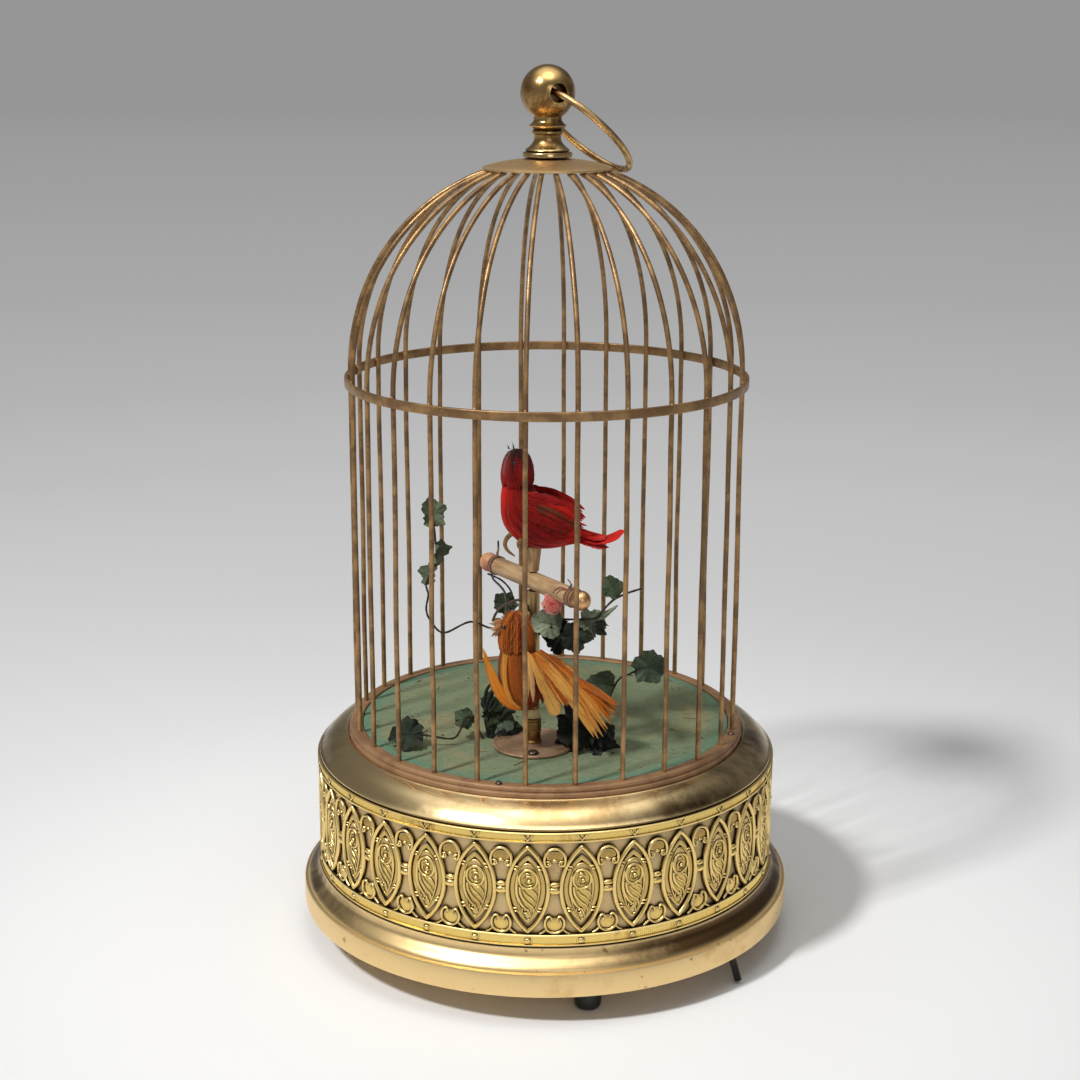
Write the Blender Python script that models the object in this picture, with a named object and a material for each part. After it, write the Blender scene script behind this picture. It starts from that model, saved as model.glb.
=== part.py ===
"""Singing bird automaton: a brass bird cage on a round base, with two birds on a stand and a clockwork under the floor.

Units are metres and +Z is up. The origin is the middle of the base, at the plane of the feet.
The front of the object faces -Y. Angles round the cage are counted from the front towards +X.
"""

from math import acos, atan2, cos, degrees, hypot, pi, radians, sin, sqrt

import bmesh
import bpy
from mathutils import Matrix, Vector

MM = 0.001
GAP = 0.3 * MM  # between pieces that touch

# Base
FOOT_HEIGHT = 10.4 * MM  # what shows below the flange
FOOT_RADIUS = 4.4 * MM
FOOT_INSET = 13.2 * MM  # of each foot's middle from the flange's edge
FOOT_COUNT = 3
FOOT_ANGLE = 11.2  # degrees, the foot that shows at the front
FLANGE_LEDGE = 6.8 * MM  # how far the flange stands out from the drum
FLANGE_SIDE = 7.2 * MM
FLANGE_HEIGHT = 13.8 * MM
FLANGE_WALL = 1.3 * MM
FLANGE_SHELF = 1.4 * MM  # under the drum, inside its wall
PLATE_RECESS = 2.0 * MM  # of the bottom plate above the flange's lower edge
PLATE_THICKNESS = 1.8 * MM
DRUM_RADIUS = 74.4 * MM
DRUM_WALL = 1.0 * MM
DRUM_HEIGHT = 37.0 * MM
GALLERY_THICKNESS = 1.2 * MM
GALLERY_PANELS = 29
GALLERY_ANGLE = -4.1  # degrees, the panel nearest the front
VESICA_HALF_WIDTH = 6.85 * MM
VESICA_HALF_HEIGHT = 14.25 * MM
WINDOW_EDGE = 1.3 * MM  # half of the tie between two vesicas
MOULDING_RISE = 6.5 * MM
MOULDING_BULGE = 0.9 * MM
MOULDING_WALL = 1.2 * MM
SEAT_WIDTH = 8.5 * MM

# Cage
RING_OUTER = 65.2 * MM
RING_INNER = 60.8 * MM
RING_SHOWS = 3.2 * MM  # above the moulding
RING_HEIGHT = 4.6 * MM
RING_SCREW_ANGLES = (-13.1, 73.1)
RING_SCREW_RADIUS = 1.3 * MM
WIRE_COUNT = 26
WIRE_ANGLE = -5.68  # degrees, the wire nearest the front
WIRE_CIRCLE = 62.5 * MM
WIRE_RADIUS = 0.8 * MM
HOOP_ABOVE_RING = 112.4 * MM
HOOP_WIDTH = 2.9 * MM
HOOP_THICKNESS = 1.3 * MM
SOLDER = 0.3 * MM  # how far the hoop's band takes in each wire
DOME_RISE = 65.7 * MM
WIRE_END_RADIUS = 17.5 * MM
CROWN_RADIUS = 20.2 * MM
CROWN_RISE = 2.7 * MM
CROWN_THICKNESS = 0.7 * MM
SHANK_RADIUS = 2.0 * MM
RIVET_RADIUS = 3.4 * MM
RIVET_HEIGHT = 1.2 * MM
WASHER_RADIUS = 7.7 * MM
NECK_RADIUS = 4.25 * MM
FINIAL_NECK = 12.2 * MM  # height of the turned stem under the ball
BALL_RADIUS = 8.45 * MM
CROSS_HOLE = 2.7 * MM
HANDLE_RADIUS = 18.1 * MM
HANDLE_WIRE = 1.05 * MM
HANDLE_DROOP = 43.0  # degrees below level
HANDLE_YAW = 25.3  # degrees, from +X towards the back

# Floor and stand
BOARD_THICKNESS = 3.0 * MM
FELT_THICKNESS = 1.0 * MM
POST_X = -4.0 * MM
POST_Y = -27.0 * MM
STAND_RADIUS = 13.2 * MM
STAND_THICKNESS = 0.9 * MM
STAND_SCREW_RADIUS = 1.6 * MM
SLEEVE_RADIUS = 2.35 * MM
SLEEVE_TOP = 80.2 * MM
COLLAR_HEIGHT = 3.0 * MM
POST_RADIUS = 2.0 * MM
POST_BORE = 1.1 * MM
PERCH_HEIGHT = 125.8 * MM
PERCH_LENGTH = 58.0 * MM
PERCH_RADIUS = 2.85 * MM
PERCH_YAW = -56.2  # degrees, from +X towards the front
KNOB_RADIUS = 3.1 * MM
STEM_LENGTH = 8.25 * MM
STEM_LOW_RADIUS = 1.7 * MM
STEM_TOP_RADIUS = 2.5 * MM
TURNING_ROD_RADIUS = 0.55 * MM

# Movement
GEAR_CLEARANCE = 0.4 * MM
WHEEL_TEETH = 32
PINION_TEETH = 8
GREAT_RADIUS = 21.6 * MM  # pitch radius of the great wheel and of the cam wheel
FLY_WHEEL_RADIUS = 14.0 * MM
WHEEL_THICKNESS = 1.4 * MM
ARBOR_RADIUS = 1.4 * MM
PIVOT_RADIUS = 0.8 * MM
BARREL_X = 22.0 * MM
BARREL_Y = 6.0 * MM
BARREL_RADIUS = 18.6 * MM
BARREL_DEPTH = 12.0 * MM
BARREL_WALL = 1.2 * MM
WINDING_RADIUS = 2.0 * MM
FRAME_RADIUS = 44.0 * MM
FRAME_X = 3.0 * MM
FRAME_Y = -3.0 * MM
FRAME_THICKNESS = 2.0 * MM
FRAME_OPENING = 37.0 * MM  # between the two plates
FRAME_STANDOFF = 3.0 * MM
PILLAR_RADIUS = 2.6 * MM
PILLAR_CIRCLE = 39.0 * MM
PILLAR_ANGLES = (65.0, 190.0, 318.0)
CAM_THICKNESS = 1.6 * MM
CAM_RADIUS = 9.5 * MM
CAM_LIFT = 1.4 * MM
CAM_LOBES = (3, 5, 2)
KEY_WIDTH = 22.0 * MM
KEY_BLADE = 5.6 * MM
KEY_THICKNESS = 1.8 * MM
LEVER_INSET = 23.2 * MM  # of the lever's pivot from the flange's edge
LEVER_ANGLE = 50.0
LEVER_TIP_INSET = 4.0 * MM
LEVER_PIN_RADIUS = 1.15 * MM
LEVER_PIN_LEAN = 3.0 * MM
LEVER_THICKNESS = 1.2 * MM
FLOOR_CLEARANCE = 0.9 * MM  # under the key and the start pin

# Birds
RED_NECK_X = -9.0 * MM
RED_NECK_RISE = 31.0 * MM  # above the perch
RED_HEAD_RADIUS = 5.3 * MM
RED_HEAD_HEIGHT = 11.0 * MM
ORANGE_AHEAD = 7.6 * MM  # of the post
ORANGE_NECK = (-9.4 * MM, 106.0 * MM)
ORANGE_HEAD_RADIUS = 5.6 * MM
ORANGE_HEAD_HEIGHT = 12.0 * MM
WING_THICKNESS = 1.1 * MM
TAIL_GAP = 0.9 * MM  # room for the tail to bob
JAW_GAP = 0.35 * MM

# Foliage
TWIG_RADIUS = 0.5 * MM
LEAF_THICKNESS = 0.45 * MM
ROSE_RADIUS = 3.2 * MM

# Heights and radii that follow from the sizes above
flange_radius = DRUM_RADIUS + FLANGE_LEDGE
flange_bore = DRUM_RADIUS - DRUM_WALL - FLANGE_SHELF
foot_circle = flange_radius - FOOT_INSET
lever_circle = flange_radius - LEVER_INSET
lever_tip_circle = flange_radius - LEVER_TIP_INSET
flange_top = FOOT_HEIGHT + FLANGE_HEIGHT
plate_low = FOOT_HEIGHT + PLATE_RECESS
plate_top = plate_low + PLATE_THICKNESS
drum_low = flange_top + GAP
drum_top = drum_low + DRUM_HEIGHT
gallery_outer = DRUM_RADIUS + GAP + GALLERY_THICKNESS
lip_radius = gallery_outer - 1.0 * MM
lip_low = drum_top + GAP
ridge_top = lip_low + MOULDING_RISE
ring_top = ridge_top + RING_SHOWS
ring_low = ring_top - RING_HEIGHT
seat_top = ring_low - GAP
hoop_low = ring_top + HOOP_ABOVE_RING
hoop_top = hoop_low + HOOP_WIDTH
board_radius = RING_INNER - GAP
board_low = seat_top + GAP
board_top = board_low + BOARD_THICKNESS
felt_low = board_top + GAP * 0.5
felt_top = felt_low + FELT_THICKNESS
frame_low = plate_top + FRAME_STANDOFF
frame_high = frame_low + FRAME_THICKNESS + FRAME_OPENING
stem_low = PERCH_HEIGHT + PERCH_RADIUS + GAP
stem_top = stem_low + STEM_LENGTH
red_neck = (RED_NECK_X, PERCH_HEIGHT + RED_NECK_RISE)
orange_y = POST_Y - ORANGE_AHEAD

for old in list(bpy.data.objects):
    bpy.data.objects.remove(old, do_unlink=True)

FINISHES = {
    "gilt brass": ((0.60, 0.40, 0.13), 0.30, 1.0),
    "tarnished brass": ((0.42, 0.27, 0.12), 0.42, 1.0),
    "wire brass": ((0.48, 0.30, 0.11), 0.38, 1.0),
    "copper brown": ((0.40, 0.20, 0.09), 0.50, 1.0),
    "movement brass": ((0.62, 0.46, 0.18), 0.35, 1.0),
    "steel": ((0.50, 0.50, 0.50), 0.35, 1.0),
    "blackened steel": ((0.03, 0.03, 0.03), 0.45, 0.6),
    "ebonised wood": ((0.02, 0.02, 0.02), 0.40, 0.0),
    "board wood": ((0.30, 0.19, 0.10), 0.75, 0.0),
    "bellows leather": ((0.62, 0.50, 0.36), 0.80, 0.0),
    "green felt": ((0.12, 0.26, 0.17), 0.95, 0.0),
    "red feather": ((0.55, 0.02, 0.02), 0.80, 0.0),
    "orange feather": ((0.72, 0.30, 0.05), 0.80, 0.0),
    "beak horn": ((0.05, 0.04, 0.03), 0.50, 0.0),
    "pale wood": ((0.60, 0.46, 0.28), 0.55, 0.0),
    "bone": ((0.80, 0.70, 0.45), 0.45, 0.0),
    "leaf cloth": ((0.06, 0.14, 0.07), 0.85, 0.0),
    "rose cloth": ((0.80, 0.22, 0.18), 0.85, 0.0),
}


def finish(name):
    """The material of a finish, made the first time that it is asked for."""
    found = bpy.data.materials.get(name)
    if found:
        return found
    colour, roughness, metallic = FINISHES[name]
    material = bpy.data.materials.new(name)
    material.use_nodes = True
    shader = material.node_tree.nodes["Principled BSDF"]
    shader.inputs["Base Color"].default_value = (*colour, 1.0)
    shader.inputs["Roughness"].default_value = roughness
    shader.inputs["Metallic"].default_value = metallic
    return material


def build(name, vertices, faces, material, at=(0, 0, 0), sharp=38):
    """One object from its points and faces, with the faces turned outwards."""
    mesh = bpy.data.meshes.new(name)
    mesh.from_pydata([tuple(v) for v in vertices], [], faces)
    work = bmesh.new()
    work.from_mesh(mesh)
    bmesh.ops.recalc_face_normals(work, faces=work.faces)
    work.to_mesh(mesh)
    work.free()
    mesh.materials.append(finish(material))
    mesh.shade_smooth()
    mesh.set_sharp_from_angle(angle=radians(sharp))
    piece = bpy.data.objects.new(name, mesh)
    piece.location = at
    bpy.context.scene.collection.objects.link(piece)
    return piece


def turned(name, profile, material, segments=48, at=(0, 0, 0), first=0.0):
    """A piece turned on the lathe: a closed outline of (radius, height) points, swept once round."""
    vertices, rings, faces = [], [], []
    for radius, height in profile:
        start = len(vertices)
        if radius < 1e-7:
            vertices.append((0, 0, height))
            rings.append([start] * segments)
            continue
        for i in range(segments):
            angle = first + 2 * pi * i / segments
            vertices.append((radius * cos(angle), radius * sin(angle), height))
        rings.append(list(range(start, start + segments)))
    for j, low in enumerate(rings):
        high = rings[(j + 1) % len(rings)]
        for i in range(segments):
            k = (i + 1) % segments
            corners = []
            for corner in (low[i], low[k], high[k], high[i]):
                if corner not in corners:
                    corners.append(corner)
            if len(corners) > 2:
                faces.append(tuple(corners))
    return build(name, vertices, faces, material, at)


def prism(name, outline, low, high, material, at=(0, 0, 0)):
    """A flat piece cut from sheet: an outline of (x, y) points between two heights."""
    count = len(outline)
    vertices = [(x, y, low) for x, y in outline] + [(x, y, high) for x, y in outline]
    faces = [tuple(range(count - 1, -1, -1)), tuple(range(count, 2 * count))]
    for i in range(count):
        k = (i + 1) % count
        faces.append((i, k, k + count, i + count))
    return build(name, vertices, faces, material, at)


def skin(name, rings, material, at=(0, 0, 0)):
    """A closed skin over rings of points, with a point in the middle of each end."""
    count = len(rings[0])
    vertices = [Vector(p) for ring in rings for p in ring]
    faces = []
    for j in range(len(rings) - 1):
        for i in range(count):
            k = (i + 1) % count
            faces.append((j * count + i, j * count + k, (j + 1) * count + k, (j + 1) * count + i))
    for j in (0, len(rings) - 1):
        middle = len(vertices)
        vertices.append(sum((vertices[j * count + i] for i in range(count)), Vector()) / count)
        for i in range(count):
            faces.append((j * count + i, j * count + (i + 1) % count, middle))
    return build(name, vertices, faces, material, at)


def rod(name, path, radius, material, sides=6, at=(0, 0, 0)):
    """A round wire or rod along a path, its ends flat. The radius may be one value or one for each point."""
    points = [Vector(p) for p in path]
    radii = radius if isinstance(radius, (list, tuple)) else [radius] * len(points)
    rings = []
    across = None
    for i, point in enumerate(points):
        ahead = points[min(i + 1, len(points) - 1)] - point
        behind = point - points[max(i - 1, 0)]
        along = (ahead.normalized() + behind.normalized()).normalized()
        if across is None:
            helper = Vector((0, 0, 1)) if abs(along.z) < 0.9 else Vector((1, 0, 0))
            across = along.cross(helper).normalized()
        across = (across - along * across.dot(along)).normalized()
        beside = along.cross(across)
        ring = []
        for s in range(sides):
            angle = 2 * pi * s / sides
            ring.append(point + (across * cos(angle) + beside * sin(angle)) * radii[i])
        rings.append(ring)
    return skin(name, rings, material, at)


def combine(target, other, operation):
    """Cut a shape out of a piece, or join it on. The other shape becomes a hidden guide."""
    step = target.modifiers.new(operation.lower(), "BOOLEAN")
    step.operation = operation
    step.solver = "EXACT"
    step.object = other
    other.hide_render = True
    other.display_type = "WIRE"
    return target


def cut(target, *others):
    for other in others:
        combine(target, other, "DIFFERENCE")
    return target


def join(target, *others):
    for other in others:
        combine(target, other, "UNION")
    return target


def drill(target, x, y, low, high, radius, sides=8):
    """A straight hole through a piece, from below one height to above another."""
    profile = [(0, low), (radius, low), (radius, high), (0, high)]
    return cut(target, turned(target.name + "_drill", profile, "steel", sides, (x, y, 0)))


def on_circle(radius, angle, height=0.0):
    """A point at an angle in degrees from the front, towards +X."""
    return Vector((radius * sin(radians(angle)), -radius * cos(radians(angle)), height))


def toothed(teeth, pitch_radius, depth_share=1.0):
    """The outline of a wheel: four points for each tooth, tip and root either side of the pitch circle."""
    module = 2 * pitch_radius / teeth
    tip = pitch_radius + 0.80 * module * depth_share
    root = pitch_radius - 0.95 * module
    outline = []
    for tooth in range(teeth):
        middle = 2 * pi * tooth / teeth
        pitch = 2 * pi / teeth
        for share, radius in ((-0.27, root), (-0.10, tip), (0.10, tip), (0.27, root)):
            angle = middle + share * pitch
            outline.append((radius * cos(angle), radius * sin(angle)))
    return outline


def turn_outline(outline, angle):
    return [(x * cos(angle) - y * sin(angle), x * sin(angle) + y * cos(angle)) for x, y in outline]


# Flange: a spun brass ring that the drum stands on
def make_flange():
    low = FOOT_HEIGHT
    side = low + FLANGE_SIDE
    collar = gallery_outer + 0.3 * MM
    outside = [
        (flange_radius, low),
        (flange_radius, side),
        (flange_radius - 0.6 * MM, side + 0.8 * MM),
        (flange_radius - 2.6 * MM, side + 2.4 * MM),
        (collar + 0.7 * MM, flange_top - 2.8 * MM),
        (collar, flange_top - 1.0 * MM),
        (collar, flange_top),
    ]
    inside = [
        (flange_bore, flange_top),
        (flange_bore, flange_top - FLANGE_WALL),
        (collar - FLANGE_WALL, flange_top - FLANGE_WALL),
        (collar - FLANGE_WALL, flange_top - 3.6 * MM),
        (flange_radius - FLANGE_WALL, side - 0.6 * MM),
        (flange_radius - FLANGE_WALL, low),
    ]
    turned("bottom_flange", outside + inside, "gilt brass", 48)


# Bottom plate: closes the base, carries the feet, the movement and the start lever
def make_bottom_plate():
    radius = flange_radius - FLANGE_WALL - GAP
    profile = [(0, plate_low), (radius, plate_low), (radius, plate_top), (0, plate_top)]
    plate = turned("bottom_plate", profile, "tarnished brass", 44)
    below, above = plate_low - MM, plate_top + MM
    drill(plate, BARREL_X, BARREL_Y, below, above, WINDING_RADIUS + GAP, 10)
    pivot = on_circle(lever_circle, LEVER_ANGLE)
    drill(plate, pivot.x, pivot.y, below, above, ARBOR_RADIUS + GAP, 8)


# Feet: turned wood, screwed under the bottom plate
def make_feet():
    top = plate_low - GAP
    profile = [
        (0, 0),
        (FOOT_RADIUS - 1.3 * MM, 0),
        (FOOT_RADIUS - 0.3 * MM, 1.1 * MM),
        (FOOT_RADIUS, 3.0 * MM),
        (FOOT_RADIUS, top),
        (0, top),
    ]
    for number in range(FOOT_COUNT):
        place = on_circle(foot_circle, FOOT_ANGLE + 360 * number / FOOT_COUNT)
        turned("foot_%d" % (number + 1), profile, "ebonised wood", 14, place)


# Drum wall: plain sheet behind the pierced gallery
def make_drum():
    profile = [
        (DRUM_RADIUS, drum_low),
        (DRUM_RADIUS, drum_top),
        (DRUM_RADIUS - DRUM_WALL, drum_top),
        (DRUM_RADIUS - DRUM_WALL, drum_low),
    ]
    turned("drum_wall", profile, "tarnished brass", 2 * GALLERY_PANELS, first=radians(GALLERY_ANGLE - 90))


def vesica_half(height):
    """Half of the width of a pointed oval at a height from its middle."""
    arc = (VESICA_HALF_HEIGHT**2 + VESICA_HALF_WIDTH**2) / (2 * VESICA_HALF_WIDTH)
    return sqrt(arc**2 - height**2) - (arc - VESICA_HALF_WIDTH)


# Gallery: a pierced strip bent round the drum, pointed ovals tied to each other at mid height
def make_gallery():
    step = 2 * pi / GALLERY_PANELS
    outer, inner = gallery_outer, gallery_outer - GALLERY_THICKNESS
    half = outer * step / 2
    middle = (drum_low + drum_top) / 2
    levels = (WINDOW_EDGE, 0.56 * VESICA_HALF_HEIGHT, 0.98 * VESICA_HALF_HEIGHT)
    count = len(levels)
    flat = [(-half, drum_top), (0, drum_top), (half, drum_top), (-half, drum_low), (0, drum_low), (half, drum_low)]
    flat += [(-half, middle), (half, middle), (0, middle + levels[-1]), (0, middle - levels[-1])]
    windows = []
    for way in (1, -1):
        left = [(vesica_half(level) - half, middle + way * level) for level in levels]
        first = len(flat)
        flat += left + [(-x, z) for x, z in left]
        windows.append((list(range(first, first + count)), list(range(first + count, first + 2 * count))))
    (upper_left, upper_right), (lower_left, lower_right) = windows
    triangles = []
    for centre, corners, upper, lower in ((6, (0, 3), upper_left, lower_left), (7, (2, 5), upper_right, lower_right)):
        fan = [corners[0]] + upper[::-1] + lower + [corners[1]]
        triangles += [(centre, fan[i], fan[i + 1]) for i in range(len(fan) - 1)]
    triangles += [(upper_left[0], upper_right[0], lower_right[0]), (upper_left[0], lower_right[0], lower_left[0])]
    walls = [(0, 1), (1, 2), (3, 4), (4, 5)]
    for (left, right), rail, wide in ((windows[0], (0, 1, 2), 8), (windows[1], (3, 4, 5), 9)):
        triangles += [(rail[0], left[-1], wide), (rail[0], wide, rail[1])]
        triangles += [(rail[2], right[-1], wide), (rail[2], wide, rail[1])]
        loop = left + [wide] + right[::-1]
        walls += [(loop[i], loop[(i + 1) % len(loop)]) for i in range(len(loop))]
    vertices, faces = [], []
    for cell in range(GALLERY_PANELS):
        turn = radians(GALLERY_ANGLE) + (cell + 0.5) * step
        base = len(vertices)
        for radius in (outer, inner):
            for x, z in flat:
                angle = turn + x / half * step / 2
                vertices.append((radius * sin(angle), -radius * cos(angle), z))
        back = base + len(flat)
        for a, b, c in triangles:
            faces.append((base + a, base + b, base + c))
            faces.append((back + c, back + b, back + a))
        for a, b in walls:
            faces.append((base + a, base + b, back + b, back + a))
    gallery = build("gallery_band", vertices, faces, "gilt brass")
    work = bmesh.new()
    work.from_mesh(gallery.data)
    bmesh.ops.remove_doubles(work, verts=work.verts, dist=0.01 * MM)
    bmesh.ops.recalc_face_normals(work, faces=work.faces)
    work.to_mesh(gallery.data)
    work.free()


# Top moulding: a spun brass ring over the drum, with the seat of the floor and of the cage inside it
def make_moulding():
    crest = RING_OUTER + GAP + 0.9 * MM
    outside = [(lip_radius, lip_low), (lip_radius, lip_low + 0.7 * MM)]
    steps = 4
    for i in range(1, steps + 1):
        share = i / steps
        radius = lip_radius + (crest - lip_radius) * share
        height = lip_low + 0.7 * MM + (ridge_top - lip_low - 0.7 * MM) * share
        outside.append((radius, height + MOULDING_BULGE * sin(pi * share)))
    bore = RING_OUTER + GAP
    seat_inner = bore - SEAT_WIDTH
    spigot = DRUM_RADIUS - DRUM_WALL - GAP
    inside = [
        (bore, seat_top),
        (seat_inner, seat_top),
        (seat_inner, seat_top - MOULDING_WALL),
        (bore, seat_top - MOULDING_WALL),
        (spigot - MOULDING_WALL, lip_low + 0.4 * MM),
        (spigot - MOULDING_WALL, lip_low - 2.4 * MM),
        (spigot, lip_low - 2.4 * MM),
        (spigot, lip_low),
    ]
    turned("top_moulding", outside + inside, "gilt brass", 48)


# Cage ring: the turned ring whose holes take the feet of the wires
def make_cage_ring():
    profile = [
        (RING_OUTER, ring_low),
        (RING_OUTER, ring_top),
        (RING_INNER, ring_top),
        (RING_INNER, ring_low),
    ]
    ring = turned("cage_base_ring", profile, "copper brown", WIRE_COUNT * 2, first=radians(WIRE_ANGLE - 90))
    holes = bmesh.new()
    for number in range(WIRE_COUNT):
        place = on_circle(WIRE_CIRCLE, WIRE_ANGLE + 360 * number / WIRE_COUNT, (ring_low + ring_top) / 2)
        bmesh.ops.create_cone(
            holes,
            cap_ends=True,
            segments=6,
            radius1=WIRE_RADIUS + GAP,
            radius2=WIRE_RADIUS + GAP,
            depth=RING_HEIGHT + 2 * MM,
            matrix=Matrix.Translation(place),
        )
    for angle in RING_SCREW_ANGLES:
        place = on_circle((RING_INNER + RING_OUTER) / 2, angle, ring_top)
        bmesh.ops.create_cone(
            holes,
            cap_ends=True,
            segments=8,
            radius1=RING_SCREW_RADIUS * 0.6 + GAP,
            radius2=RING_SCREW_RADIUS * 0.6 + GAP,
            depth=4 * MM,
            matrix=Matrix.Translation(place),
        )
    mesh = bpy.data.meshes.new("ring_holes")
    holes.to_mesh(mesh)
    holes.free()
    cutter = bpy.data.objects.new("ring_holes", mesh)
    bpy.context.scene.collection.objects.link(cutter)
    cut(ring, cutter)


# Screws that hold the cage ring down, with flat heads on its ledge
def make_ring_screws():
    head_low = ring_top + GAP
    shank = RING_SCREW_RADIUS * 0.6
    profile = [
        (0, ring_top - 1.7 * MM),
        (shank, ring_top - 1.7 * MM),
        (shank, head_low),
        (RING_SCREW_RADIUS, head_low),
        (RING_SCREW_RADIUS, head_low + 0.5 * MM),
        (RING_SCREW_RADIUS * 0.6, head_low + 0.8 * MM),
        (0, head_low + 0.8 * MM),
    ]
    for number, angle in enumerate(RING_SCREW_ANGLES):
        place = on_circle((RING_INNER + RING_OUTER) / 2, angle)
        turned("ring_screw_%d" % (number + 1), profile, "blackened steel", 8, place)


def dome_height(radius):
    """Height of the wires' middle line above the hoop, on the ellipse that the dome follows."""
    return hoop_top + WIRE_RADIUS + DOME_RISE * sqrt(1 - (radius / WIRE_CIRCLE) ** 2)


# Cage wires: upright to the hoop, bent over to the crown, all soldered to the hoop
def wire_outline():
    """One wire in its own upright plane, as (radius, height), from its foot in the ring to its end under the crown."""
    last = acos(WIRE_END_RADIUS / WIRE_CIRCLE)
    bends = 6
    outline = [(WIRE_CIRCLE, ring_low + 0.6 * MM)]
    for i in range(bends + 1):
        angle = last * i / bends
        outline.append((WIRE_CIRCLE * cos(angle), dome_height(WIRE_CIRCLE) + DOME_RISE * sin(angle)))
    return outline


def make_wire(name, bearing):
    out = on_circle(1.0, bearing)
    side = Vector((-out.y, out.x, 0))
    up = Vector((0, 0, 1))
    outline = wire_outline()
    sides = 5
    rings = []
    for j, (radius, height) in enumerate(outline):
        ahead = outline[min(j + 1, len(outline) - 1)]
        behind = outline[max(j - 1, 0)]
        lean = atan2(behind[0] - ahead[0], ahead[1] - behind[1])
        normal = out * cos(lean) + up * sin(lean)
        ring = []
        for s in range(sides):
            angle = 2 * pi * s / sides
            spread = normal * cos(angle) + side * sin(angle)
            ring.append(out * radius + up * height + spread * WIRE_RADIUS)
        rings.append(ring)
    return skin(name, rings, "wire brass")


def make_cage_wires():
    """Each half holds half of the wires and of the hoop; the halves meet midway between two wires."""
    pitch = 360 / WIRE_COUNT
    half = WIRE_COUNT // 2
    inner = WIRE_CIRCLE + WIRE_RADIUS - SOLDER
    outer = inner + HOOP_THICKNESS
    seam = degrees(GAP / 2 / inner)
    for name, first in (("cage_wires_front", WIRE_ANGLE - pitch * (half // 2)),
                        ("cage_wires_back", WIRE_ANGLE + pitch * (half // 2 + 1))):
        start, steps = first - pitch / 2, 2 * half
        rings = []
        for i in range(steps + 1):
            bearing = start + pitch / 2 * i
            bearing += seam if i == 0 else -seam if i == steps else 0
            rings.append([
                on_circle(inner, bearing, hoop_low),
                on_circle(outer, bearing, hoop_low),
                on_circle(outer, bearing, hoop_top),
                on_circle(inner, bearing, hoop_top),
            ])
        hoop = skin(name, rings, "wire brass")
        for number in range(half):
            join(hoop, make_wire("%s_%d" % (name, number + 1), first + pitch * number))


# Crown: a shallow spun disc that covers the upper ends of the wires
slope_at_rim = (DOME_RISE / WIRE_CIRCLE) * (CROWN_RADIUS / WIRE_CIRCLE) / sqrt(1 - (CROWN_RADIUS / WIRE_CIRCLE) ** 2)
crown_low = dome_height(CROWN_RADIUS) + WIRE_RADIUS * hypot(1, slope_at_rim) + GAP
finial_low = crown_low + CROWN_THICKNESS + CROWN_RISE + GAP
ball_height = finial_low + FINIAL_NECK + sqrt(BALL_RADIUS**2 - NECK_RADIUS**2)


def make_crown():
    hole = SHANK_RADIUS + GAP
    under = [
        (CROWN_RADIUS, crown_low),
        (0.76 * CROWN_RADIUS, crown_low + 0.62 * CROWN_RISE),
        (0.38 * CROWN_RADIUS, crown_low + CROWN_RISE),
        (hole, crown_low + CROWN_RISE),
    ]
    above = [(radius, height + CROWN_THICKNESS) for radius, height in reversed(under)]
    turned("crown_disc", under + above, "tarnished brass", 32)


# Finial: turned in one with its ball and shank, riveted under the crown, cross drilled for the carrying ring
def make_finial():
    washer = 1.6 * MM
    neck = FINIAL_NECK
    under = crown_low + CROWN_RISE - GAP
    profile = [
        (0, under - RIVET_HEIGHT),
        (RIVET_RADIUS * 0.8, under - RIVET_HEIGHT),
        (RIVET_RADIUS, under),
        (SHANK_RADIUS, under),
        (SHANK_RADIUS, finial_low),
        (WASHER_RADIUS, finial_low),
        (WASHER_RADIUS, finial_low + washer),
        (0.82 * WASHER_RADIUS, finial_low + washer + 0.4 * MM),
        (NECK_RADIUS + 0.7 * MM, finial_low + 0.30 * neck),
        (NECK_RADIUS - 0.1 * MM, finial_low + 0.50 * neck),
        (NECK_RADIUS + 0.35 * MM, finial_low + 0.63 * neck),
        (NECK_RADIUS, finial_low + 0.69 * neck),
        (NECK_RADIUS + 1.6 * MM, finial_low + 0.77 * neck),
        (NECK_RADIUS + 0.1 * MM, finial_low + 0.93 * neck),
    ]
    seat = acos(NECK_RADIUS / BALL_RADIUS)
    steps = 9
    for i in range(steps):
        angle = -seat + (seat + pi / 2) * i / steps
        profile.append((BALL_RADIUS * cos(angle), ball_height + BALL_RADIUS * sin(angle)))
    profile.append((0, ball_height + BALL_RADIUS))
    finial = turned("finial", profile, "gilt brass", 20)
    reach = 1.3 * BALL_RADIUS
    along = Vector((sin(radians(HANDLE_YAW)), -cos(radians(HANDLE_YAW)), 0))
    middle = Vector((0, 0, ball_height))
    bore = rod("finial_cross_hole", [middle - along * reach, middle + along * reach], CROSS_HOLE, "steel", 12)
    cut(finial, bore)


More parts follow.
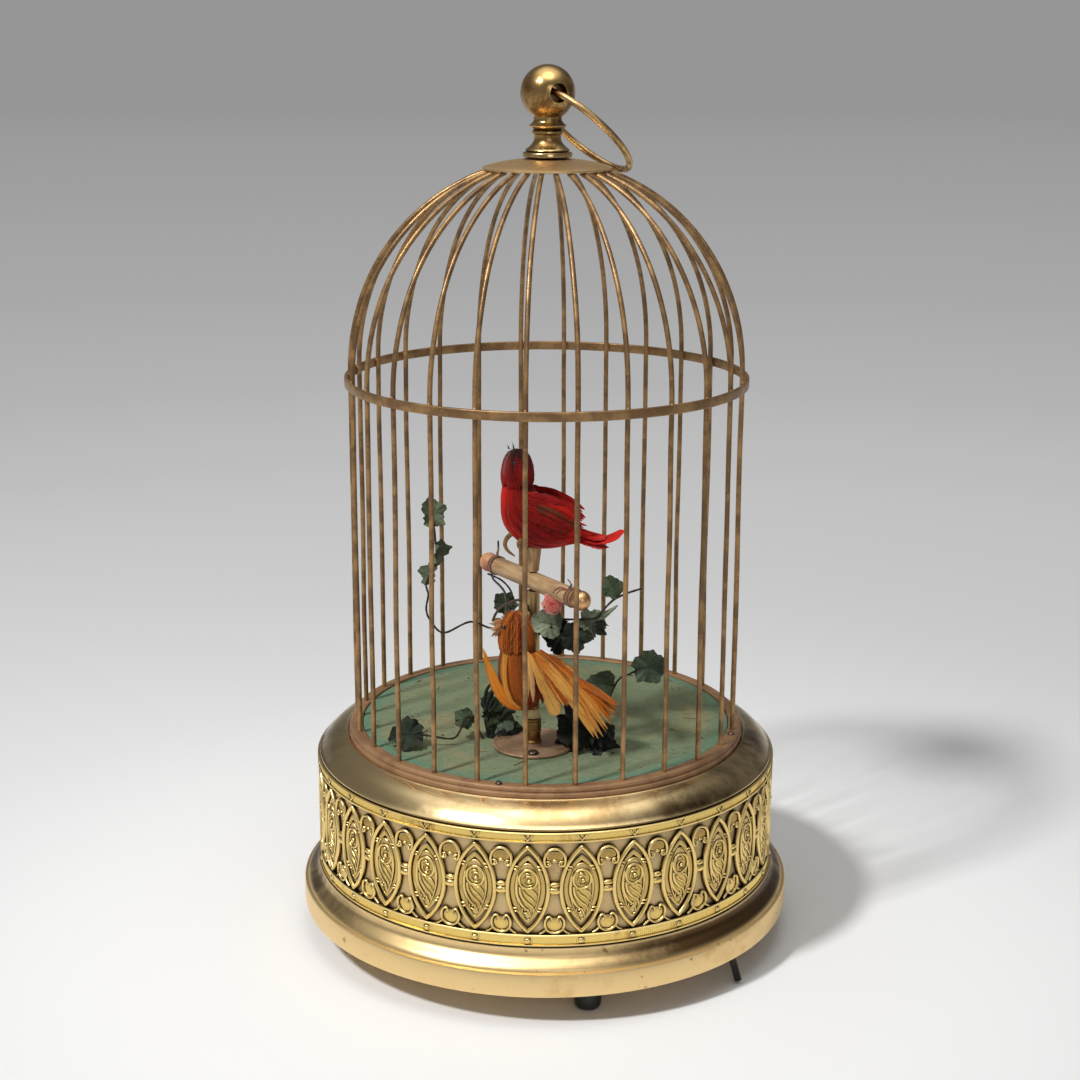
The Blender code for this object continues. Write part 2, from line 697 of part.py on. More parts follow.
# Carrying ring: a closed wire ring through the ball, lying over the crown
def make_handle_ring():
    sag = HANDLE_RADIUS - sqrt(HANDLE_RADIUS**2 - BALL_RADIUS**2)
    away = HANDLE_RADIUS - sag / 2
    yaw, droop = radians(HANDLE_YAW), radians(HANDLE_DROOP)
    level = Vector((cos(yaw), sin(yaw), 0))
    along = Vector((sin(yaw), -cos(yaw), 0))
    down = level * cos(droop) - Vector((0, 0, sin(droop)))
    normal = down.cross(along)
    turns, sides = 36, 6
    vertices, faces = [], []
    for i in range(turns):
        angle = 2 * pi * i / turns
        out = down * cos(angle) + along * sin(angle)
        for s in range(sides):
            spin = 2 * pi * s / sides
            spread = out * cos(spin) + normal * sin(spin)
            vertices.append(down * away + out * HANDLE_RADIUS + spread * HANDLE_WIRE)
    for i in range(turns):
        for s in range(sides):
            k, n = (s + 1) % sides, (i + 1) % turns
            faces.append((i * sides + s, i * sides + k, n * sides + k, n * sides + s))
    build("handle_ring", vertices, faces, "gilt brass", (0, 0, ball_height))


# Floor: a board in the cage ring with felt glued on it, both drilled for the turning rod
def make_floor():
    hole = POST_BORE
    for name, low, high, material in (
        ("floor_board", board_low, board_top, "board wood"),
        ("floor_felt", felt_low, felt_top, "green felt"),
    ):
        profile = [(0, low), (board_radius, low), (board_radius, high), (0, high)]
        piece = turned(name, profile, material, 44)
        drill(piece, POST_X, POST_Y, low - MM, high + MM, hole, 8)


stand_low = felt_top + GAP
stand_top = stand_low + STAND_THICKNESS
collar_low = SLEEVE_TOP + GAP
collar_top = collar_low + COLLAR_HEIGHT
post_low = collar_top + GAP
post_top = PERCH_HEIGHT - PERCH_RADIUS - GAP


# Stand: a round foot plate with a stepped sleeve turned on it, its screw, a bone collar and the post tube
def make_stand():
    place = (POST_X, POST_Y, 0)
    step_height = stand_top + (SLEEVE_TOP - stand_top) * 0.55
    profile = [
        (POST_BORE, stand_low),
        (STAND_RADIUS, stand_low),
        (STAND_RADIUS, stand_top - 0.3 * MM),
        (STAND_RADIUS - 0.4 * MM, stand_top),
        (SLEEVE_RADIUS, stand_top),
        (SLEEVE_RADIUS, step_height),
        (SLEEVE_RADIUS + 0.25 * MM, step_height),
        (SLEEVE_RADIUS + 0.25 * MM, SLEEVE_TOP),
        (POST_BORE, SLEEVE_TOP),
    ]
    plate = turned("stand_plate", profile, "copper brown", 24, place)
    screw_y = -0.84 * STAND_RADIUS
    drill(plate, POST_X, POST_Y + screw_y, stand_low - MM, stand_top + MM, STAND_SCREW_RADIUS * 0.55 + GAP, 8)
    screw = [
        (0, stand_low),
        (STAND_SCREW_RADIUS * 0.55, stand_low),
        (STAND_SCREW_RADIUS * 0.55, stand_top + GAP),
        (STAND_SCREW_RADIUS, stand_top + GAP),
        (STAND_SCREW_RADIUS, stand_top + GAP + 0.5 * MM),
        (STAND_SCREW_RADIUS * 0.5, stand_top + GAP + 0.9 * MM),
        (0, stand_top + GAP + 0.9 * MM),
    ]
    turned("stand_screw", screw, "steel", 10, (POST_X, POST_Y + screw_y, 0))
    collar = [
        (POST_BORE, collar_low),
        (SLEEVE_RADIUS - 0.2 * MM, collar_low),
        (SLEEVE_RADIUS - 0.2 * MM, collar_top),
        (POST_BORE, collar_top),
    ]
    turned("post_collar", collar, "bone", 12, place)
    tube = [(POST_BORE, post_low), (POST_RADIUS, post_low), (POST_RADIUS, post_top), (POST_BORE, post_top)]
    turned("stand_post", tube, "movement brass", 12, place)


perch_along = Vector((cos(radians(PERCH_YAW)), sin(radians(PERCH_YAW)), 0))
perch_middle = Vector((POST_X, POST_Y, PERCH_HEIGHT))
perch_near = perch_middle + perch_along * (PERCH_LENGTH / 2)
perch_far = perch_middle - perch_along * (PERCH_LENGTH / 2)


# Perch: a pale rod across the post, one end rounded and a brass ball on the other, and the upper bird's stem
def make_perch():
    half = PERCH_LENGTH / 2 - KNOB_RADIUS
    far, near = perch_middle - perch_along * half, perch_middle + perch_along * half
    path, radii = [near, far], [PERCH_RADIUS, PERCH_RADIUS]
    for i in range(6):
        angle = pi * (0.30 + 0.66 * i / 5)
        path.append(far - perch_along * KNOB_RADIUS * (cos(pi * 0.27) - cos(angle)))
        radii.append(KNOB_RADIUS * sin(angle))
    perch = rod("perch_rod", path, radii, "pale wood", 12)
    drill(perch, POST_X, POST_Y, PERCH_HEIGHT - 2 * PERCH_RADIUS, PERCH_HEIGHT + 2 * PERCH_RADIUS, POST_BORE, 8)
    rings = []
    for i in range(6):
        angle = pi * (0.16 + 0.80 * i / 5)
        away = KNOB_RADIUS * (cos(pi * 0.16) - cos(angle)) + GAP
        rings.append((near + perch_along * away, KNOB_RADIUS * sin(angle)))
    rod("perch_knob", [p for p, _ in rings], [r for _, r in rings], "gilt brass", 10)
    stem = [
        (POST_BORE, stem_low),
        (STEM_LOW_RADIUS, stem_low),
        (STEM_TOP_RADIUS, stem_top),
        (POST_BORE, stem_top),
    ]
    turned("bird_stem", stem, "bone", 12, (POST_X, POST_Y, 0))


def body_rings(stations, y, count=12, start=Vector((0, 0, -1))):
    """Cross sections of a bird: each station is (x, z, half depth, half width), square to the line through them."""
    rings = []
    for i, (x, z, depth, width) in enumerate(stations):
        ahead = stations[min(i + 1, len(stations) - 1)]
        behind = stations[max(i - 1, 0)]
        run = Vector((ahead[0] - behind[0], 0, ahead[1] - behind[1])).normalized()
        if i == 0:
            run = start
        across = Vector((-run.z, 0, run.x))
        ring = []
        for s in range(count):
            angle = 2 * pi * s / count
            point = across * (depth * cos(angle)) + Vector((0, width * sin(angle), 0))
            ring.append((Vector((x, 0, z)) + point) * MM + Vector((0, y, 0)))
        rings.append(ring)
    return rings


def head_profile(radius, height):
    """A bird's head turned about its neck: a flat neck, full cheeks and a rounded crown."""
    shares = ((0.80, 0.0), (0.92, 0.16), (1.0, 0.40), (0.93, 0.66), (0.68, 0.88), (0.34, 0.98))
    return [(0, 0)] + [(radius * r, height * h) for r, h in shares] + [(0, height)]


def wedge(name, root, tip, width, thickness, side, material, pivot=None):
    """A tapered plate from a root to a tip, such as a beak, a wing or a tail, with a rounded outline."""
    root, tip, side = Vector(root), Vector(tip), Vector(side).normalized()
    run = tip - root
    normal = run.cross(side).normalized()
    shares = ((0.0, 0.55), (0.22, 0.95), (0.50, 1.0), (0.78, 0.72), (1.0, 0.16))
    rings = []
    for share, wide in shares:
        middle = root + run * share
        thin = thickness * (1 - 0.5 * share) / 2
        half = width * wide / 2
        rings.append(
            [
                middle + side * half,
                middle + side * half * 0.5 + normal * thin,
                middle - side * half * 0.5 + normal * thin,
                middle - side * half,
                middle - side * half * 0.5 - normal * thin,
                middle + side * half * 0.5 - normal * thin,
            ]
        )
    at = Vector(pivot) if pivot else Vector()
    rings = [[point - at for point in ring] for ring in rings]
    return skin(name, rings, material, at)


def make_head(name, neck, y, radius, height, nod, bill, material):
    """A head that turns on the neck's upright axis, with its upper beak, and the lower beak as a piece of its own.

    nod is how far the beak points up, in degrees. bill is the upper beak's reach as a share of the head's radius.
    """
    x, z = neck
    place = Vector((x, y, z + GAP))
    head = turned(name + "_head", head_profile(radius, height), material, 14, place)
    face = Vector((-cos(radians(nod)), 0, sin(radians(nod))))
    centre = place + Vector((0, 0, height * 0.52))
    root, tip = centre + face * radius * 0.55, centre + face * radius * bill
    join(head, wedge(name + "_upper_bill", root, tip, 2.4 * MM, 1.5 * MM, (0, 1, 0), "beak horn"))
    under = Vector((-face.z, 0, face.x)).normalized()
    reach = jaw_reach(radius, height, nod)
    hinge = centre + face * reach + under * (0.75 * MM + JAW_GAP + 0.45 * MM)
    jaw_tip = hinge + face * (radius * bill - reach)
    wedge(name + "_beak", hinge, jaw_tip, 1.7 * MM, 0.8 * MM, (0, 1, 0), "beak horn", hinge)


def jaw_reach(radius, height, nod):
    """How far from the head's middle the lower beak starts, clear of the head."""
    return radius * 1.02 * cos(radians(nod)) ** 2 + (0.48 * height + GAP) * sin(radians(nod)) ** 2


# Upper bird: red, on the bone stem over the perch
def make_red_bird():
    x, z = red_neck[0] / MM, red_neck[1] / MM
    stations = (
        (x, z, 4.9, 4.5),
        (x + 0.5, z - 4.3, 6.1, 5.8),
        (x + 2.5, z - 9.2, 7.9, 7.1),
        (x + 6.6, z - 13.0, 7.5, 7.2),
        (x + 12.0, z - 14.7, 5.7, 5.6),
        (x + 17.0, z - 15.7, 3.3, 3.4),
    )
    body = skin("red_bird_body", body_rings(stations, POST_Y), "red feather")
    seat = [(0, stem_top - 6 * MM), (4.2 * MM, stem_top - 6 * MM), (4.2 * MM, stem_top + GAP), (0, stem_top + GAP)]
    cut(body, turned("red_bird_seat", seat, "steel", 12, (POST_X, POST_Y, 0)))
    drill(body, POST_X, POST_Y, stem_top - MM, stem_top + 5 * MM, POST_BORE, 8)
    claw = ((-9.6, 16.4), (-12.2, 14.4), (-12.8, 12.0), (-11.6, 9.8), (-9.9, 8.6))
    points = [Vector((x * MM, POST_Y - 2.0 * MM, PERCH_HEIGHT + rise * MM)) for x, rise in claw]
    join(body, rod("red_bird_claw", points, [0.8 * MM, 0.8 * MM, 0.7 * MM, 0.6 * MM, 0.4 * MM], "beak horn", 5))
    make_head("red_bird", red_neck, POST_Y, RED_HEAD_RADIUS, RED_HEAD_HEIGHT, 78, 1.32, "red feather")
    stations = (
        (x + 17.0, z - 15.8, 2.5, 2.4),
        (x + 22.6, z - 17.0, 2.8, 3.0),
        (x + 27.4, z - 17.9, 2.6, 3.5),
        (x + 33.0, z - 14.9, 0.8, 3.7),
    )
    root = Vector((stations[0][0] * MM + TAIL_GAP, POST_Y, stations[0][1] * MM))
    rings = body_rings(stations, POST_Y, 8, Vector((1, 0, -0.2)).normalized())
    rings = [[point + Vector((TAIL_GAP, 0, 0)) - root for point in ring] for ring in rings]
    skin("red_bird_tail", rings, "red feather", root)
    for name, side in (("red_bird_wing_near", -1), ("red_bird_wing_far", 1)):
        shoulder = Vector(((x + 3.4) * MM, POST_Y + side * 8.2 * MM, (z - 6.2) * MM))
        end = Vector(((x + 21.2) * MM, POST_Y + side * 5.0 * MM, (z - 11.2) * MM))
        wedge(name, shoulder, end, 8.6 * MM, WING_THICKNESS, (0.25, 0, 1), "red feather")


# Lower bird: orange, on the front of the post, with long hanging feathers
def make_orange_bird():
    x, z = ORANGE_NECK[0] / MM, ORANGE_NECK[1] / MM
    stations = (
        (x, z, 4.7, 4.6),
        (x + 0.2, z - 5.5, 6.1, 6.2),
        (x + 1.2, z - 11.0, 6.5, 6.7),
        (x + 2.9, z - 16.0, 5.2, 5.4),
        (x + 3.6, z - 19.4, 2.8, 3.0),
    )
    body = skin("orange_bird_body", body_rings(stations, orange_y), "orange feather")
    drill(body, POST_X, POST_Y, collar_low - MM, post_top, SLEEVE_RADIUS + 2 * GAP, 12)
    make_head("orange_bird", ORANGE_NECK, orange_y, ORANGE_HEAD_RADIUS, ORANGE_HEAD_HEIGHT, 12, 1.55, "orange feather")
    root = Vector(((x + 8.9) * MM, orange_y, (z - 8.0) * MM))
    tip = Vector((23.0 * MM, orange_y - 1.0 * MM, 87.6 * MM))
    wedge("orange_bird_tail", root, tip, 8.0 * MM, 2.0 * MM, (0.5, 0.3, 1.0), "orange feather", root)
    shoulder = Vector(((x + 3.6) * MM, orange_y - 5.8 * MM, (z - 1.0) * MM))
    end = Vector((14.5 * MM, orange_y - 6.2 * MM, 79.6 * MM))
    wedge("orange_bird_wing_near", shoulder, end, 9.0 * MM, WING_THICKNESS, (1, 0, 0.6), "orange feather")
    far = [
        Vector(((x + 1.2) * MM, orange_y - 6.4 * MM, (z - 20.5) * MM)),
        Vector(((x - 3.8) * MM, orange_y - 5.9 * MM, (z - 13.5) * MM)),
        Vector(((x - 7.8) * MM, orange_y - 3.9 * MM, (z - 5.5) * MM)),
        Vector(((x - 10.2) * MM, orange_y - 0.5 * MM, (z - 0.4) * MM)),
    ]
    rod("orange_bird_wing_far", far, [1.0 * MM, 1.5 * MM, 1.1 * MM, 0.4 * MM], "orange feather", 6)


def leaf_outline(size):
    """A lobed leaf with its stalk at the origin and its tip along +X."""
    shares = (
        (-0.06, 0.06),
        (0.10, 0.36),
        (0.34, 0.30),
        (0.48, 0.46),
        (0.70, 0.26),
        (1.0, 0.0),
    )
    upper = [(size * a, size * b) for a, b in shares]
    return upper + [(a, -b) for a, b in reversed(upper[:-1])]


def leaf(name, stalk, along, face, size):
    """A flat cloth leaf placed by its stalk, the way it points and the way it faces."""
    along = Vector(along).normalized()
    face = Vector(face)
    face = (face - along * face.dot(along)).normalized()
    piece = prism(name, leaf_outline(size), -LEAF_THICKNESS / 2, LEAF_THICKNESS / 2, "leaf cloth", stalk)
    turn = Matrix((along, face.cross(along), face)).transposed()
    piece.rotation_euler = turn.to_euler()
    return piece


def sprig(name, path, leaves):
    """A twisted wire twig with cloth leaves on it, all in one piece."""
    points = [Vector(p) * MM for p in path]
    twig = rod(name, points, TWIG_RADIUS, "leaf cloth", 5)
    for number, (place, along, face, size) in enumerate(leaves):
        join(twig, leaf("%s_leaf_%d" % (name, number + 1), Vector(place) * MM, along, face, size * MM))
    return twig


# Foliage: cloth leaves on wires, a cloth rose under the near end of the perch, and tufts at the foot
def make_foliage():
    perch = PERCH_HEIGHT / MM
    vine = sprig(
        "vine_left",
        (
            (-5.62, -24.71, perch - 15.4),
            (-8.4, -22.9, perch - 16),
            (-17.0, -22.5, perch - 17.2),
            (-24.0, -23.0, perch - 14.8),
            (-32.5, -24.0, perch - 18.2),
            (-36.4, -24.0, perch - 13.8),
            (-37.2, -24.0, perch - 1.8),
            (-35.4, -24.0, perch + 10.2),
            (-35.2, -24.0, perch + 19.2),
        ),
        (
            ((-35.2, -24.0, perch + 18.2), (0.0, 0, 1), (0.3, -1, 0.1), 7.0),
            ((-35.5, -24.0, perch + 9.2), (0.5, 0, -0.8), (0.2, -1, 0.2), 6.5),
            ((-37.1, -24.0, perch - 2.8), (-0.2, 0, 1), (-0.4, -1, 0), 6.0),
        ),
    )
    stray = (
        (-9.2, -23.0, perch - 16.1),
        (-10.4, -16.0, perch - 13.2),
        (-11.0, -10.0, perch - 9.2),
        (-14.2, -6.6, perch - 6),
        (-19.0, -4.6, perch - 4.2),
    )
    join(vine, rod("vine_stray", [Vector(p) * MM for p in stray], TWIG_RADIUS * 0.9, "leaf cloth", 5))
    stalk = Vector((-10.6, -15.0, perch - 12.8)) * MM
    join(vine, leaf("vine_stray_leaf", stalk, (-0.6, 0, 0.8), (0.2, -1, 0.3), 7.0 * MM))
    floor = felt_top / MM + 0.3
    left = sprig(
        "floor_sprig_left",
        (
            (-20.2, -22.0, floor + TWIG_RADIUS / MM),
            (-23.0, -23.0, floor + 6.0),
            (-25.5, -24.0, floor + 7.8),
            (-29.0, -27.5, floor + 2.2),
            (-36.0, -29.0, floor + 3.2),
            (-40.0, -29.6, floor + 4.2),
        ),
        (
            ((-39.4, -29.5, floor + 4.1), (-1, -0.1, 0.05), (0.1, -0.8, 0.8), 9.5),
            ((-23.6, -23.3, floor + 6.6), (-0.6, 0.2, 0.8), (0.3, -1, 0.2), 5.0),
        ),
    )
    right = sprig(
        "floor_sprig_right",
        (
            (15.4, -30.0, floor + TWIG_RADIUS / MM),
            (15.8, -20.0, floor + 1.2),
            (16.0, -12.0, floor + 1.4),
            (20.5, -6.0, floor + 7.0),
            (24.0, -1.0, floor + 12.5),
            (28.0, 0.0, floor + 14.5),
            (30.0, 0.0, floor + 15.6),
        ),
        (
            ((29.4, 0.0, floor + 15.4), (0.9, 0, 0.5), (0.1, -1, 0.3), 10.0),
            ((22.8, -2.5, floor + 11.0), (-0.9, 0.1, 0.35), (0.2, -0.8, 0.6), 8.5),
        ),
    )
    sprig(
        "perch_sprig",
        (
            (-2.15, -29.1, perch - 17.2),
            (-1.9, -29.3, perch - 13.8),
            (2.0, -31.4, perch - 11.2),
            (6.4, -35.0, perch - 10.2),
            (11.0, -40.6, perch - 8.4),
            (15.2, -45.6, perch - 6.4),
            (17.6, -46.6, perch - 3.2),
            (20.6, -46.0, perch - 0.4),
            (25.0, -45.4, perch + 1.6),
            (29.0, -45.0, perch + 2.8),
        ),
        (
            ((20.8, -46.0, perch - 0.3), (-0.15, 0, 1), (0.2, -1, 0.1), 7.0),
            ((16.0, -45.8, perch - 5.4), (0.75, 0.1, -0.4), (0.2, -1, 0.3), 6.0),
            ((11.4, -41.0, perch - 8.2), (0.7, -0.1, -0.7), (0.3, -1, 0.2), 8.0),
            ((7.0, -35.8, perch - 9.9), (0.45, -0.3, -0.9), (0.1, -1, 0.4), 10.0),
            ((2.6, -31.8, perch - 11.1), (0.25, -0.2, -1.0), (0.5, -1, 0.1), 9.0),
        ),
    )
    share = 0.19 * PERCH_LENGTH
    hang = Vector((-0.35 * perch_along.y, 0.35 * perch_along.x, 0)) * -1 + Vector((0, 0, -0.94))
    away = PERCH_RADIUS + ROSE_RADIUS + GAP
    centre = perch_middle + perch_along * share + hang.normalized() * away
    rings = []
    for i in range(5):
        angle = pi * (0.08 + 0.84 * i / 4)
        rings.append((centre + Vector((0, 0, ROSE_RADIUS * cos(angle))), ROSE_RADIUS * sin(angle)))
    rod("rose", [p for p, _ in rings], [r for _, r in rings], "rose cloth", 10)
    tufts = (
        ("leaf_tuft_left", ((-18.6, -20.4), (-18.6, -20.4), (-17.4, -20.0), (-16.6, -20.0)), (2.0, 3.0, 2.2, 0.8)),
        ("leaf_tuft_right", ((15.4, -31.0), (15.4, -31.0), (11.8, -31.0), (9.6, -31.0)), (2.6, 3.4, 2.4, 0.9)),
    )
    for name, path, sizes in tufts:
        points = [Vector((x, y, floor + rise)) * MM for (x, y), rise in zip(path, (0.0, 4.0, 9.0, 13.6))]
        tuft = rod(name, points, [size * MM for size in sizes], "leaf cloth", 7)
        join(left if name == "leaf_tuft_left" else right, tuft)


# Movement: where each arbor stands, worked out from the wheels that mesh
barrel_place = Vector((BARREL_X, BARREL_Y, 0))
great_pinion = GREAT_RADIUS * PINION_TEETH / WHEEL_TEETH
fly_pinion = FLY_WHEEL_RADIUS * PINION_TEETH / WHEEL_TEETH
crank_angle, fly_angle, cam_angle = radians(180), radians(135), radians(-60)
great_distance = GREAT_RADIUS + great_pinion + GEAR_CLEARANCE
fly_distance = FLY_WHEEL_RADIUS + fly_pinion + GEAR_CLEARANCE
crank_place = barrel_place + Vector((cos(crank_angle), sin(crank_angle), 0)) * great_distance
fly_place = crank_place + Vector((cos(fly_angle), sin(fly_angle), 0)) * fly_distance
cam_place = crank_place + Vector((cos(cam_angle), sin(cam_angle), 0)) * great_distance
lever_place = Vector((-20.0 * MM, -14.0 * MM, 0))
click_place = barrel_place + Vector((4.0 * MM, -14.2 * MM, 0))
inside_low = frame_low + FRAME_THICKNESS
ratchet_low = inside_low + GAP
great_low = ratchet_low + 1.2 * MM + 2 * GAP
fly_wheel_low = great_low + WHEEL_THICKNESS + BARREL_DEPTH + 1.5 * MM
cam_wheel_low = fly_wheel_low + WHEEL_THICKNESS + 3.0 * MM
cam_low = cam_wheel_low + WHEEL_THICKNESS + 1.2 * MM
pivots = (
    (crank_place, PIVOT_RADIUS),
    (fly_place, PIVOT_RADIUS),
    (cam_place, PIVOT_RADIUS),
    (lever_place, PIVOT_RADIUS),
)


# Frame: a lower plate with three pillars riveted in it and an upper plate, both drilled for every pivot
def make_frame():
    middle = Vector((FRAME_X, FRAME_Y, 0))
    for name, low in (("frame_plate_lower", frame_low), ("frame_plate_upper", frame_high)):
        high = low + FRAME_THICKNESS
        profile = [(0, low), (FRAME_RADIUS, low), (FRAME_RADIUS, high), (0, high)]
        plate = turned(name, profile, "movement brass", 24, middle)
        below, above = low - MM, high + MM
        for place, radius in pivots:
            drill(plate, place.x, place.y, below, above, radius + GAP, 6)
        drill(plate, BARREL_X, BARREL_Y, below, above, WINDING_RADIUS + GAP, 8)
        if low == frame_high:
            drill(plate, POST_X, POST_Y, below, above, TURNING_ROD_RADIUS + 2 * GAP, 6)
            for angle in PILLAR_ANGLES:
                place = middle + Vector((cos(radians(angle)), sin(radians(angle)), 0)) * PILLAR_CIRCLE
                drill(plate, place.x, place.y, below, above, PILLAR_RADIUS * 0.55 + GAP, 6)
        else:
            drill(plate, click_place.x, click_place.y, below, above, PIVOT_RADIUS + GAP, 6)
            lower = plate
    for number, angle in enumerate(PILLAR_ANGLES):
        place = middle + Vector((cos(radians(angle)), sin(radians(angle)), 0)) * PILLAR_CIRCLE
        neck = PILLAR_RADIUS * 0.55
        profile = [
            (0, plate_top + GAP),
            (PILLAR_RADIUS, plate_top + GAP),
            (PILLAR_RADIUS, frame_high - GAP),
            (neck, frame_high - GAP),
            (neck, frame_high + FRAME_THICKNESS + GAP),
            (0, frame_high + FRAME_THICKNESS + GAP),
        ]
        join(lower, turned("frame_pillar_%d" % (number + 1), profile, "movement brass", 8, place))


def arbor(name, place, low, high, material="steel"):
    """A plain arbor between the two plates with a thinner pivot at each end."""
    profile = [
        (0, frame_low + GAP),
        (PIVOT_RADIUS, frame_low + GAP),
        (PIVOT_RADIUS, low),
        (ARBOR_RADIUS, low),
        (ARBOR_RADIUS, high),
        (PIVOT_RADIUS, high),
        (PIVOT_RADIUS, frame_high + FRAME_THICKNESS - GAP),
        (0, frame_high + FRAME_THICKNESS - GAP),
    ]
    return turned(name, profile, material, 8, place)


# Barrel and winding: the great wheel is on the barrel, the ratchet on the winding arbor
def make_barrel():
    deck = great_low + WHEEL_THICKNESS
    barrel = prism("mainspring_barrel", toothed(WHEEL_TEETH, GREAT_RADIUS), great_low, deck, "movement brass", barrel_place)
    hole = WINDING_RADIUS + GAP
    wall = [
        (0, great_low - GAP * 0.3),
        (hole + 1.6 * MM, great_low - GAP * 0.3),
        (hole + 1.6 * MM, deck - 0.4 * MM),
        (BARREL_RADIUS, deck - 0.4 * MM),
        (BARREL_RADIUS, deck + BARREL_DEPTH),
        (BARREL_RADIUS - BARREL_WALL, deck + BARREL_DEPTH),
        (BARREL_RADIUS - BARREL_WALL, deck + 0.6 * MM),
        (0, deck + 0.6 * MM),
    ]
    join(barrel, turned("barrel_wall", wall, "movement brass", 22, barrel_place))
    drill(barrel, BARREL_X, BARREL_Y, great_low - MM, deck + 2 * MM, hole, 10)
    low, high = deck + 0.6 * MM + 2 * GAP, deck + BARREL_DEPTH - 1.5 * MM
    turns, points = 3, 10
    thick = 1.1 * MM
    first, last = WINDING_RADIUS + 3.0 * MM, BARREL_RADIUS - BARREL_WALL - 2.0 * MM
    inner, outer = [], []
    for i in range(turns * points + 1):
        angle = 2 * pi * i / points
        radius = first + (last - first) * i / (turns * points)
        inner.append((radius * cos(angle), radius * sin(angle)))
        outer.append(((radius + thick) * cos(angle), (radius + thick) * sin(angle)))
    vertices, faces = [], []
    for (ax, ay), (bx, by) in zip(inner, outer):
        vertices += [(ax, ay, low), (bx, by, low), (bx, by, high), (ax, ay, high)]
    for i in range(turns * points):
        row = 4 * i
        for a, b in ((0, 1), (1, 2), (2, 3), (3, 0)):
            faces.append((row + a, row + b, row + 4 + b, row + 4 + a))
    faces += [(0, 1, 2, 3), tuple(4 * turns * points + i for i in (3, 2, 1, 0))]
    build("mainspring", vertices, faces, "steel", barrel_place)


def make_winding():
    key_top = plate_low - GAP
    key_low = FLOOR_CLEARANCE
    square = WINDING_RADIUS * 0.7
    profile = [
        (0, key_top - 2.4 * MM),
        (square, key_top - 2.4 * MM),
        (square, key_top),
        (WINDING_RADIUS, key_top),
        (WINDING_RADIUS, frame_high + FRAME_THICKNESS - GAP),
        (0, frame_high + FRAME_THICKNESS - GAP),
    ]
    shaft = turned("winding_arbor", profile, "steel", 10, barrel_place)
    saw = []
    teeth, outer, inner = 16, 8.2 * MM, 6.9 * MM
    for tooth in range(teeth):
        for share, radius in ((0.0, inner), (0.92, outer)):
            angle = 2 * pi * (tooth + share) / teeth
            saw.append((radius * cos(angle), radius * sin(angle)))
    wheel = prism("ratchet_wheel_blank", saw, ratchet_low, ratchet_low + 1.2 * MM, "steel", barrel_place)
    join(shaft, wheel)
    hub = [
        (square + GAP, key_top - GAP - 3.2 * MM),
        (square + 1.9 * MM, key_top - GAP - 3.2 * MM),
        (square + 1.9 * MM, key_top - GAP),
        (square + GAP, key_top - GAP),
    ]
    key = turned("winding_key", hub, "steel", 8, barrel_place)
    half, thin = KEY_WIDTH / 2, KEY_THICKNESS / 2
    blade_top = key_low + KEY_BLADE
    hub_low = key_top - GAP - 3.2 * MM
    wings = [
        (-half, key_low + 1.2 * MM),
        (-half + 1.6 * MM, key_low),
        (half - 1.6 * MM, key_low),
        (half, key_low + 1.2 * MM),
        (half, blade_top - 1.0 * MM),
        (half - 2.0 * MM, blade_top),
        (square + 1.6 * MM, blade_top),
        (square + 1.6 * MM, hub_low + 0.6 * MM),
        (-square - 1.6 * MM, hub_low + 0.6 * MM),
        (-square - 1.6 * MM, blade_top),
        (-half + 2.0 * MM, blade_top),
        (-half, blade_top - 1.0 * MM),
    ]
    vertices = [(x, -thin, z) for x, z in wings] + [(x, thin, z) for x, z in wings]
    count = len(wings)
    faces = [tuple(range(count - 1, -1, -1)), tuple(range(count, 2 * count))]
    faces += [(i, (i + 1) % count, (i + 1) % count + count, i + count) for i in range(count)]
    join(key, build("key_blade", vertices, faces, "steel", barrel_place))
    reach = click_place - barrel_place
    back = atan2(-reach.y, -reach.x)
    length = reach.length - 8.2 * MM - 0.5 * MM
    nose = [(-2.4, -1.6), (-2.4, 1.6), (1.0, 2.2), (length / MM, 0.7), (length / MM, -0.5), (1.0, -2.2)]
    outline = turn_outline([(x * MM, y * MM) for x, y in nose], back)
    click = prism("ratchet_click", outline, ratchet_low, ratchet_low + 1.2 * MM, "steel", click_place)
    pin = [
        (0, frame_low + GAP),
        (PIVOT_RADIUS, frame_low + GAP),
        (PIVOT_RADIUS, ratchet_low + 0.6 * MM),
        (0, ratchet_low + 0.6 * MM),
    ]
    join(click, turned("click_pin", pin, "steel", 8, click_place))


def meshed(teeth, place, driver_place, driver_teeth):
    """How far a pinion is turned so that a gap faces the tooth of the wheel that drives it."""
    way = atan2(driver_place.y - place.y, driver_place.x - place.x)
    facing = way + pi
    driver_share = (facing / (2 * pi / driver_teeth)) % 1.0
    return way + (0.5 - driver_share) * -1 * 2 * pi / teeth


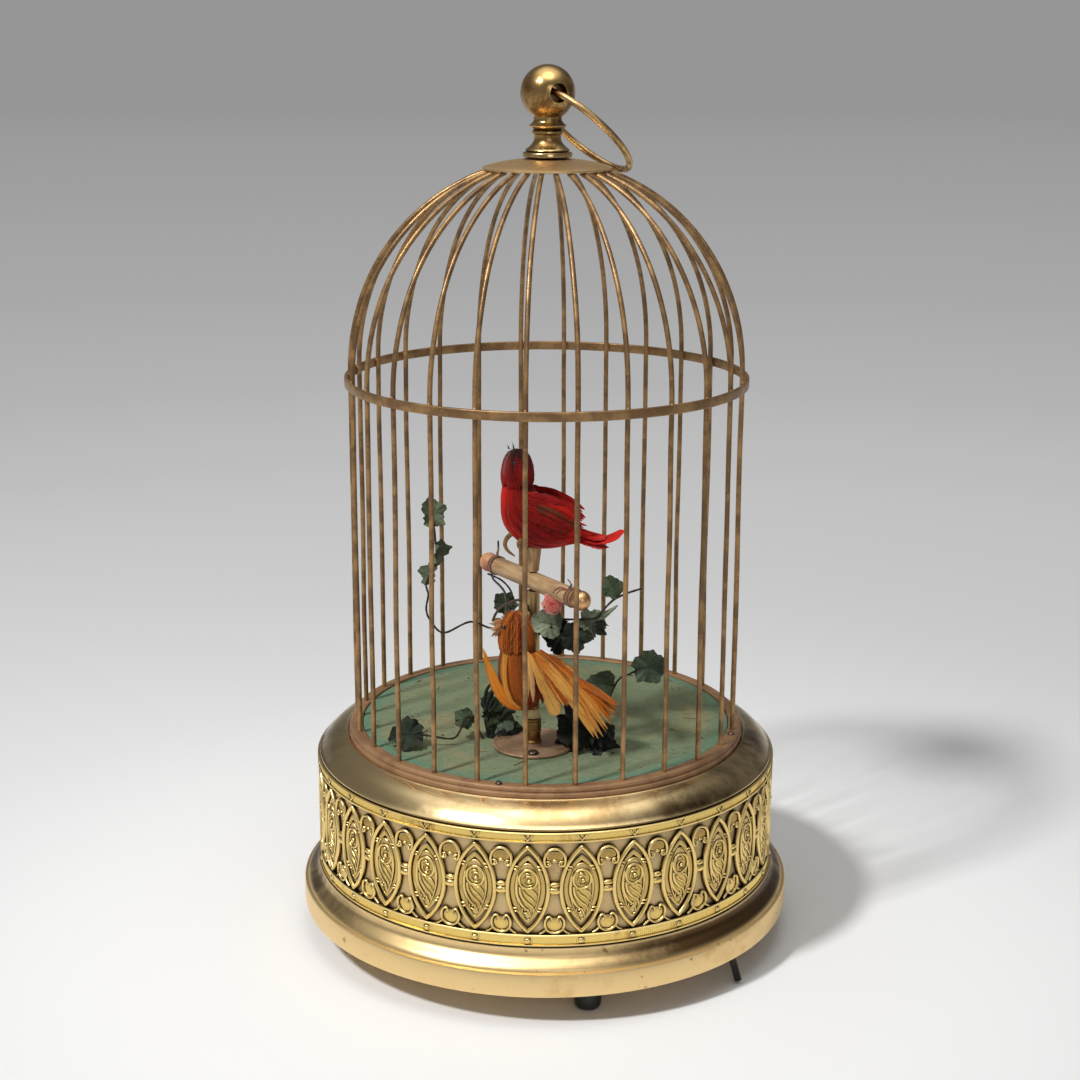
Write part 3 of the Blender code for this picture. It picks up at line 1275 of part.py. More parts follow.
# Train: barrel, crank arbor, fly and cam arbor, each wheel four times its pinion
def make_train():
    low = inside_low + 2 * GAP
    high = frame_high - GAP
    deck = great_low + WHEEL_THICKNESS
    crank = arbor("crank_arbor", crank_place, low, high)
    turn = meshed(PINION_TEETH, crank_place, barrel_place, WHEEL_TEETH)
    leaves = turn_outline(toothed(PINION_TEETH, great_pinion, 0.8), turn)
    join(crank, prism("crank_pinion", leaves, low, deck + 1.0 * MM, "steel", crank_place))
    wheel = toothed(WHEEL_TEETH, FLY_WHEEL_RADIUS)
    wheel_top = fly_wheel_low + WHEEL_THICKNESS
    join(crank, prism("fly_wheel_blank", wheel, fly_wheel_low, wheel_top, "movement brass", crank_place))
    spin = turn + radians(0)
    upper = turn_outline(toothed(PINION_TEETH, great_pinion, 0.8), spin)
    join(crank, prism("cam_pinion", upper, cam_wheel_low - 0.5 * MM, cam_low - 0.6 * MM, "steel", crank_place))

    fly = arbor("governor_fly", fly_place, low, high)
    turn = meshed(PINION_TEETH, fly_place, crank_place, WHEEL_TEETH)
    leaves = turn_outline(toothed(PINION_TEETH, fly_pinion, 0.8), turn)
    join(fly, prism("fly_pinion", leaves, fly_wheel_low - 0.6 * MM, wheel_top + 0.6 * MM, "steel", fly_place))
    vane = [(-7.0 * MM, -0.4 * MM), (7.0 * MM, -0.4 * MM), (7.0 * MM, 0.4 * MM), (-7.0 * MM, 0.4 * MM)]
    join(fly, prism("fly_vanes", vane, low + 1.5 * MM, fly_wheel_low - 2.2 * MM, "movement brass", fly_place))

    cams = arbor("cam_stack", cam_place, low, high)
    facing = atan2(crank_place.y - cam_place.y, crank_place.x - cam_place.x)
    pinion_share = ((facing + pi - spin) / (2 * pi / PINION_TEETH)) % 1.0
    turn = facing + (0.5 - pinion_share) * -1 * 2 * pi / WHEEL_TEETH
    wheel = turn_outline(toothed(WHEEL_TEETH, GREAT_RADIUS), turn)
    join(cams, prism("cam_wheel_blank", wheel, cam_wheel_low, cam_wheel_low + WHEEL_THICKNESS, "movement brass", cam_place))
    for number, lobes in enumerate(CAM_LOBES):
        bottom = cam_low + number * (CAM_THICKNESS + 0.8 * MM)
        outline = []
        for i in range(15):
            angle = 2 * pi * i / 15
            radius = CAM_RADIUS + CAM_LIFT * sin(lobes * angle + number)
            outline.append((radius * cos(angle), radius * sin(angle)))
        name = "cam_%d" % (number + 1)
        join(cams, prism(name, outline, bottom, bottom + CAM_THICKNESS, "movement brass", cam_place))


# Head linkage: a lever from the cams to the crank of the rod that runs up the post
def make_head_linkage():
    level = cam_low + CAM_THICKNESS + 0.8 * MM + 0.1 * MM
    thick = CAM_THICKNESS - 0.2 * MM
    lever = arbor("head_lever", lever_place, inside_low + 2 * GAP, frame_high - GAP)
    cam_way = cam_place - lever_place
    reach = cam_way.length - CAM_RADIUS - CAM_LIFT - 2 * GAP
    rod_way = Vector((POST_X, POST_Y, 0)) - lever_place
    for name, way, length in (("lever_cam_arm", cam_way, reach), ("lever_rod_arm", rod_way, rod_way.length - 4.6 * MM)):
        bar = [(0, -1.3 * MM), (length, -0.8 * MM), (length, 0.8 * MM), (0, 1.3 * MM)]
        outline = turn_outline(bar, atan2(way.y, way.x))
        join(lever, prism(name, outline, level, level + thick, "steel", lever_place))
    place = Vector((POST_X, POST_Y, 0))
    crank_low = level + thick + 2 * GAP
    shaft = rod(
        "turning_rod",
        [(0, 0, crank_low - 1.2 * MM), (0, 0, stem_top + 3.5 * MM)],
        TURNING_ROD_RADIUS,
        "steel",
        6,
        place,
    )
    bar = [(-0.9 * MM, -0.9 * MM), (4.4 * MM, -0.6 * MM), (4.4 * MM, 0.6 * MM), (-0.9 * MM, 0.9 * MM)]
    outline = turn_outline(bar, atan2(-rod_way.y, -rod_way.x))
    join(shaft, prism("rod_crank", outline, crank_low, crank_low + 1.2 * MM, "steel", place))


# Bellows and whistle: the wind chest stands beside the frame, the whistle lies in front of it
CHEST_CLEARANCE = 1.42 * MM  # of the chest's corners inside the flange
CHEST_FROM_FRAME = 6.0 * MM
CHEST_LENGTH = 50.0 * MM
CHEST_HEIGHT = 12.0 * MM
BELLOWS_OPEN = 2.5  # degrees, as it lies at rest
BELLOWS_BOARD = 1.6 * MM
WHISTLE_RADIUS = 4.0 * MM
WHISTLE_LENGTH = 32.0 * MM
WHISTLE_FROM_FRAME = 9.0 * MM
WHISTLE_X = -26.0 * MM
chest_reach = sqrt((flange_bore - CHEST_CLEARANCE) ** 2 - (CHEST_LENGTH / 2) ** 2)
chest_inner = FRAME_RADIUS - FRAME_X + CHEST_FROM_FRAME
chest_width = chest_reach - chest_inner
chest_x = -(chest_reach + chest_inner) / 2
whistle_y = FRAME_Y + FRAME_RADIUS + WHISTLE_FROM_FRAME + WHISTLE_RADIUS


def box_outline(x0, x1, y0, y1):
    return [(x0, y0), (x1, y0), (x1, y1), (x0, y1)]


def make_bellows():
    half_x, half_y = chest_width / 2, CHEST_LENGTH / 2
    low = plate_top + GAP
    high = low + CHEST_HEIGHT
    chest = box_outline(-half_x, half_x, -half_y, half_y)
    prism("wind_chest", chest, low, high, "board wood", (chest_x, 0, 0))
    hinge_z = high + 2 * GAP + 1.2 * MM
    rise = sin(radians(BELLOWS_OPEN)) * CHEST_LENGTH
    near_y, far_y = -half_y + 0.6 * MM, half_y - 0.6 * MM
    inset = half_x - 0.8 * MM
    base, top_near, top_far = high + GAP, hinge_z - GAP, hinge_z + rise - 2 * GAP
    corners = [
        (-inset, near_y, base),
        (inset, near_y, base),
        (inset, far_y, base),
        (-inset, far_y, base),
        (-inset, near_y, top_near),
        (inset, near_y, top_near),
        (inset, far_y, top_far),
        (-inset, far_y, top_far),
    ]
    sides = [(0, 1, 2, 3), (4, 5, 6, 7), (0, 1, 5, 4), (1, 2, 6, 5), (2, 3, 7, 6), (3, 0, 4, 7)]
    build("bellows_leather", corners, sides, "bellows leather", (chest_x, 0, 0))
    board = prism(
        "bellows_board",
        box_outline(-half_x, half_x, 0, CHEST_LENGTH),
        0,
        BELLOWS_BOARD,
        "board wood",
        (chest_x, -half_y, hinge_z),
    )
    board.rotation_euler = (radians(BELLOWS_OPEN), 0, 0)


def make_whistle():
    axis_z = plate_top + GAP + WHISTLE_RADIUS + 1.5 * MM
    bore = WHISTLE_RADIUS - 1.0 * MM
    profile = [
        (0, 0),
        (WHISTLE_RADIUS, 0),
        (WHISTLE_RADIUS, WHISTLE_LENGTH),
        (bore, WHISTLE_LENGTH),
        (bore, 3.0 * MM),
        (0, 3.0 * MM),
    ]
    tube = turned("whistle_tube", profile, "movement brass", 12, (WHISTLE_X, whistle_y, axis_z))
    tube.rotation_euler = (0, pi / 2, 0)
    saddle = prism(
        "whistle_saddle",
        box_outline(6 * MM, 22 * MM, -2.2 * MM, 2.2 * MM),
        plate_top + GAP - axis_z,
        -WHISTLE_RADIUS + 0.6 * MM,
        "movement brass",
        (WHISTLE_X, whistle_y, axis_z),
    )
    join(tube, saddle)
    head = bore - GAP
    piston = [
        (0, 14 * MM),
        (head, 14 * MM),
        (head, 18 * MM),
        (1.0 * MM, 18 * MM),
        (1.0 * MM, WHISTLE_LENGTH + 8 * MM),
        (0, WHISTLE_LENGTH + 8 * MM),
    ]
    plunger = turned("whistle_piston", piston, "steel", 10, (WHISTLE_X, whistle_y, axis_z))
    plunger.rotation_euler = (0, pi / 2, 0)


# Start and stop lever: a flat arm under the bottom plate with a pin that leans out under the flange
def make_start_lever():
    pivot = on_circle(lever_circle, LEVER_ANGLE)
    out = on_circle(1.0, LEVER_ANGLE)
    length = lever_tip_circle - lever_circle
    high = plate_low - GAP
    low = high - LEVER_THICKNESS
    bar = [
        (-2.6 * MM, -1.6 * MM),
        (0, -2.8 * MM),
        (length, -1.5 * MM),
        (length + 1.0 * MM, 0),
        (length, 1.5 * MM),
        (0, 2.8 * MM),
        (-2.6 * MM, 1.6 * MM),
    ]
    outline = turn_outline(bar, atan2(out.y, out.x))
    lever = prism("start_stop_lever", outline, low, high, "blackened steel", pivot)
    stud = [
        (0, high - 0.5 * MM),
        (ARBOR_RADIUS, high - 0.5 * MM),
        (ARBOR_RADIUS, plate_top + 0.8 * MM),
        (0, plate_top + 0.8 * MM),
    ]
    join(lever, turned("lever_stud", stud, "blackened steel", 8, pivot))
    foot = out * (length + LEVER_PIN_LEAN) + Vector((0, 0, FLOOR_CLEARANCE))
    knee = out * (length - 1.0 * MM) + Vector((0, 0, low + 0.6 * MM))
    join(lever, rod("lever_pin", [knee, foot], LEVER_PIN_RADIUS, "blackened steel", 8, pivot))


make_flange()
make_bottom_plate()
make_feet()
make_drum()
make_gallery()
make_moulding()
make_cage_ring()
make_ring_screws()
make_cage_wires()
make_crown()
make_finial()
make_handle_ring()
make_floor()
make_stand()
make_perch()
make_red_bird()
make_orange_bird()
make_foliage()
make_frame()
make_barrel()
make_winding()
make_train()
make_head_linkage()
make_bellows()
make_whistle()
make_start_lever()
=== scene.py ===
"""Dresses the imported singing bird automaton: spun brass base with a pierced gallery, domed wire cage, felt floor,
two feathered birds on a stand, and cloth foliage."""
from math import acos, asin, cos, hypot, pi, radians, sin, sqrt
from random import Random

import bmesh
import bpy
from mathutils import Matrix, Vector, noise


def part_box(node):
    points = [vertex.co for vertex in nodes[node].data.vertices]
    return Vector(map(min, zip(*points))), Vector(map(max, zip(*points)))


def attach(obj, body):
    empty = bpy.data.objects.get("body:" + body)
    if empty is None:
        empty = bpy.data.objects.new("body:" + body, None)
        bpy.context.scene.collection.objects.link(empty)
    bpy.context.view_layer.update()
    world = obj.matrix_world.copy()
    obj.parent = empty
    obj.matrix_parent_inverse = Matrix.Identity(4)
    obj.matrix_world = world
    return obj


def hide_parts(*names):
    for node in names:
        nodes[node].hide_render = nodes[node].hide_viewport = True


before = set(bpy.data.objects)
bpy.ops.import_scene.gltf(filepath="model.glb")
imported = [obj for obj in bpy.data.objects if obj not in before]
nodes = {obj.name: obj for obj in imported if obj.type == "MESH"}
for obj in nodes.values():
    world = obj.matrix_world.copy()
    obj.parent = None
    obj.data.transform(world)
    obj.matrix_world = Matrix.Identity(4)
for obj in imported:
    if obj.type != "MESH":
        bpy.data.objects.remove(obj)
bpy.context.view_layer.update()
MM = 0.001

# Camera: a long lens held a little above the cage, looking down at its front.
# The place, the tilt and the slight roll were fitted to the wires, the hoop and the rims in the photograph.
VIEW_PLACE = Vector((-1.99, -615.4, 296.5)) * MM
VIEW_DOWN = radians(14.987)
VIEW_ROLL = radians(0.1685)
camera = bpy.data.objects.new("camera", bpy.data.cameras.new("camera"))
bpy.context.scene.collection.objects.link(camera)
camera.data.sensor_width = 36.0
camera.data.lens = 65.15
camera.data.clip_start = 0.02
camera.data.clip_end = 300.0
camera.matrix_world = (
    Matrix.Translation(VIEW_PLACE)
    @ Matrix.Rotation(pi / 2 - VIEW_DOWN, 4, "X")
    @ Matrix.Rotation(VIEW_ROLL, 4, "Z")
)
bpy.context.scene.camera = camera
bpy.context.scene.view_settings.view_transform = "Standard"


# Stage: a wide pale floor that greys with distance under a dim sky. A small soft lamp at the front left lays the
# cage's shadow towards the back right, a broad one overhead and a broad one in front fill it.
def node(tree, kind, inputs=None, **settings):
    """Adds a shader or geometry node. An input is keyed by name or number and is a value or another node's socket."""
    made = tree.nodes.new(kind)
    for key, value in settings.items():
        setattr(made, key, value)
    for key, value in (inputs or {}).items():
        if isinstance(value, bpy.types.NodeSocket):
            tree.links.new(value, made.inputs[key])
        else:
            made.inputs[key].default_value = value
    return made


def sums(tree, operation, first, second=0.0):
    """One step of arithmetic on sockets or numbers."""
    return node(tree, "ShaderNodeMath", {0: first, 1: second}, operation=operation).outputs[0]


def times(tree, first, second):
    return sums(tree, "MULTIPLY", first, second)


def plus(tree, first, second):
    return sums(tree, "ADD", first, second)


def spread(tree, value, low, high, to_low=0.0, to_high=1.0, smooth=True):
    """Maps a range of a value onto another, held at its ends."""
    kind = "SMOOTHSTEP" if smooth else "LINEAR"
    inputs = {0: value, 1: low, 2: high, 3: to_low, 4: to_high}
    return node(tree, "ShaderNodeMapRange", inputs, interpolation_type=kind).outputs[0]


def new_material(name):
    """An empty material, its tree, and each point's place on the object."""
    made = bpy.data.materials.new(name)
    made.use_nodes = True
    made.node_tree.nodes.clear()
    return made, made.node_tree, node(made.node_tree, "ShaderNodeTexCoord").outputs["Object"]


def grey_ramp(tree, value, tones):
    """Greys along a value from 0 to 1, from pairs of a position and a grey."""
    ramp = node(tree, "ShaderNodeValToRGB", {0: value})
    stops = ramp.color_ramp.elements
    for i, (position, grey) in enumerate(tones):
        stop = stops[i] if i < 2 else stops.new(position)
        stop.position = position
        stop.color = (grey, grey, grey, 1.0)
    return ramp.outputs[0]


def turns(count):
    """Angles that divide a full turn evenly."""
    return [2 * pi * i / count for i in range(count)]


FLOOR_REACH = 120.0
# Tones of the floor: distance from the cage in metres, and grey level.
FLOOR_TONES = ((0.0, 0.955), (0.15, 0.955), (0.24, 0.84), (0.36, 0.76), (0.46, 0.70), (0.57, 0.625), (0.72, 0.52),
               (1.0, 0.452), (1.6, 0.392), (2.8, 0.352), (6.0, 0.305))
floor_mesh = bpy.data.meshes.new("studio_floor")
floor_mesh.from_pydata([(FLOOR_REACH * cos(a), FLOOR_REACH * sin(a), 0) for a in turns(64)], [], [tuple(range(64))])
floor = bpy.data.objects.new("studio_floor", floor_mesh)
bpy.context.scene.collection.objects.link(floor)
paint, tree, place = new_material("studio_paper")
away = node(tree, "ShaderNodeVectorMath", {0: place}, operation="LENGTH").outputs["Value"]
farthest = FLOOR_TONES[-1][0]
tone = grey_ramp(tree, sums(tree, "DIVIDE", away, farthest), [(reach / farthest, grey) for reach, grey in FLOOR_TONES])
paper = node(tree, "ShaderNodeBsdfDiffuse", {"Color": tone}).outputs[0]
glow = node(tree, "ShaderNodeEmission", {"Color": tone, "Strength": 1.0}).outputs[0]
rays = node(tree, "ShaderNodeLightPath").outputs
seen = sums(tree, "MAXIMUM", rays["Is Camera Ray"], rays["Is Glossy Ray"])
seen = sums(tree, "MAXIMUM", seen, rays["Is Transmission Ray"])
far = times(tree, spread(tree, away, 0.28, 0.8), seen)
shader = node(tree, "ShaderNodeMixShader", {0: far, 1: paper, 2: glow}).outputs[0]
node(tree, "ShaderNodeOutputMaterial", {0: shader})
floor_mesh.materials.append(paint)

world = bpy.data.worlds.new("studio_sky")
bpy.context.scene.world = world
world.use_nodes = True
tree = world.node_tree
tree.nodes.clear()
way = node(tree, "ShaderNodeTexCoord").outputs["Generated"]
height = node(tree, "ShaderNodeSeparateXYZ", {0: way}).outputs[2]
sky = grey_ramp(tree, height, ((0.0, 0.305), (1.0, 0.42), (0.02, 0.305), (0.18, 0.15), (0.6, 0.17), (0.85, 0.36)))
glossy = node(tree, "ShaderNodeLightPath").outputs["Is Glossy Ray"]
ceiling = times(tree, spread(tree, height, 0.70, 0.97), glossy)
strength = plus(tree, 1.0, times(tree, ceiling, 2.6))
node(tree, "ShaderNodeOutputWorld", {0: node(tree, "ShaderNodeBackground", {0: sky, 1: strength}).outputs[0]})

# Each lamp: place and aim in metres, width and power.
for name, place, aim, size, power in (
        ("lamp_left", (-1.21, -1.08, 2.03), (0.0, 0.0, 0.0), 0.28, 44.0),
        ("lamp_overhead", (0.03, -0.22, 1.10), (0.0, 0.0, 0.1), 0.60, 1.7),
        ("lamp_front", (0.35, -1.5, 0.75), (0.0, 0.0, 0.15), 0.70, 2.0)):
    lamp = bpy.data.lights.new(name, "AREA")
    lamp.shape = "DISK"
    lamp.size = size
    lamp.energy = power
    held_lamp = bpy.data.objects.new(name, lamp)
    held_lamp.location = place
    held_lamp.rotation_euler = (Vector(aim) - Vector(place)).to_track_quat("-Z", "Y").to_euler()
    bpy.context.scene.collection.objects.link(held_lamp)


# Bottom flange: a ring spun from sheet brass, upright at its edge and sloping up to the drum. The lacquer on the
# slope has browned in patches, and the slope is painted darker towards the sides as shade, more at the right; the edge
# is dull gold with a few spots. It stands on the bottom plate's rim.
HONEY = (0.84, 0.63, 0.31)
BROWNED = (0.22, 0.12, 0.045)
FLANGE_LOW, FLANGE_RADIUS = 10.4, 81.2


def blend(tree, share, first, second):
    """Mixes two colours, each a socket or a fixed colour."""
    mixed = node(tree, "ShaderNodeMix", {0: share}, data_type="RGBA")
    for index, value in ((6, first), (7, second)):
        if isinstance(value, bpy.types.NodeSocket):
            tree.links.new(value, mixed.inputs[index])
        else:
            mixed.inputs[index].default_value = (*value, 1.0)
    return mixed.outputs[2]


def speckle(tree, where, scale, detail=4.0, rough=0.55, twist=0.0):
    """Noise read at a place, from 0 to 1."""
    inputs = {"Vector": where, "Scale": scale, "Detail": detail, "Roughness": rough, "Distortion": twist}
    return node(tree, "ShaderNodeTexNoise", inputs).outputs[0]


def from_axis(tree, place):
    """A place's three coordinates and its distance from the upright axis."""
    axis = node(tree, "ShaderNodeSeparateXYZ", {0: place}).outputs
    squares = [sums(tree, "POWER", axis[i], 2.0) for i in (0, 1)]
    return axis, sums(tree, "SQRT", plus(tree, *squares))


def close_material(tree, colour, rough, bump, **sockets):
    """Ends a material. bump is (strength, distance, height); sockets are the shader's own, with _ for a space."""
    normal = node(tree, "ShaderNodeBump", dict(zip(("Strength", "Distance", "Height"), bump))).outputs[0]
    inputs = {"Base Color": colour, "Roughness": rough, "Normal": normal}
    inputs.update((key.replace("_", " "), value) for key, value in sockets.items())
    shader = node(tree, "ShaderNodeBsdfPrincipled", inputs).outputs[0]
    node(tree, "ShaderNodeOutputMaterial", {0: shader})


def brass(name, bright, dark, patch, cover, edge, gloss, dull, turned=0.0, spots=0.0, relief=None, shade=None,
          corner_shade=0.0):
    """Lacquered brass: bright metal, brown patches, rubbed edges, dark spots and fine turning marks.

    patch is the patches' scale, cover the noise level above which the metal is brown, edge that step's width.
    relief is (low, high), the radii between which a pressed pattern goes from dark ground to bright crest; the dark
    ground is painted shade at the foot of the raised work.
    shade is (low, high, near, far, colour): above the heights low to high, and from near the middle to far out at the
    sides, the right one more, the metal goes brown in mottled patches, tarnish together with painted shade.
    corner_shade is the share of painted shade that darkens corners where other surfaces lie within 2.2 mm.
    """
    made, tree, place = new_material(name)
    broad = speckle(tree, place, patch, 6.0, 0.62, 0.4)
    fine = speckle(tree, place, patch * 14, 3.0)
    worn = plus(tree, broad, times(tree, sums(tree, "SUBTRACT", fine, 0.5), 0.16))
    browned = spread(tree, worn, cover - edge, cover + edge)
    axis, radius = from_axis(tree, place)
    colour = blend(tree, browned, bright, dark)
    warm = speckle(tree, place, patch * 0.35, 2.0)
    colour = blend(tree, times(tree, warm, 0.30), colour, (bright[0], bright[1] * 0.80, bright[2] * 0.62))
    if shade:
        low, high, near, far, tint = shade
        # Tarnish and painted shade: mottled brown that grows towards the sides, shifted so that the right side, away
        # from the lamp at the left, is darker.
        aside = spread(tree, sums(tree, "ABSOLUTE", plus(tree, axis[0], 0.022)), near, far)
        tarnish_and_side_shade = spread(tree, plus(tree, worn, times(tree, aside, 0.3)), 0.60, 0.86, 0.2, 1.0)
        tarnish_and_side_shade = times(tree, times(tree, aside, tarnish_and_side_shade), spread(tree, axis[2], low, high))
        colour = blend(tree, tarnish_and_side_shade, colour, tint)
    if relief:
        # Painted shade: the pressed pattern is dark at its foot and bright at its crest.
        ground = spread(tree, radius, relief[0], relief[1], 1.0, 0.0)
        colour = blend(tree, ground, colour, dark)
    if spots:
        mottle = spread(tree, speckle(tree, place, 260.0, 3.0, 0.6), 0.66, 0.74)
        colour = blend(tree, times(tree, mottle, spots), colour, (0.16, 0.07, 0.03))
    rubbed = spread(tree, node(tree, "ShaderNodeNewGeometry").outputs["Pointiness"], 0.51, 0.58)
    colour = blend(tree, times(tree, rubbed, 0.5), colour, (0.92, 0.72, 0.38))
    if corner_shade:
        # Painted shade: corners where other surfaces lie within 2.2 mm are darkened.
        open_share = node(tree, "ShaderNodeAmbientOcclusion", {"Distance": 0.0022}, samples=6).outputs["AO"]
        corner = spread(tree, open_share, 0.78, 0.36)
        colour = blend(tree, times(tree, corner, corner_shade), colour, (0.035, 0.018, 0.006))
    rough = plus(tree, spread(tree, browned, 0.0, 1.0, gloss, dull, False), times(tree, fine, 0.10))
    marks = times(tree, fine, 0.6)
    if turned:
        ring = times(tree, plus(tree, radius, times(tree, axis[2], 0.7)), 4200.0)
        line = node(tree, "ShaderNodeCombineXYZ", {0: ring, 1: browned}).outputs[0]
        marks = plus(tree, marks, times(tree, speckle(tree, line, 1.0, 2.0), turned))
    close_material(tree, colour, rough, (0.12, 0.0002, marks), Metallic=1.0)
    return made


def mended(piece, nearest=0.0):
    """Joins a piece's points that lie closer than a distance in metres, and turns its faces outward."""
    work = bmesh.new()
    work.from_mesh(piece.data)
    if nearest:
        bmesh.ops.remove_doubles(work, verts=work.verts, dist=nearest)
    bmesh.ops.recalc_face_normals(work, faces=work.faces)
    work.to_mesh(piece.data)
    work.free()
    return piece


def shaded(mesh, smooth):
    """Shades a mesh smoothly, apart from edges sharper than an angle in degrees."""
    mesh.shade_smooth()
    mesh.set_sharp_from_angle(angle=radians(smooth))


def new_piece(name, vertices, faces, material):
    mesh = bpy.data.meshes.new(name)
    mesh.from_pydata([tuple(v) for v in vertices], [], faces)
    mesh.materials.append(material)
    piece = bpy.data.objects.new(name, mesh)
    bpy.context.scene.collection.objects.link(piece)
    return piece


def shape(name, vertices, faces, material, smooth=55.0, merge=True):
    """Makes a closed piece from points in metres, with its faces outward and crisp edges kept."""
    piece = mended(new_piece(name, vertices, faces, material), 2e-6 if merge else 0.0)
    shaded(piece.data, smooth)
    return piece


def bands(rows, around, first=0, closed=False):
    """Faces over rings of points that follow each other. Where the rings don't close, both ends are capped."""
    faces = []
    for i in range(rows if closed else rows - 1):
        a, b = first + i * around, first + (i + 1) % rows * around
        for s in range(around):
            t = (s + 1) % around
            faces.append((a + s, a + t, b + t, b + s))
    if not closed:
        faces.append(tuple(first + s for s in reversed(range(around))))
        faces.append(tuple(first + (rows - 1) * around + s for s in range(around)))
    return faces


def lathe(name, profile, material, around=240, at=(0.0, 0.0), smooth=40.0):
    """Turns a closed profile of (radius, height) in millimetres about an upright axis at a place in millimetres."""
    vertices = [Vector((at[0] + radius * cos(angle), at[1] + radius * sin(angle), height)) * MM
                for angle in turns(around) for radius, height in profile]
    return shape(name, vertices, bands(around, len(profile), closed=True), material, smooth)


def fit(piece, body, slot, *stands_for):
    """Fixes a piece to its body and hides the plain solids that it stands for. Its finish's name, slot, is not used."""
    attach(piece, body)
    if stands_for:
        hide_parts(*stands_for)


flange_profile = [
    (81.15, FLANGE_LOW), (FLANGE_RADIUS, 10.8), (FLANGE_RADIUS, 17.3), (81.0, 17.75), (80.5, 17.95), (80.05, 18.0),
    (79.9, 18.5), (79.3, 19.3), (78.4, 20.1), (77.5, 20.8), (76.9, 21.4), (76.5, 22.2), (76.35, 23.2), (76.3, 24.2),
    (72.0, 24.2), (72.0, 22.9), (74.9, 22.9), (74.9, 20.6), (79.8, 17.0), (79.9, FLANGE_LOW),
]
# On the slope the brown patches grow towards the sides, tarnish together with painted shade, more at the right.
flange_brass = brass("flange_brass", HONEY, (0.55, 0.34, 0.14), 24.0, 0.66, 0.12, 0.35, 0.44, 0.5, 0.75,
                     shade=(0.0180, 0.0195, 0.004, 0.064, (0.12, 0.066, 0.027)))
flange = lathe("flange_spun", flange_profile, flange_brass, 288, smooth=35.0)
fit(flange, "base", "gilt_brass", "bottom_flange")

# Bottom plate: a flat disc of sheet brass that closes the base, with a hole for the winding arbor.
# It is dull and tarnished, because it faces the table.
tarnished = brass("plate_brass", (0.55, 0.37, 0.15), BROWNED, 30.0, 0.50, 0.12, 0.34, 0.52, 0.4, 0.4)
nodes["bottom_plate"].data.materials[0] = tarnished

# Feet: three short turned stubs of wood, stained black and waxed. They are screwed up against the bottom plate.
# Each is a little narrower where it stands.
def coated(name, colour, worn, scale, rough, metallic=0.0, bump=0.15, grain=None, sheen=0.0, shift=0.5):
    """A painted, waxed or bare surface: two colours mixed by noise, with a rougher worn tone and a fine bump.

    grain is a stretch along x, y and z, for wood and thread.
    """
    made, tree, place = new_material(name)
    if grain:
        place = node(tree, "ShaderNodeMapping", {"Vector": place, "Scale": grain}).outputs[0]
    broad = speckle(tree, place, scale, 5.0, 0.6, 0.3)
    fine = speckle(tree, place, scale * 9, 3.0)
    share = spread(tree, plus(tree, broad, times(tree, fine, 0.2)), shift, shift + 0.25)
    roughness = plus(tree, rough, times(tree, sums(tree, "SUBTRACT", fine, 0.5), 0.2))
    height = plus(tree, fine, times(tree, broad, 0.5))
    close_material(tree, blend(tree, share, colour, worn), roughness, (bump, 0.0004, height), Metallic=metallic,
                   Sheen_Weight=sheen)
    return made


def eased(profile, radius, steps=3):
    """Rounds the corners of a closed profile by short curves, no longer than its straight runs allow."""
    rounded = []
    for i, corner in enumerate(profile):
        before, after = Vector(profile[i - 1]), Vector(profile[(i + 1) % len(profile)])
        here = Vector(corner)
        if here.x <= 0:
            rounded.append(tuple(here))
            continue
        into, out = before - here, after - here
        first = here + into.normalized() * min(radius, into.length * 0.45)
        last = here + out.normalized() * min(radius, out.length * 0.45)
        for step in range(steps + 1):
            t = step / steps
            rounded.append(tuple(first * (1 - t) ** 2 + here * 2 * t * (1 - t) + last * t * t))
    return rounded


def extent(name):
    """The middle of a CAD node across, and its lowest and highest point, in millimetres."""
    low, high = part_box(name)
    return ((low.x + high.x) / 2 / MM, (low.y + high.y) / 2 / MM), low.z / MM, high.z / MM


black_wood = coated("foot_black", (0.006, 0.006, 0.006), (0.03, 0.026, 0.022), 180.0, 0.34)
foot_profile = eased([(0, 0), (3.2, 0), (4.1, 0.9), (4.35, 3.0), (4.35, 12.1), (0, 12.1)], 0.5)
for name in ("foot_1", "foot_2", "foot_3"):
    foot = lathe(name + "_turned", foot_profile, black_wood, 40, extent(name)[0])
    fit(foot, "base", "ebonised_wood", name)

# Drum wall: a plain sheet of brass bent round behind the gallery and seamed, dull tan and a little stained.
# It is painted darker towards the sides, more at the right, and in its corners, as shade.
wall_brass = brass("drum_tan", (0.40, 0.270, 0.130), (0.24, 0.145, 0.060), 45.0, 0.56, 0.14, 0.42, 0.58, corner_shade=0.95,
                   shade=(0.0230, 0.0240, 0.026, 0.070, (0.030, 0.015, 0.006)))
wall = lathe("drum_sheet", [(73.4, 24.5), (74.35, 24.5), (74.35, 61.5), (73.4, 61.5)], wall_brass, 232)
fit(wall, "base", "tarnished_brass", "drum_wall")

# Gallery: a strip of pressed and pierced gilt brass bent round the drum, 29 pointed ovals between two rails.
# Each oval frames a medallion with a curled leaf, and lunettes, links and hearts fill the spaces between them.
GALLERY_INNER = 74.7
PANELS = 29
PANEL_ANGLE = -4.1
PANEL_MIDDLE = 43.0
OVAL_HALF_WIDTH, OVAL_HALF_HEIGHT = 6.85, 14.25
STRIP_RADIUS = 75.5
PANEL_WIDTH = 2 * pi * STRIP_RADIUS / PANELS
# The ground of the pressed work and its corners are painted dark as shade.
gallery_gilt = brass("gallery_gilt", (0.86, 0.645, 0.20), (0.26, 0.145, 0.040), 70.0, 0.66, 0.10, 0.26, 0.42,
                     relief=(0.07480, 0.07535), corner_shade=0.98)


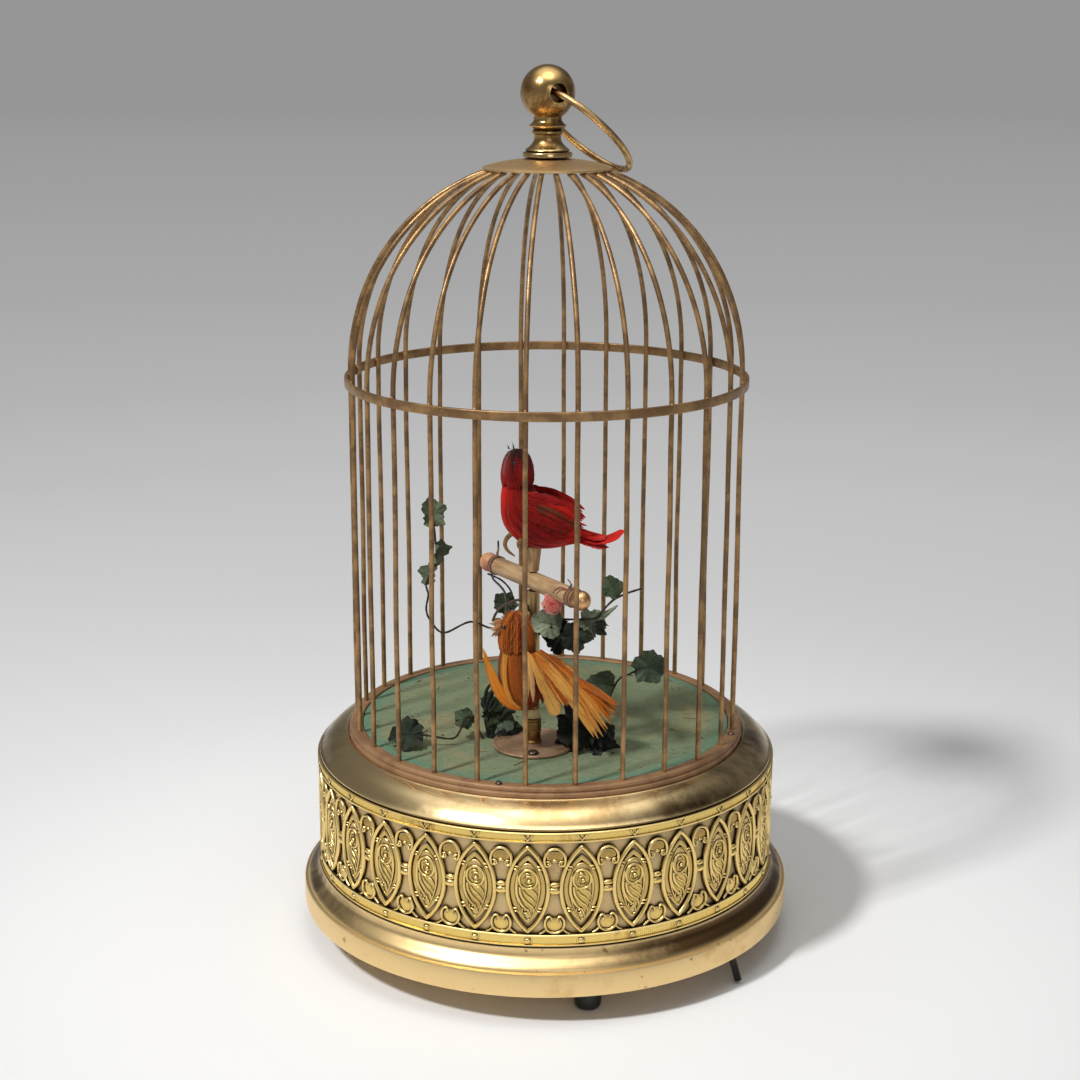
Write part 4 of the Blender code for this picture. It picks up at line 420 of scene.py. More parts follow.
def bent(x, z, out):
    """A point of the flat strip, in millimetres, bent round the drum: x along the strip, out from the drum."""
    angle = radians(PANEL_ANGLE) + x / STRIP_RADIUS
    radius = (GALLERY_INNER + out) * MM
    return Vector((radius * sin(angle), -radius * cos(angle), z * MM))


def heading(path, i, closed=False):
    """The way in which a path runs at one of its points."""
    ahead = path[(i + 1) % len(path)] if closed else path[min(i + 1, len(path) - 1)]
    behind = path[i - 1] if closed or i else path[0]
    return (Vector(ahead) - Vector(behind)).normalized()


class Relief:
    """Collects the raised work of one panel of the strip, drawn flat in millimetres."""

    def __init__(self):
        self.vertices, self.faces = [], []

    def ridge(self, path, width, height, base=0.1, closed=False, taper=None):
        """A rounded strip along a path of (x, z). taper gives its width's share along the path."""
        section = ((-0.5, 0.0), (-0.5, 0.5), (-0.28, 0.88), (0.0, 1.0), (0.28, 0.88), (0.5, 0.5), (0.5, 0.0))
        self.faces += bands(len(path), len(section), len(self.vertices), closed)
        for i, (x, z) in enumerate(path):
            run = heading(path, i, closed)
            share = taper(i / max(1, len(path) - 1)) if taper else 1.0
            for across, up in section:
                offset = across * width * share
                raised = base + up * height * (0.35 + 0.65 * share)
                self.vertices.append((x - run.y * offset, z + run.x * offset, raised))

    def dome(self, outline, centre, height, base=0.1, rings=((1.0, 0.0), (1.0, 0.45), (0.8, 0.75), (0.5, 0.93))):
        """A low domed plate inside an outline. rings gives shares of its size and height."""
        first, count = len(self.vertices), len(outline)
        for share, up in rings:
            for x, z in outline:
                point = (centre[0] + (x - centre[0]) * share, centre[1] + (z - centre[1]) * share)
                self.vertices.append((*point, base + up * height))
        self.vertices.append((*centre, base + height))
        top, last = len(self.vertices) - 1, first + (len(rings) - 1) * count
        self.faces += bands(len(rings), count, first)[:-1]
        self.faces += [(last + i, last + (i + 1) % count, top) for i in range(count)]

    def boss(self, x, z, radius, height, base=0.1, stretch=1.0, around=10):
        """A domed bead."""
        outline = [(x + radius * cos(a), z + radius * stretch * sin(a)) for a in turns(around)]
        self.dome(outline, (x, z), height, base, ((1.0, 0.0), (0.96, 0.35), (0.78, 0.68), (0.42, 0.93)))

    def around_drum(self, name):
        """Repeats the panel round the drum as one piece of the gallery."""
        panel = shape(name, [bent(*v) for v in self.vertices], self.faces, gallery_gilt, 50.0, merge=False)
        settled(panel, repeat_round, {"Count": PANELS, "Material": gallery_gilt})
        fit(panel, "base", "gilt_brass", "gallery_band")


def oval_half(z, width, height):
    """Half of a pointed oval's width at a height from its middle."""
    curve = (height * height + width * width) / (2 * width)
    return sqrt(max(0.0, curve * curve - z * z)) - (curve - width)


def oval_path(width, height, steps=18):
    """The closed outline of a pointed oval, from its half width and half height."""
    heights = [height * sin(pi / 2 * t / steps) for t in range(-steps, steps + 1)]
    right = [(oval_half(z, width, height), z) for z in heights]
    left = [(-x, z) for x, z in reversed(right[1:-1])]
    return [(x, PANEL_MIDDLE + z) for x, z in right + left]


def arc(x, z, radius, start, end, steps=12, tall=1.0):
    """Part of a round path, from one angle to another in degrees."""
    angles = [radians(start + (end - start) * i / steps) for i in range(steps + 1)]
    return [(x + radius * cos(a), z + radius * tall * sin(a)) for a in angles]


def smoothed(points, steps):
    """A smooth curve through points."""
    points = [Vector(p) for p in points]
    path = []
    for i in range(len(points) - 1):
        a, b, c = points[max(i - 1, 0)], points[i], points[i + 1]
        d = points[min(i + 2, len(points) - 1)]
        for j in range(steps):
            t = j / steps
            square, cube = 2 * a - 5 * b + 4 * c - d, 3 * b - a - 3 * c + d
            path.append(0.5 * ((2 * b) + (c - a) * t + square * t * t + cube * t ** 3))
    return path + [points[-1]]


def growing_tree(name, *sockets):
    """A geometry node tree and its inputs: the piece's geometry, the named ones with their kinds, and a material."""
    tree = bpy.data.node_groups.new(name, "GeometryNodeTree")
    for label, kind in (("Geometry", "Geometry"), *sockets, ("Material", "Material")):
        tree.interface.new_socket(label, in_out="INPUT", socket_type="NodeSocket" + kind)
    tree.interface.new_socket("Geometry", in_out="OUTPUT", socket_type="NodeSocketGeometry")
    return tree, node(tree, "NodeGroupInput").outputs


def end_tree(tree, given, points, copied, turn, **more):
    """Ends a tree with copies of a piece on points, made real and given their material."""
    inputs = {"Points": points, "Instance": copied, "Rotation": turn, **more}
    copies = node(tree, "GeometryNodeInstanceOnPoints", inputs).outputs[0]
    solid = node(tree, "GeometryNodeRealizeInstances", {0: copies}).outputs[0]
    dressed = node(tree, "GeometryNodeSetMaterial", {"Geometry": solid, "Material": given["Material"]}).outputs[0]
    node(tree, "NodeGroupOutput", {0: dressed})


def ring_geometry():
    """A node tree that repeats a panel round an upright axis."""
    tree, given = growing_tree("repeat_round_axis", ("Count", "Int"))
    line = node(tree, "GeometryNodeMeshLine", {"Count": given["Count"], "Offset": (0, 0, 0)}).outputs[0]
    index = node(tree, "GeometryNodeInputIndex").outputs[0]
    step = sums(tree, "DIVIDE", 2 * pi, given["Count"])
    turn = node(tree, "ShaderNodeCombineXYZ", {2: times(tree, index, step)}).outputs[0]
    end_tree(tree, given, line, given["Geometry"], turn)
    return tree


def kept(piece, change):
    """Keeps what a modifier makes of a piece as its plain mesh."""
    bpy.context.view_layer.update()
    view = bpy.context.evaluated_depsgraph_get()
    mesh = bpy.data.meshes.new_from_object(piece.evaluated_get(view), depsgraph=view)
    piece.modifiers.remove(change)
    old, piece.data = piece.data, mesh
    mesh.name = piece.name
    bpy.data.meshes.remove(old)
    return piece


def settled(piece, tree, values):
    """Runs a geometry node tree on a piece, with its inputs set by their identifiers."""
    grown = piece.modifiers.new("made", "NODES")
    grown.node_group = tree
    for item in tree.interface.items_tree:
        if item.item_type == "SOCKET" and item.in_out == "INPUT" and item.name in values:
            grown[item.identifier] = values[item.name]
    return kept(piece, grown)


repeat_round = ring_geometry()
half_pitch = PANEL_WIDTH / 2
frames = Relief()
frames.ridge(oval_path(OVAL_HALF_WIDTH - 0.62, OVAL_HALF_HEIGHT - 0.5), 1.3, 1.0, 0.12, closed=True)
frames.ridge(oval_path(OVAL_HALF_WIDTH - 2.15, OVAL_HALF_HEIGHT - 3.9), 1.3, 0.30, 0.12, closed=True)
for side in (-1, 1):
    for tie_height in (7.0, -6.6):
        for offset in (-0.45, 0.45):
            across = oval_half(tie_height + offset, OVAL_HALF_WIDTH, OVAL_HALF_HEIGHT) - 1.95
            frames.boss(side * across, PANEL_MIDDLE + tie_height + offset, 0.95, 0.85, 0.1, 0.42, 8)
frames.boss(half_pitch, PANEL_MIDDLE + 1.5, 1.75, 1.0, 0.1, 0.52, 12)
frames.boss(half_pitch, PANEL_MIDDLE - 0.45, 2.1, 1.1, 0.1, 0.60, 12)
# Each lunette is two half arches that end in a curl, each heart two stems from the rail that roll up into a scroll.
lunette = arc(0, 52.6, 3.2, 92, -30, 10, 1.15) + arc(2.05, 51.4, 0.75, -60, -300, 8)
heart = arc(0, 31.9, 3.0, -92, 38, 10, 1.02) + arc(1.65, 33.3, 0.85, 40, 250, 8)
heart_foot = ((2.5, 30.0), (3.6, 29.0), (4.6, 28.4))
for way in (-1, 1):
    for path, width, height in ((lunette, 0.95, 0.9), (heart, 0.9, 0.85)):
        frames.ridge([(half_pitch + way * x, z) for x, z in path], width, height,
                     taper=lambda t: 1.0 - 0.35 * max(0.0, t - 0.5) * 2)
    frames.boss(half_pitch + way * 2.0, 51.45, 0.42, 0.85, 0.1, 1.0, 7)
    frames.ridge([(half_pitch + way * x, z) for x, z in heart_foot], 0.7, 0.6)
for across, tall, middle, centre, height in ((2.5, 1.9, 53.4, 53.4, 0.22), (2.35, 2.2, 31.6, 31.4, 0.45)):
    outline = [(half_pitch + across * cos(a), middle + tall * sin(a)) for a in turns(16)]
    frames.dome(outline, (half_pitch, centre), height)
frames.boss(half_pitch, 52.3, 0.95, 0.7, 0.1, 0.6, 9)
frames.around_drum("gallery_frames")

medals = Relief()
drop = []
for angle in turns(32):
    lift = sin(angle)
    across = 3.85 * cos(angle) * (1 - 0.42 * max(0.0, -lift) ** 1.5)
    drop.append((across, PANEL_MIDDLE + 0.4 + (10.4 if lift < 0 else 8.0) * lift))
medals.dome(drop, (0.0, PANEL_MIDDLE + 1.2), 0.38)
medals.ridge([(x * 0.96, z) for x, z in drop], 0.5, 0.62, 0.12, closed=True)
medals.ridge(arc(0.15, PANEL_MIDDLE + 3.3, 2.75, 0, 345, 22, 1.12), 0.85, 0.66, 0.34, closed=True)
medals.ridge(arc(0.35, PANEL_MIDDLE + 2.9, 1.5, 60, 330, 12), 0.6, 0.66, 0.34, taper=lambda t: 1.0 - 0.4 * t)
medals.boss(0.45, PANEL_MIDDLE + 2.8, 0.8, 1.0, 0.34, 1.0, 10)
medals.boss(-0.1, PANEL_MIDDLE + 5.1, 0.95, 0.7, 0.34, 0.6, 9)
# The leaf's ribs, each a width and its points counted from the panel's middle.
for width, rib in (
        (1.0, ((-3.0, 4.6), (-3.45, 1.2), (-3.2, -2.0), (-1.7, -5.0), (0.4, -7.2), (0.9, -9.2))),
        (1.0, ((-2.5, 0.9), (-2.1, -1.6), (-0.6, -3.8), (1.3, -5.4), (1.9, -7.4))),
        (0.9, ((-1.3, -0.4), (-0.4, -1.7), (1.2, -2.9), (2.7, -4.9))),
        (0.8, ((0.6, -0.2), (1.9, -0.6), (3.0, -2.4))), (0.6, ((3.2, 3.6), (3.45, 0.6), (3.2, -2.4)))):
    path = [(p.x, PANEL_MIDDLE + p.y) for p in smoothed(rib, 4)]
    medals.ridge(path, width, 0.62, 0.34, taper=lambda t: 0.35 + 0.65 * sin(pi * min(1.0, 0.15 + t * 0.9)))
medals.ridge(arc(-0.75, PANEL_MIDDLE - 6.7, 0.95, 40, -230, 10), 0.5, 0.6, 0.34)
medals.boss(-0.75, PANEL_MIDDLE - 6.7, 0.42, 0.6, 0.34, 1.0, 7)
medals.around_drum("gallery_medallions")

REEDS = 24
columns = PANELS * REEDS * 2
rail_vertices, rail_faces = [], []
# Each rail: its low and high edge and the widths of its two plain borders, with upright reeds between them.
for low, high, lower, upper in ((24.5, 28.3, 0.7, 0.75), (58.2, 61.5, 0.75, 0.55)):
    rail_faces += bands(columns, 10, len(rail_vertices), closed=True)
    for column in range(columns):
        reed = 0.78 if column % 2 else 0.66
        section = (
            (low, 0.0), (low, 0.95), (low + 0.16, 1.15), (low + lower - 0.12, 1.15), (low + lower, reed),
            (high - upper, reed), (high - upper + 0.12, 1.15), (high - 0.16, 1.15), (high, 0.95), (high, 0.0),
        )
        rail_vertices += [bent(column * PANEL_WIDTH / (REEDS * 2), z, out) for z, out in section]
rails = shape("gallery_rails", rail_vertices, rail_faces, gallery_gilt, 30.0, merge=False)
fit(rails, "base", "gilt_brass", "gallery_band")

studs = Relief()
studs.boss(0.0, 26.3, 1.15, 0.75, 0.7, 0.85, 12)
studs.ridge([(-1.5, 60.95), (0.0, 59.0), (1.5, 60.95)], 0.65, 0.45, 0.75)
studs.around_drum("gallery_studs")

# Top moulding: a shoulder spun from sheet brass that covers the drum's edge, with a swelling slope up to a crest.
# It is bright gold at the front and browned in mottled patches at the sides, tarnish together with painted shade,
# more at the right.
moulding_profile = [(73.1, 59.4), (73.1, 61.8), (74.9, 61.8), (75.05, 62.05), (74.95, 62.4), (74.4, 62.75)]
for i in range(1, 14):
    share = i / 13
    along = (74.4 - 8.0 * share, 62.75 + 5.35 * share)
    swell = 0.95 * sin(pi * share)
    moulding_profile.append((along[0] + 0.55 * swell, along[1] + 0.84 * swell))
moulding_profile += [(66.1, 68.3), (65.6, 68.2), (65.5, 67.8), (65.5, 66.6), (60.0, 66.6), (60.0, 65.4), (65.0, 65.4),
                     (71.6, 61.4), (71.6, 59.4)]
# The browning at the sides is tarnish together with painted shade, more at the right.
moulding_brass = brass("moulding_brass", (0.88, 0.68, 0.36), (0.50, 0.32, 0.13), 22.0, 0.60, 0.14, 0.15, 0.30, 0.5,
                       0.25, shade=(0.0600, 0.0610, 0.024, 0.066, (0.105, 0.064, 0.026)))
moulding = lathe("moulding_spun", moulding_profile, moulding_brass, 288, smooth=32.0)
fit(moulding, "base", "gilt_brass", "top_moulding")

# Cage ring: a copper-brown turned ring seated in the moulding, with a groove, a rounded ledge and 26 holes for the
# wires. Small dark screws through its ledge hold it down.
ring_copper = coated("ring_copper", (0.38, 0.215, 0.105), (0.27, 0.145, 0.068), 90.0, 0.52, metallic=0.35, bump=0.1)
ring_profile = eased([
    (60.8, 67.0), (60.8, 71.3), (61.15, 71.5), (64.0, 71.5), (64.55, 71.25), (64.75, 70.7), (64.75, 70.2),
    (64.45, 69.95), (64.45, 69.7), (65.1, 69.45), (65.2, 69.0), (65.2, 66.9), (60.8, 66.9),
], 0.12, 2)
cage_ring = lathe("cage_ring_turned", ring_profile, ring_copper, 288, smooth=38.0)
fit(cage_ring, "base", "copper_brown", "cage_base_ring")

dark_steel = coated("screw_steel", (0.17, 0.125, 0.09), (0.06, 0.042, 0.03), 420.0, 0.36, metallic=0.7, shift=0.45)


def screw_head(name, at, low, radius, rise, slot_width, turn, material, around=32):
    """A round-headed screw standing on a height, with a straight slot cut across its crown. Sizes in millimetres."""
    profile = [(0.0, low), (radius * 0.96, low), (radius, low + 0.15 * rise), (radius * 0.97, low + 0.42 * rise),
               (radius * 0.80, low + 0.72 * rise), (radius * 0.45, low + 0.94 * rise), (0.0, low + rise)]
    head = lathe(name, profile, material, around, at, 35.0)
    blade = shape(name + "_slot", [
        Vector((at[0] + cos(turn) * a - sin(turn) * b, at[1] + sin(turn) * a + cos(turn) * b, c)) * MM
        for c in (low + rise * 0.45, low + rise * 1.5)
        for a, b in ((-2 * radius, -slot_width / 2), (2 * radius, -slot_width / 2), (2 * radius, slot_width / 2),
                     (-2 * radius, slot_width / 2))
    ], [(3, 2, 1, 0), (4, 5, 6, 7), (0, 1, 5, 4), (1, 2, 6, 5), (2, 3, 7, 6), (3, 0, 4, 7)], material)
    return carved(head, blade)


def carved(piece, tool):
    """Cuts a tool's shape out of a piece and removes the tool."""
    cut = piece.modifiers.new("cut", "BOOLEAN")
    cut.operation, cut.solver, cut.object = "DIFFERENCE", "EXACT", tool
    shaded(kept(piece, cut).data, 38)
    bpy.data.objects.remove(tool)
    return piece


for number, turn in ((1, 0.7), (2, -0.4)):
    at, low, high = extent("ring_screw_%d" % number)
    screw = screw_head("ledge_screw_%d" % number, at, low, 1.3, high - low, 0.34, turn, dark_steel)
    fit(screw, "base", "steel", "ring_screw_%d" % number)

# Cage wires: 26 round brass wires in the ring's holes, straight up to the hoop and bent over to the crown, browned
# in patches. Each has a small bead of solder where the hoop crosses it.
WIRES = 26
WIRE_ANGLE = -5.68
WIRE_CIRCLE, WIRE_RADIUS = 62.5, 0.8
WIRE_LOW, DOME_START, DOME_RISE = 67.5, 187.6, 65.7
HOOP_LOW, HOOP_TOP = 183.9, 186.8


def turning(radius, height, bearing=WIRE_ANGLE):
    """A point at a radius, height and bearing counted from the front, in metres."""
    angle = radians(bearing)
    return Vector((radius * sin(angle), -radius * cos(angle), height)) * MM


def tube(path, radius, sides=10, closed=False, flat=1.0, up=None):
    """Points and faces of a round bar along a path in metres. radius is one size or one for each point."""
    sizes = radius if hasattr(radius, "__len__") else [radius] * len(path)
    vertices, across = [], None
    for i, point in enumerate(path):
        run = heading(path, i, closed)
        if across is None:
            across = Vector(up) if up else Vector((0, 0, 1)) if abs(run.z) < 0.8 else Vector((0, 1, 0))
        across = (across - run * across.dot(run)).normalized()
        side = run.cross(across)
        vertices += [point + (across * cos(a) + side * sin(a) * flat) * sizes[i] for a in turns(sides)]
    return vertices, bands(len(path), sides, closed=closed)


def gathered(parts):
    """Puts several lists of points and faces together."""
    vertices, faces = [], []
    for points, sides in parts:
        first = len(vertices)
        vertices += points
        faces += [tuple(first + i for i in face) for face in sides]
    return vertices, faces


wire_bronze = coated("wire_bronze", (0.42, 0.245, 0.098), (0.20, 0.112, 0.048), 130.0, 0.38, metallic=0.55, bump=0.08,
                     shift=0.46)
run = [turning(WIRE_CIRCLE, WIRE_LOW + (DOME_START - WIRE_LOW) * i / 24) for i in range(25)]
top_angle = acos(17.5 / WIRE_CIRCLE)
for i in range(1, 25):
    t = top_angle * i / 24
    run.append(turning(WIRE_CIRCLE * cos(t), DOME_START + DOME_RISE * sin(t)))
solder_path = [turning(WIRE_CIRCLE + 0.25, HOOP_LOW - 0.75 + 0.5 * i) for i in range(10)]
solder_size = [0.3, 0.62, 0.86, 0.98, 1.02, 1.02, 0.98, 0.86, 0.6, 0.3]
solder = tube(solder_path, [size * MM for size in solder_size], 10)
wires = shape("cage_wires_drawn", *gathered([tube(run, WIRE_RADIUS * MM, 10), solder]), wire_bronze, 60.0)
settled(wires, repeat_round, {"Count": WIRES, "Material": wire_bronze})
# The wires waver a little between the ring and the crown, but not at the hoop that holds them. The seed keeps the
# waver the same at each run.
noise.seed_set(26)
for vertex in wires.data.vertices:
    free = min(1.0, max(0.0, (vertex.co.z - 0.074) / 0.03)) * min(1.0, max(0.0, (0.248 - vertex.co.z) / 0.02))
    held = min(1.0, abs(vertex.co.z - 0.1853) / 0.02)
    sway = noise.noise_vector(vertex.co * 22) * 0.00042 * free * held
    vertex.co += Vector((sway.x, sway.y, 0))
fit(wires, "base", "wire_brass", "cage_wires_front", "cage_wires_back")

# Hoop: a flat brass band with rounded edges, bent round the outside of the wires where the dome begins.
# It is soldered to each of them.
hoop_bronze = coated("hoop_bronze", (0.41, 0.245, 0.105), (0.22, 0.12, 0.05), 110.0, 0.36, metallic=0.6, bump=0.08,
                     shift=0.47)
hoop = lathe("hoop_band", eased([(63.0, HOOP_LOW), (64.3, HOOP_LOW), (64.3, HOOP_TOP), (63.0, HOOP_TOP)], 0.42, 3),
             hoop_bronze, 240, smooth=50.0)
fit(hoop, "base", "wire_brass", "cage_wires_front", "cage_wires_back")

# Crown: a shallow disc spun from sheet brass, dull tan brown with a thin bright rim.
# It lies over the wires' upper ends and is held by the finial.
crown_low = extent("crown_disc")[1]
CROWN_RADIUS, CROWN_RISE, CROWN_THICK = 20.2, 2.7, 0.7
crown_under = [(CROWN_RADIUS * share, crown_low + CROWN_RISE * (1 - share ** 2.2)) for share in
               [1.0 - 0.06 * i for i in range(14)]]
crown_under.append((3.35, crown_low + CROWN_RISE))
crown_profile = [(r, z + CROWN_THICK) for r, z in reversed(crown_under)]
crown_profile[-1] = (CROWN_RADIUS - 0.05, crown_low + CROWN_THICK * 0.92)
crown_profile += [(CROWN_RADIUS, crown_low + CROWN_THICK * 0.6), (CROWN_RADIUS, crown_low + CROWN_THICK * 0.2)]
crown_profile += [(r - (0.12 if i == 0 else 0.0), z) for i, (r, z) in enumerate(crown_under)]
crown_brass = brass("crown_brass", (0.76, 0.53, 0.27), (0.40, 0.25, 0.11), 85.0, 0.56, 0.16, 0.34, 0.50, 0.5, 0.35)
fit(lathe("crown_spun", crown_profile, crown_brass, 160, smooth=30.0), "base", "tarnished_brass", "crown_disc")

# Finial: turned from one bar of brass as a washer, a bell, two collars and a ball. It is cross drilled for the
# carrying ring, and its foot goes down through the crown.
finial_base = crown_low + CROWN_THICK + CROWN_RISE + 0.3
NECK, BALL = 12.0, 8.45
ball_middle = extent("finial")[2] - BALL
finial_profile = [(0.0, crown_low + 0.1), (2.7, crown_low + 0.1), (3.35, crown_low + 0.5),
                  (3.4, crown_low + CROWN_RISE - 0.32), (3.0, crown_low + CROWN_RISE - 0.3), (3.0, finial_base),
                  (7.45, finial_base), (7.7, finial_base + 0.25), (7.7, finial_base + 1.15), (7.5, finial_base + 1.45),
                  (7.0, finial_base + 1.55), (6.65, finial_base + 1.75), (6.9, finial_base + 2.1),
                  (6.75, finial_base + 2.4)]
for i in range(1, 9):
    t = i / 9
    finial_profile.append((4.2 + 2.55 * (1 - t) ** 2.4, finial_base + 2.4 + 3.7 * t))
finial_profile += [(4.15, finial_base + 6.1), (4.25, finial_base + 6.7), (4.6, finial_base + 6.95),
                   (4.95, finial_base + 7.35), (4.9, finial_base + 7.8), (4.5, finial_base + 8.1),
                   (4.35, finial_base + 8.35), (4.9, finial_base + 8.6), (5.75, finial_base + 9.2),
                   (5.85, finial_base + 9.5), (5.6, finial_base + 9.75), (4.9, finial_base + 10.3),
                   (4.45, finial_base + 10.9), (4.35, finial_base + 11.4)]
seat = asin(4.35 / BALL)
for i in range(33):
    angle = -pi / 2 + seat + (pi - seat) * i / 32
    finial_profile.append((BALL * cos(angle) if i < 32 else 0.0, ball_middle + BALL * sin(angle)))
# Its grooves and corners are painted dark as shade.
finial_brass = brass("finial_brass", (0.58, 0.385, 0.15), (0.12, 0.062, 0.022), 75.0, 0.53, 0.10, 0.15, 0.36, 0.35,
                     0.35, corner_shade=0.9)
finial = lathe("finial_turned", finial_profile, finial_brass, 96, smooth=28.0)
RING_YAW, RING_DROOP, RING_RADIUS, RING_WIRE = radians(25.3), radians(43.0), 18.1, 1.05
hole_way = Vector((sin(RING_YAW), -cos(RING_YAW), 0))
ball_centre = Vector((0, 0, ball_middle)) * MM
hole_line = [ball_centre + hole_way * t * MM for t in (-10.5, -8.25, -7.55, 7.55, 8.25, 10.5)]
hole_tool = shape("cross_hole", *tube(hole_line, [0.0046, 0.0032, 0.0027, 0.0027, 0.0032, 0.0046], 40), finial_brass)
fit(carved(finial, hole_tool), "base", "gilt_brass", "finial")

# Carrying ring: round brass wire bent to a ring with its ends butted. It hangs loose through the ball's hole and
# rests over the crown.
ring_down = Vector((cos(RING_YAW) * cos(RING_DROOP), sin(RING_YAW) * cos(RING_DROOP), -sin(RING_DROOP)))
ring_middle = ball_centre + ring_down * 17.05 * MM
ring_path = [ring_middle + (ring_down * cos(a) + hole_way * sin(a)) * RING_RADIUS * MM for a in turns(120)]
# The wire's two ends meet in a small notch.
ring_sizes = [RING_WIRE * MM * (0.80 if i == 82 else 1.0) for i in range(120)]
ring_brass = brass("carrying_ring_brass", (0.62, 0.41, 0.17), (0.20, 0.11, 0.045), 110.0, 0.52, 0.13, 0.22, 0.40, 0.0,
                   0.3)
carrying_ring = shape("carrying_ring", *tube(ring_path, ring_sizes, 16, closed=True), ring_brass, 45.0)
fit(carrying_ring, "handle", "gilt_brass", "handle_ring")

# Floor: a round board in the cage ring with green felt glued on it, both drilled for the turning rod.
# The felt has faded and browned in patches, stays greener at its rim, and has caught crumbs and broken stalks.
felt_low, felt_high = extent("floor_felt")[1:]
FELT_RADIUS = 60.5
POST_AT = (-4.0, -27.0)
POST_BORE = 1.1
felt_green, tree, place = new_material("felt_green")
patches = speckle(tree, place, 42.0, 5.0, 0.62, 0.8)
fibres = speckle(tree, place, 900.0, 3.0, 0.7, 1.5)
combed = node(tree, "ShaderNodeMapping", {"Vector": place, "Scale": (1.0, 3.2, 1.0)}).outputs[0]
strands = speckle(tree, combed, 460.0, 3.0)
colour = blend(tree, spread(tree, patches, 0.46, 0.66), (0.190, 0.232, 0.125), (0.290, 0.245, 0.122))
rim_share = times(tree, spread(tree, from_axis(tree, place)[1], 0.053, 0.0604), 0.8)
colour = blend(tree, rim_share, colour, (0.060, 0.215, 0.145))
colour = blend(tree, spread(tree, fibres, 0.42, 0.72), colour, (0.235, 0.280, 0.160))
colour = blend(tree, times(tree, spread(tree, strands, 0.55, 0.68), 0.5), colour, (0.070, 0.110, 0.068))
close_material(tree, colour, 0.95, (0.5, 0.0004, plus(tree, fibres, strands)), Sheen_Weight=0.12, Sheen_Roughness=0.6,
               Sheen_Tint=(0.75, 0.85, 0.75, 1.0), Specular_IOR_Level=0.15)


def drilled(piece, at, low, high, radius, sides=24):
    """Drills an upright hole from one height to another. Sizes in millimetres."""
    line = [Vector((*at, z)) * MM for z in (low, high)]
    return carved(piece, shape("drill", *tube(line, radius * MM, sides), piece.data.materials[0]))


felt_profile = [(0.0, felt_low), (FELT_RADIUS, felt_low), (FELT_RADIUS, felt_high - 0.25), (60.2, felt_high - 0.06)]
felt_profile += [(59.6 - 1.49 * i, felt_high - 0.06) for i in range(41)]
felt = lathe("felt_disc", felt_profile, felt_green, 180, smooth=60.0)
for vertex in felt.data.vertices:
    if vertex.co.z > (felt_high - 0.1) * MM:
        vertex.co.z += 0.00005 * noise.noise(vertex.co * 160) + 0.00001
fit(drilled(felt, POST_AT, felt_low - 1, felt_high + 1, POST_BORE), "base", "green_felt", "floor_felt")
bare_wood = coated("board_wood", (0.33, 0.20, 0.10), (0.20, 0.115, 0.055), 60.0, 0.62, grain=(6.0, 0.5, 3.0), bump=0.3)
nodes["floor_board"].data.materials[0] = bare_wood


def random_size(tree, given):
    """A size by chance between the smallest and the largest."""
    chance = node(tree, "FunctionNodeRandomValue", data_type="FLOAT")
    for label, value in (("Min", given["Smallest"]), ("Max", given["Largest"]), ("Seed", given["Seed"])):
        for plug in chance.inputs:
            if plug.name == label and plug.enabled:
                tree.links.new(value, plug)
    return [plug for plug in chance.outputs if plug.enabled][0]


def scatter_geometry():
    """A node tree that strews copies of a small piece over a surface, each turned and sized by chance."""
    tree, given = growing_tree("strew_over_surface", ("Piece", "Object"), ("Density", "Float"), ("Smallest", "Float"),
                               ("Largest", "Float"), ("Seed", "Int"))
    inputs = {"Mesh": given["Geometry"], "Density": given["Density"], "Seed": given["Seed"]}
    points = node(tree, "GeometryNodeDistributePointsOnFaces", inputs).outputs["Points"]
    piece = node(tree, "GeometryNodeObjectInfo", {"Object": given["Piece"]}).outputs["Geometry"]
    inputs = {"Min": (0, 0, 0), "Max": (0, 0, 2 * pi), "Seed": given["Seed"]}
    turn = node(tree, "FunctionNodeRandomValue", inputs, data_type="FLOAT_VECTOR").outputs[0]
    end_tree(tree, given, points, piece, turn, Scale=random_size(tree, given))
    return tree


fibre_green = coated("felt_fibre", (0.175, 0.255, 0.155), (0.27, 0.30, 0.19), 400.0, 0.9, sheen=0.1)
fibre_path = ((-0.9, 0, 0.0), (-0.4, 0.16, 0.22), (0.2, -0.08, 0.30), (0.75, 0.2, 0.16), (1.0, 0.1, 0.0))
fibre_sizes = [size * MM for size in (0.02, 0.035, 0.035, 0.03, 0.01)]
fibre = shape("felt_hair", *tube([Vector(p) * MM for p in fibre_path], fibre_sizes, 3), fibre_green, merge=False)
ground = [(58.8 * cos(a) * MM, 58.8 * sin(a) * MM, felt_high * MM) for a in turns(24)]
hairs = shape("felt_hairs", ground, [tuple(range(24))], fibre_green)
settled(hairs, scatter_geometry(), {"Piece": fibre, "Density": 190000.0, "Smallest": 0.5, "Largest": 1.25, "Seed": 4,
                                    "Material": fibre_green})
bpy.data.objects.remove(fibre)
fit(hairs, "base", "green_felt", "floor_felt")

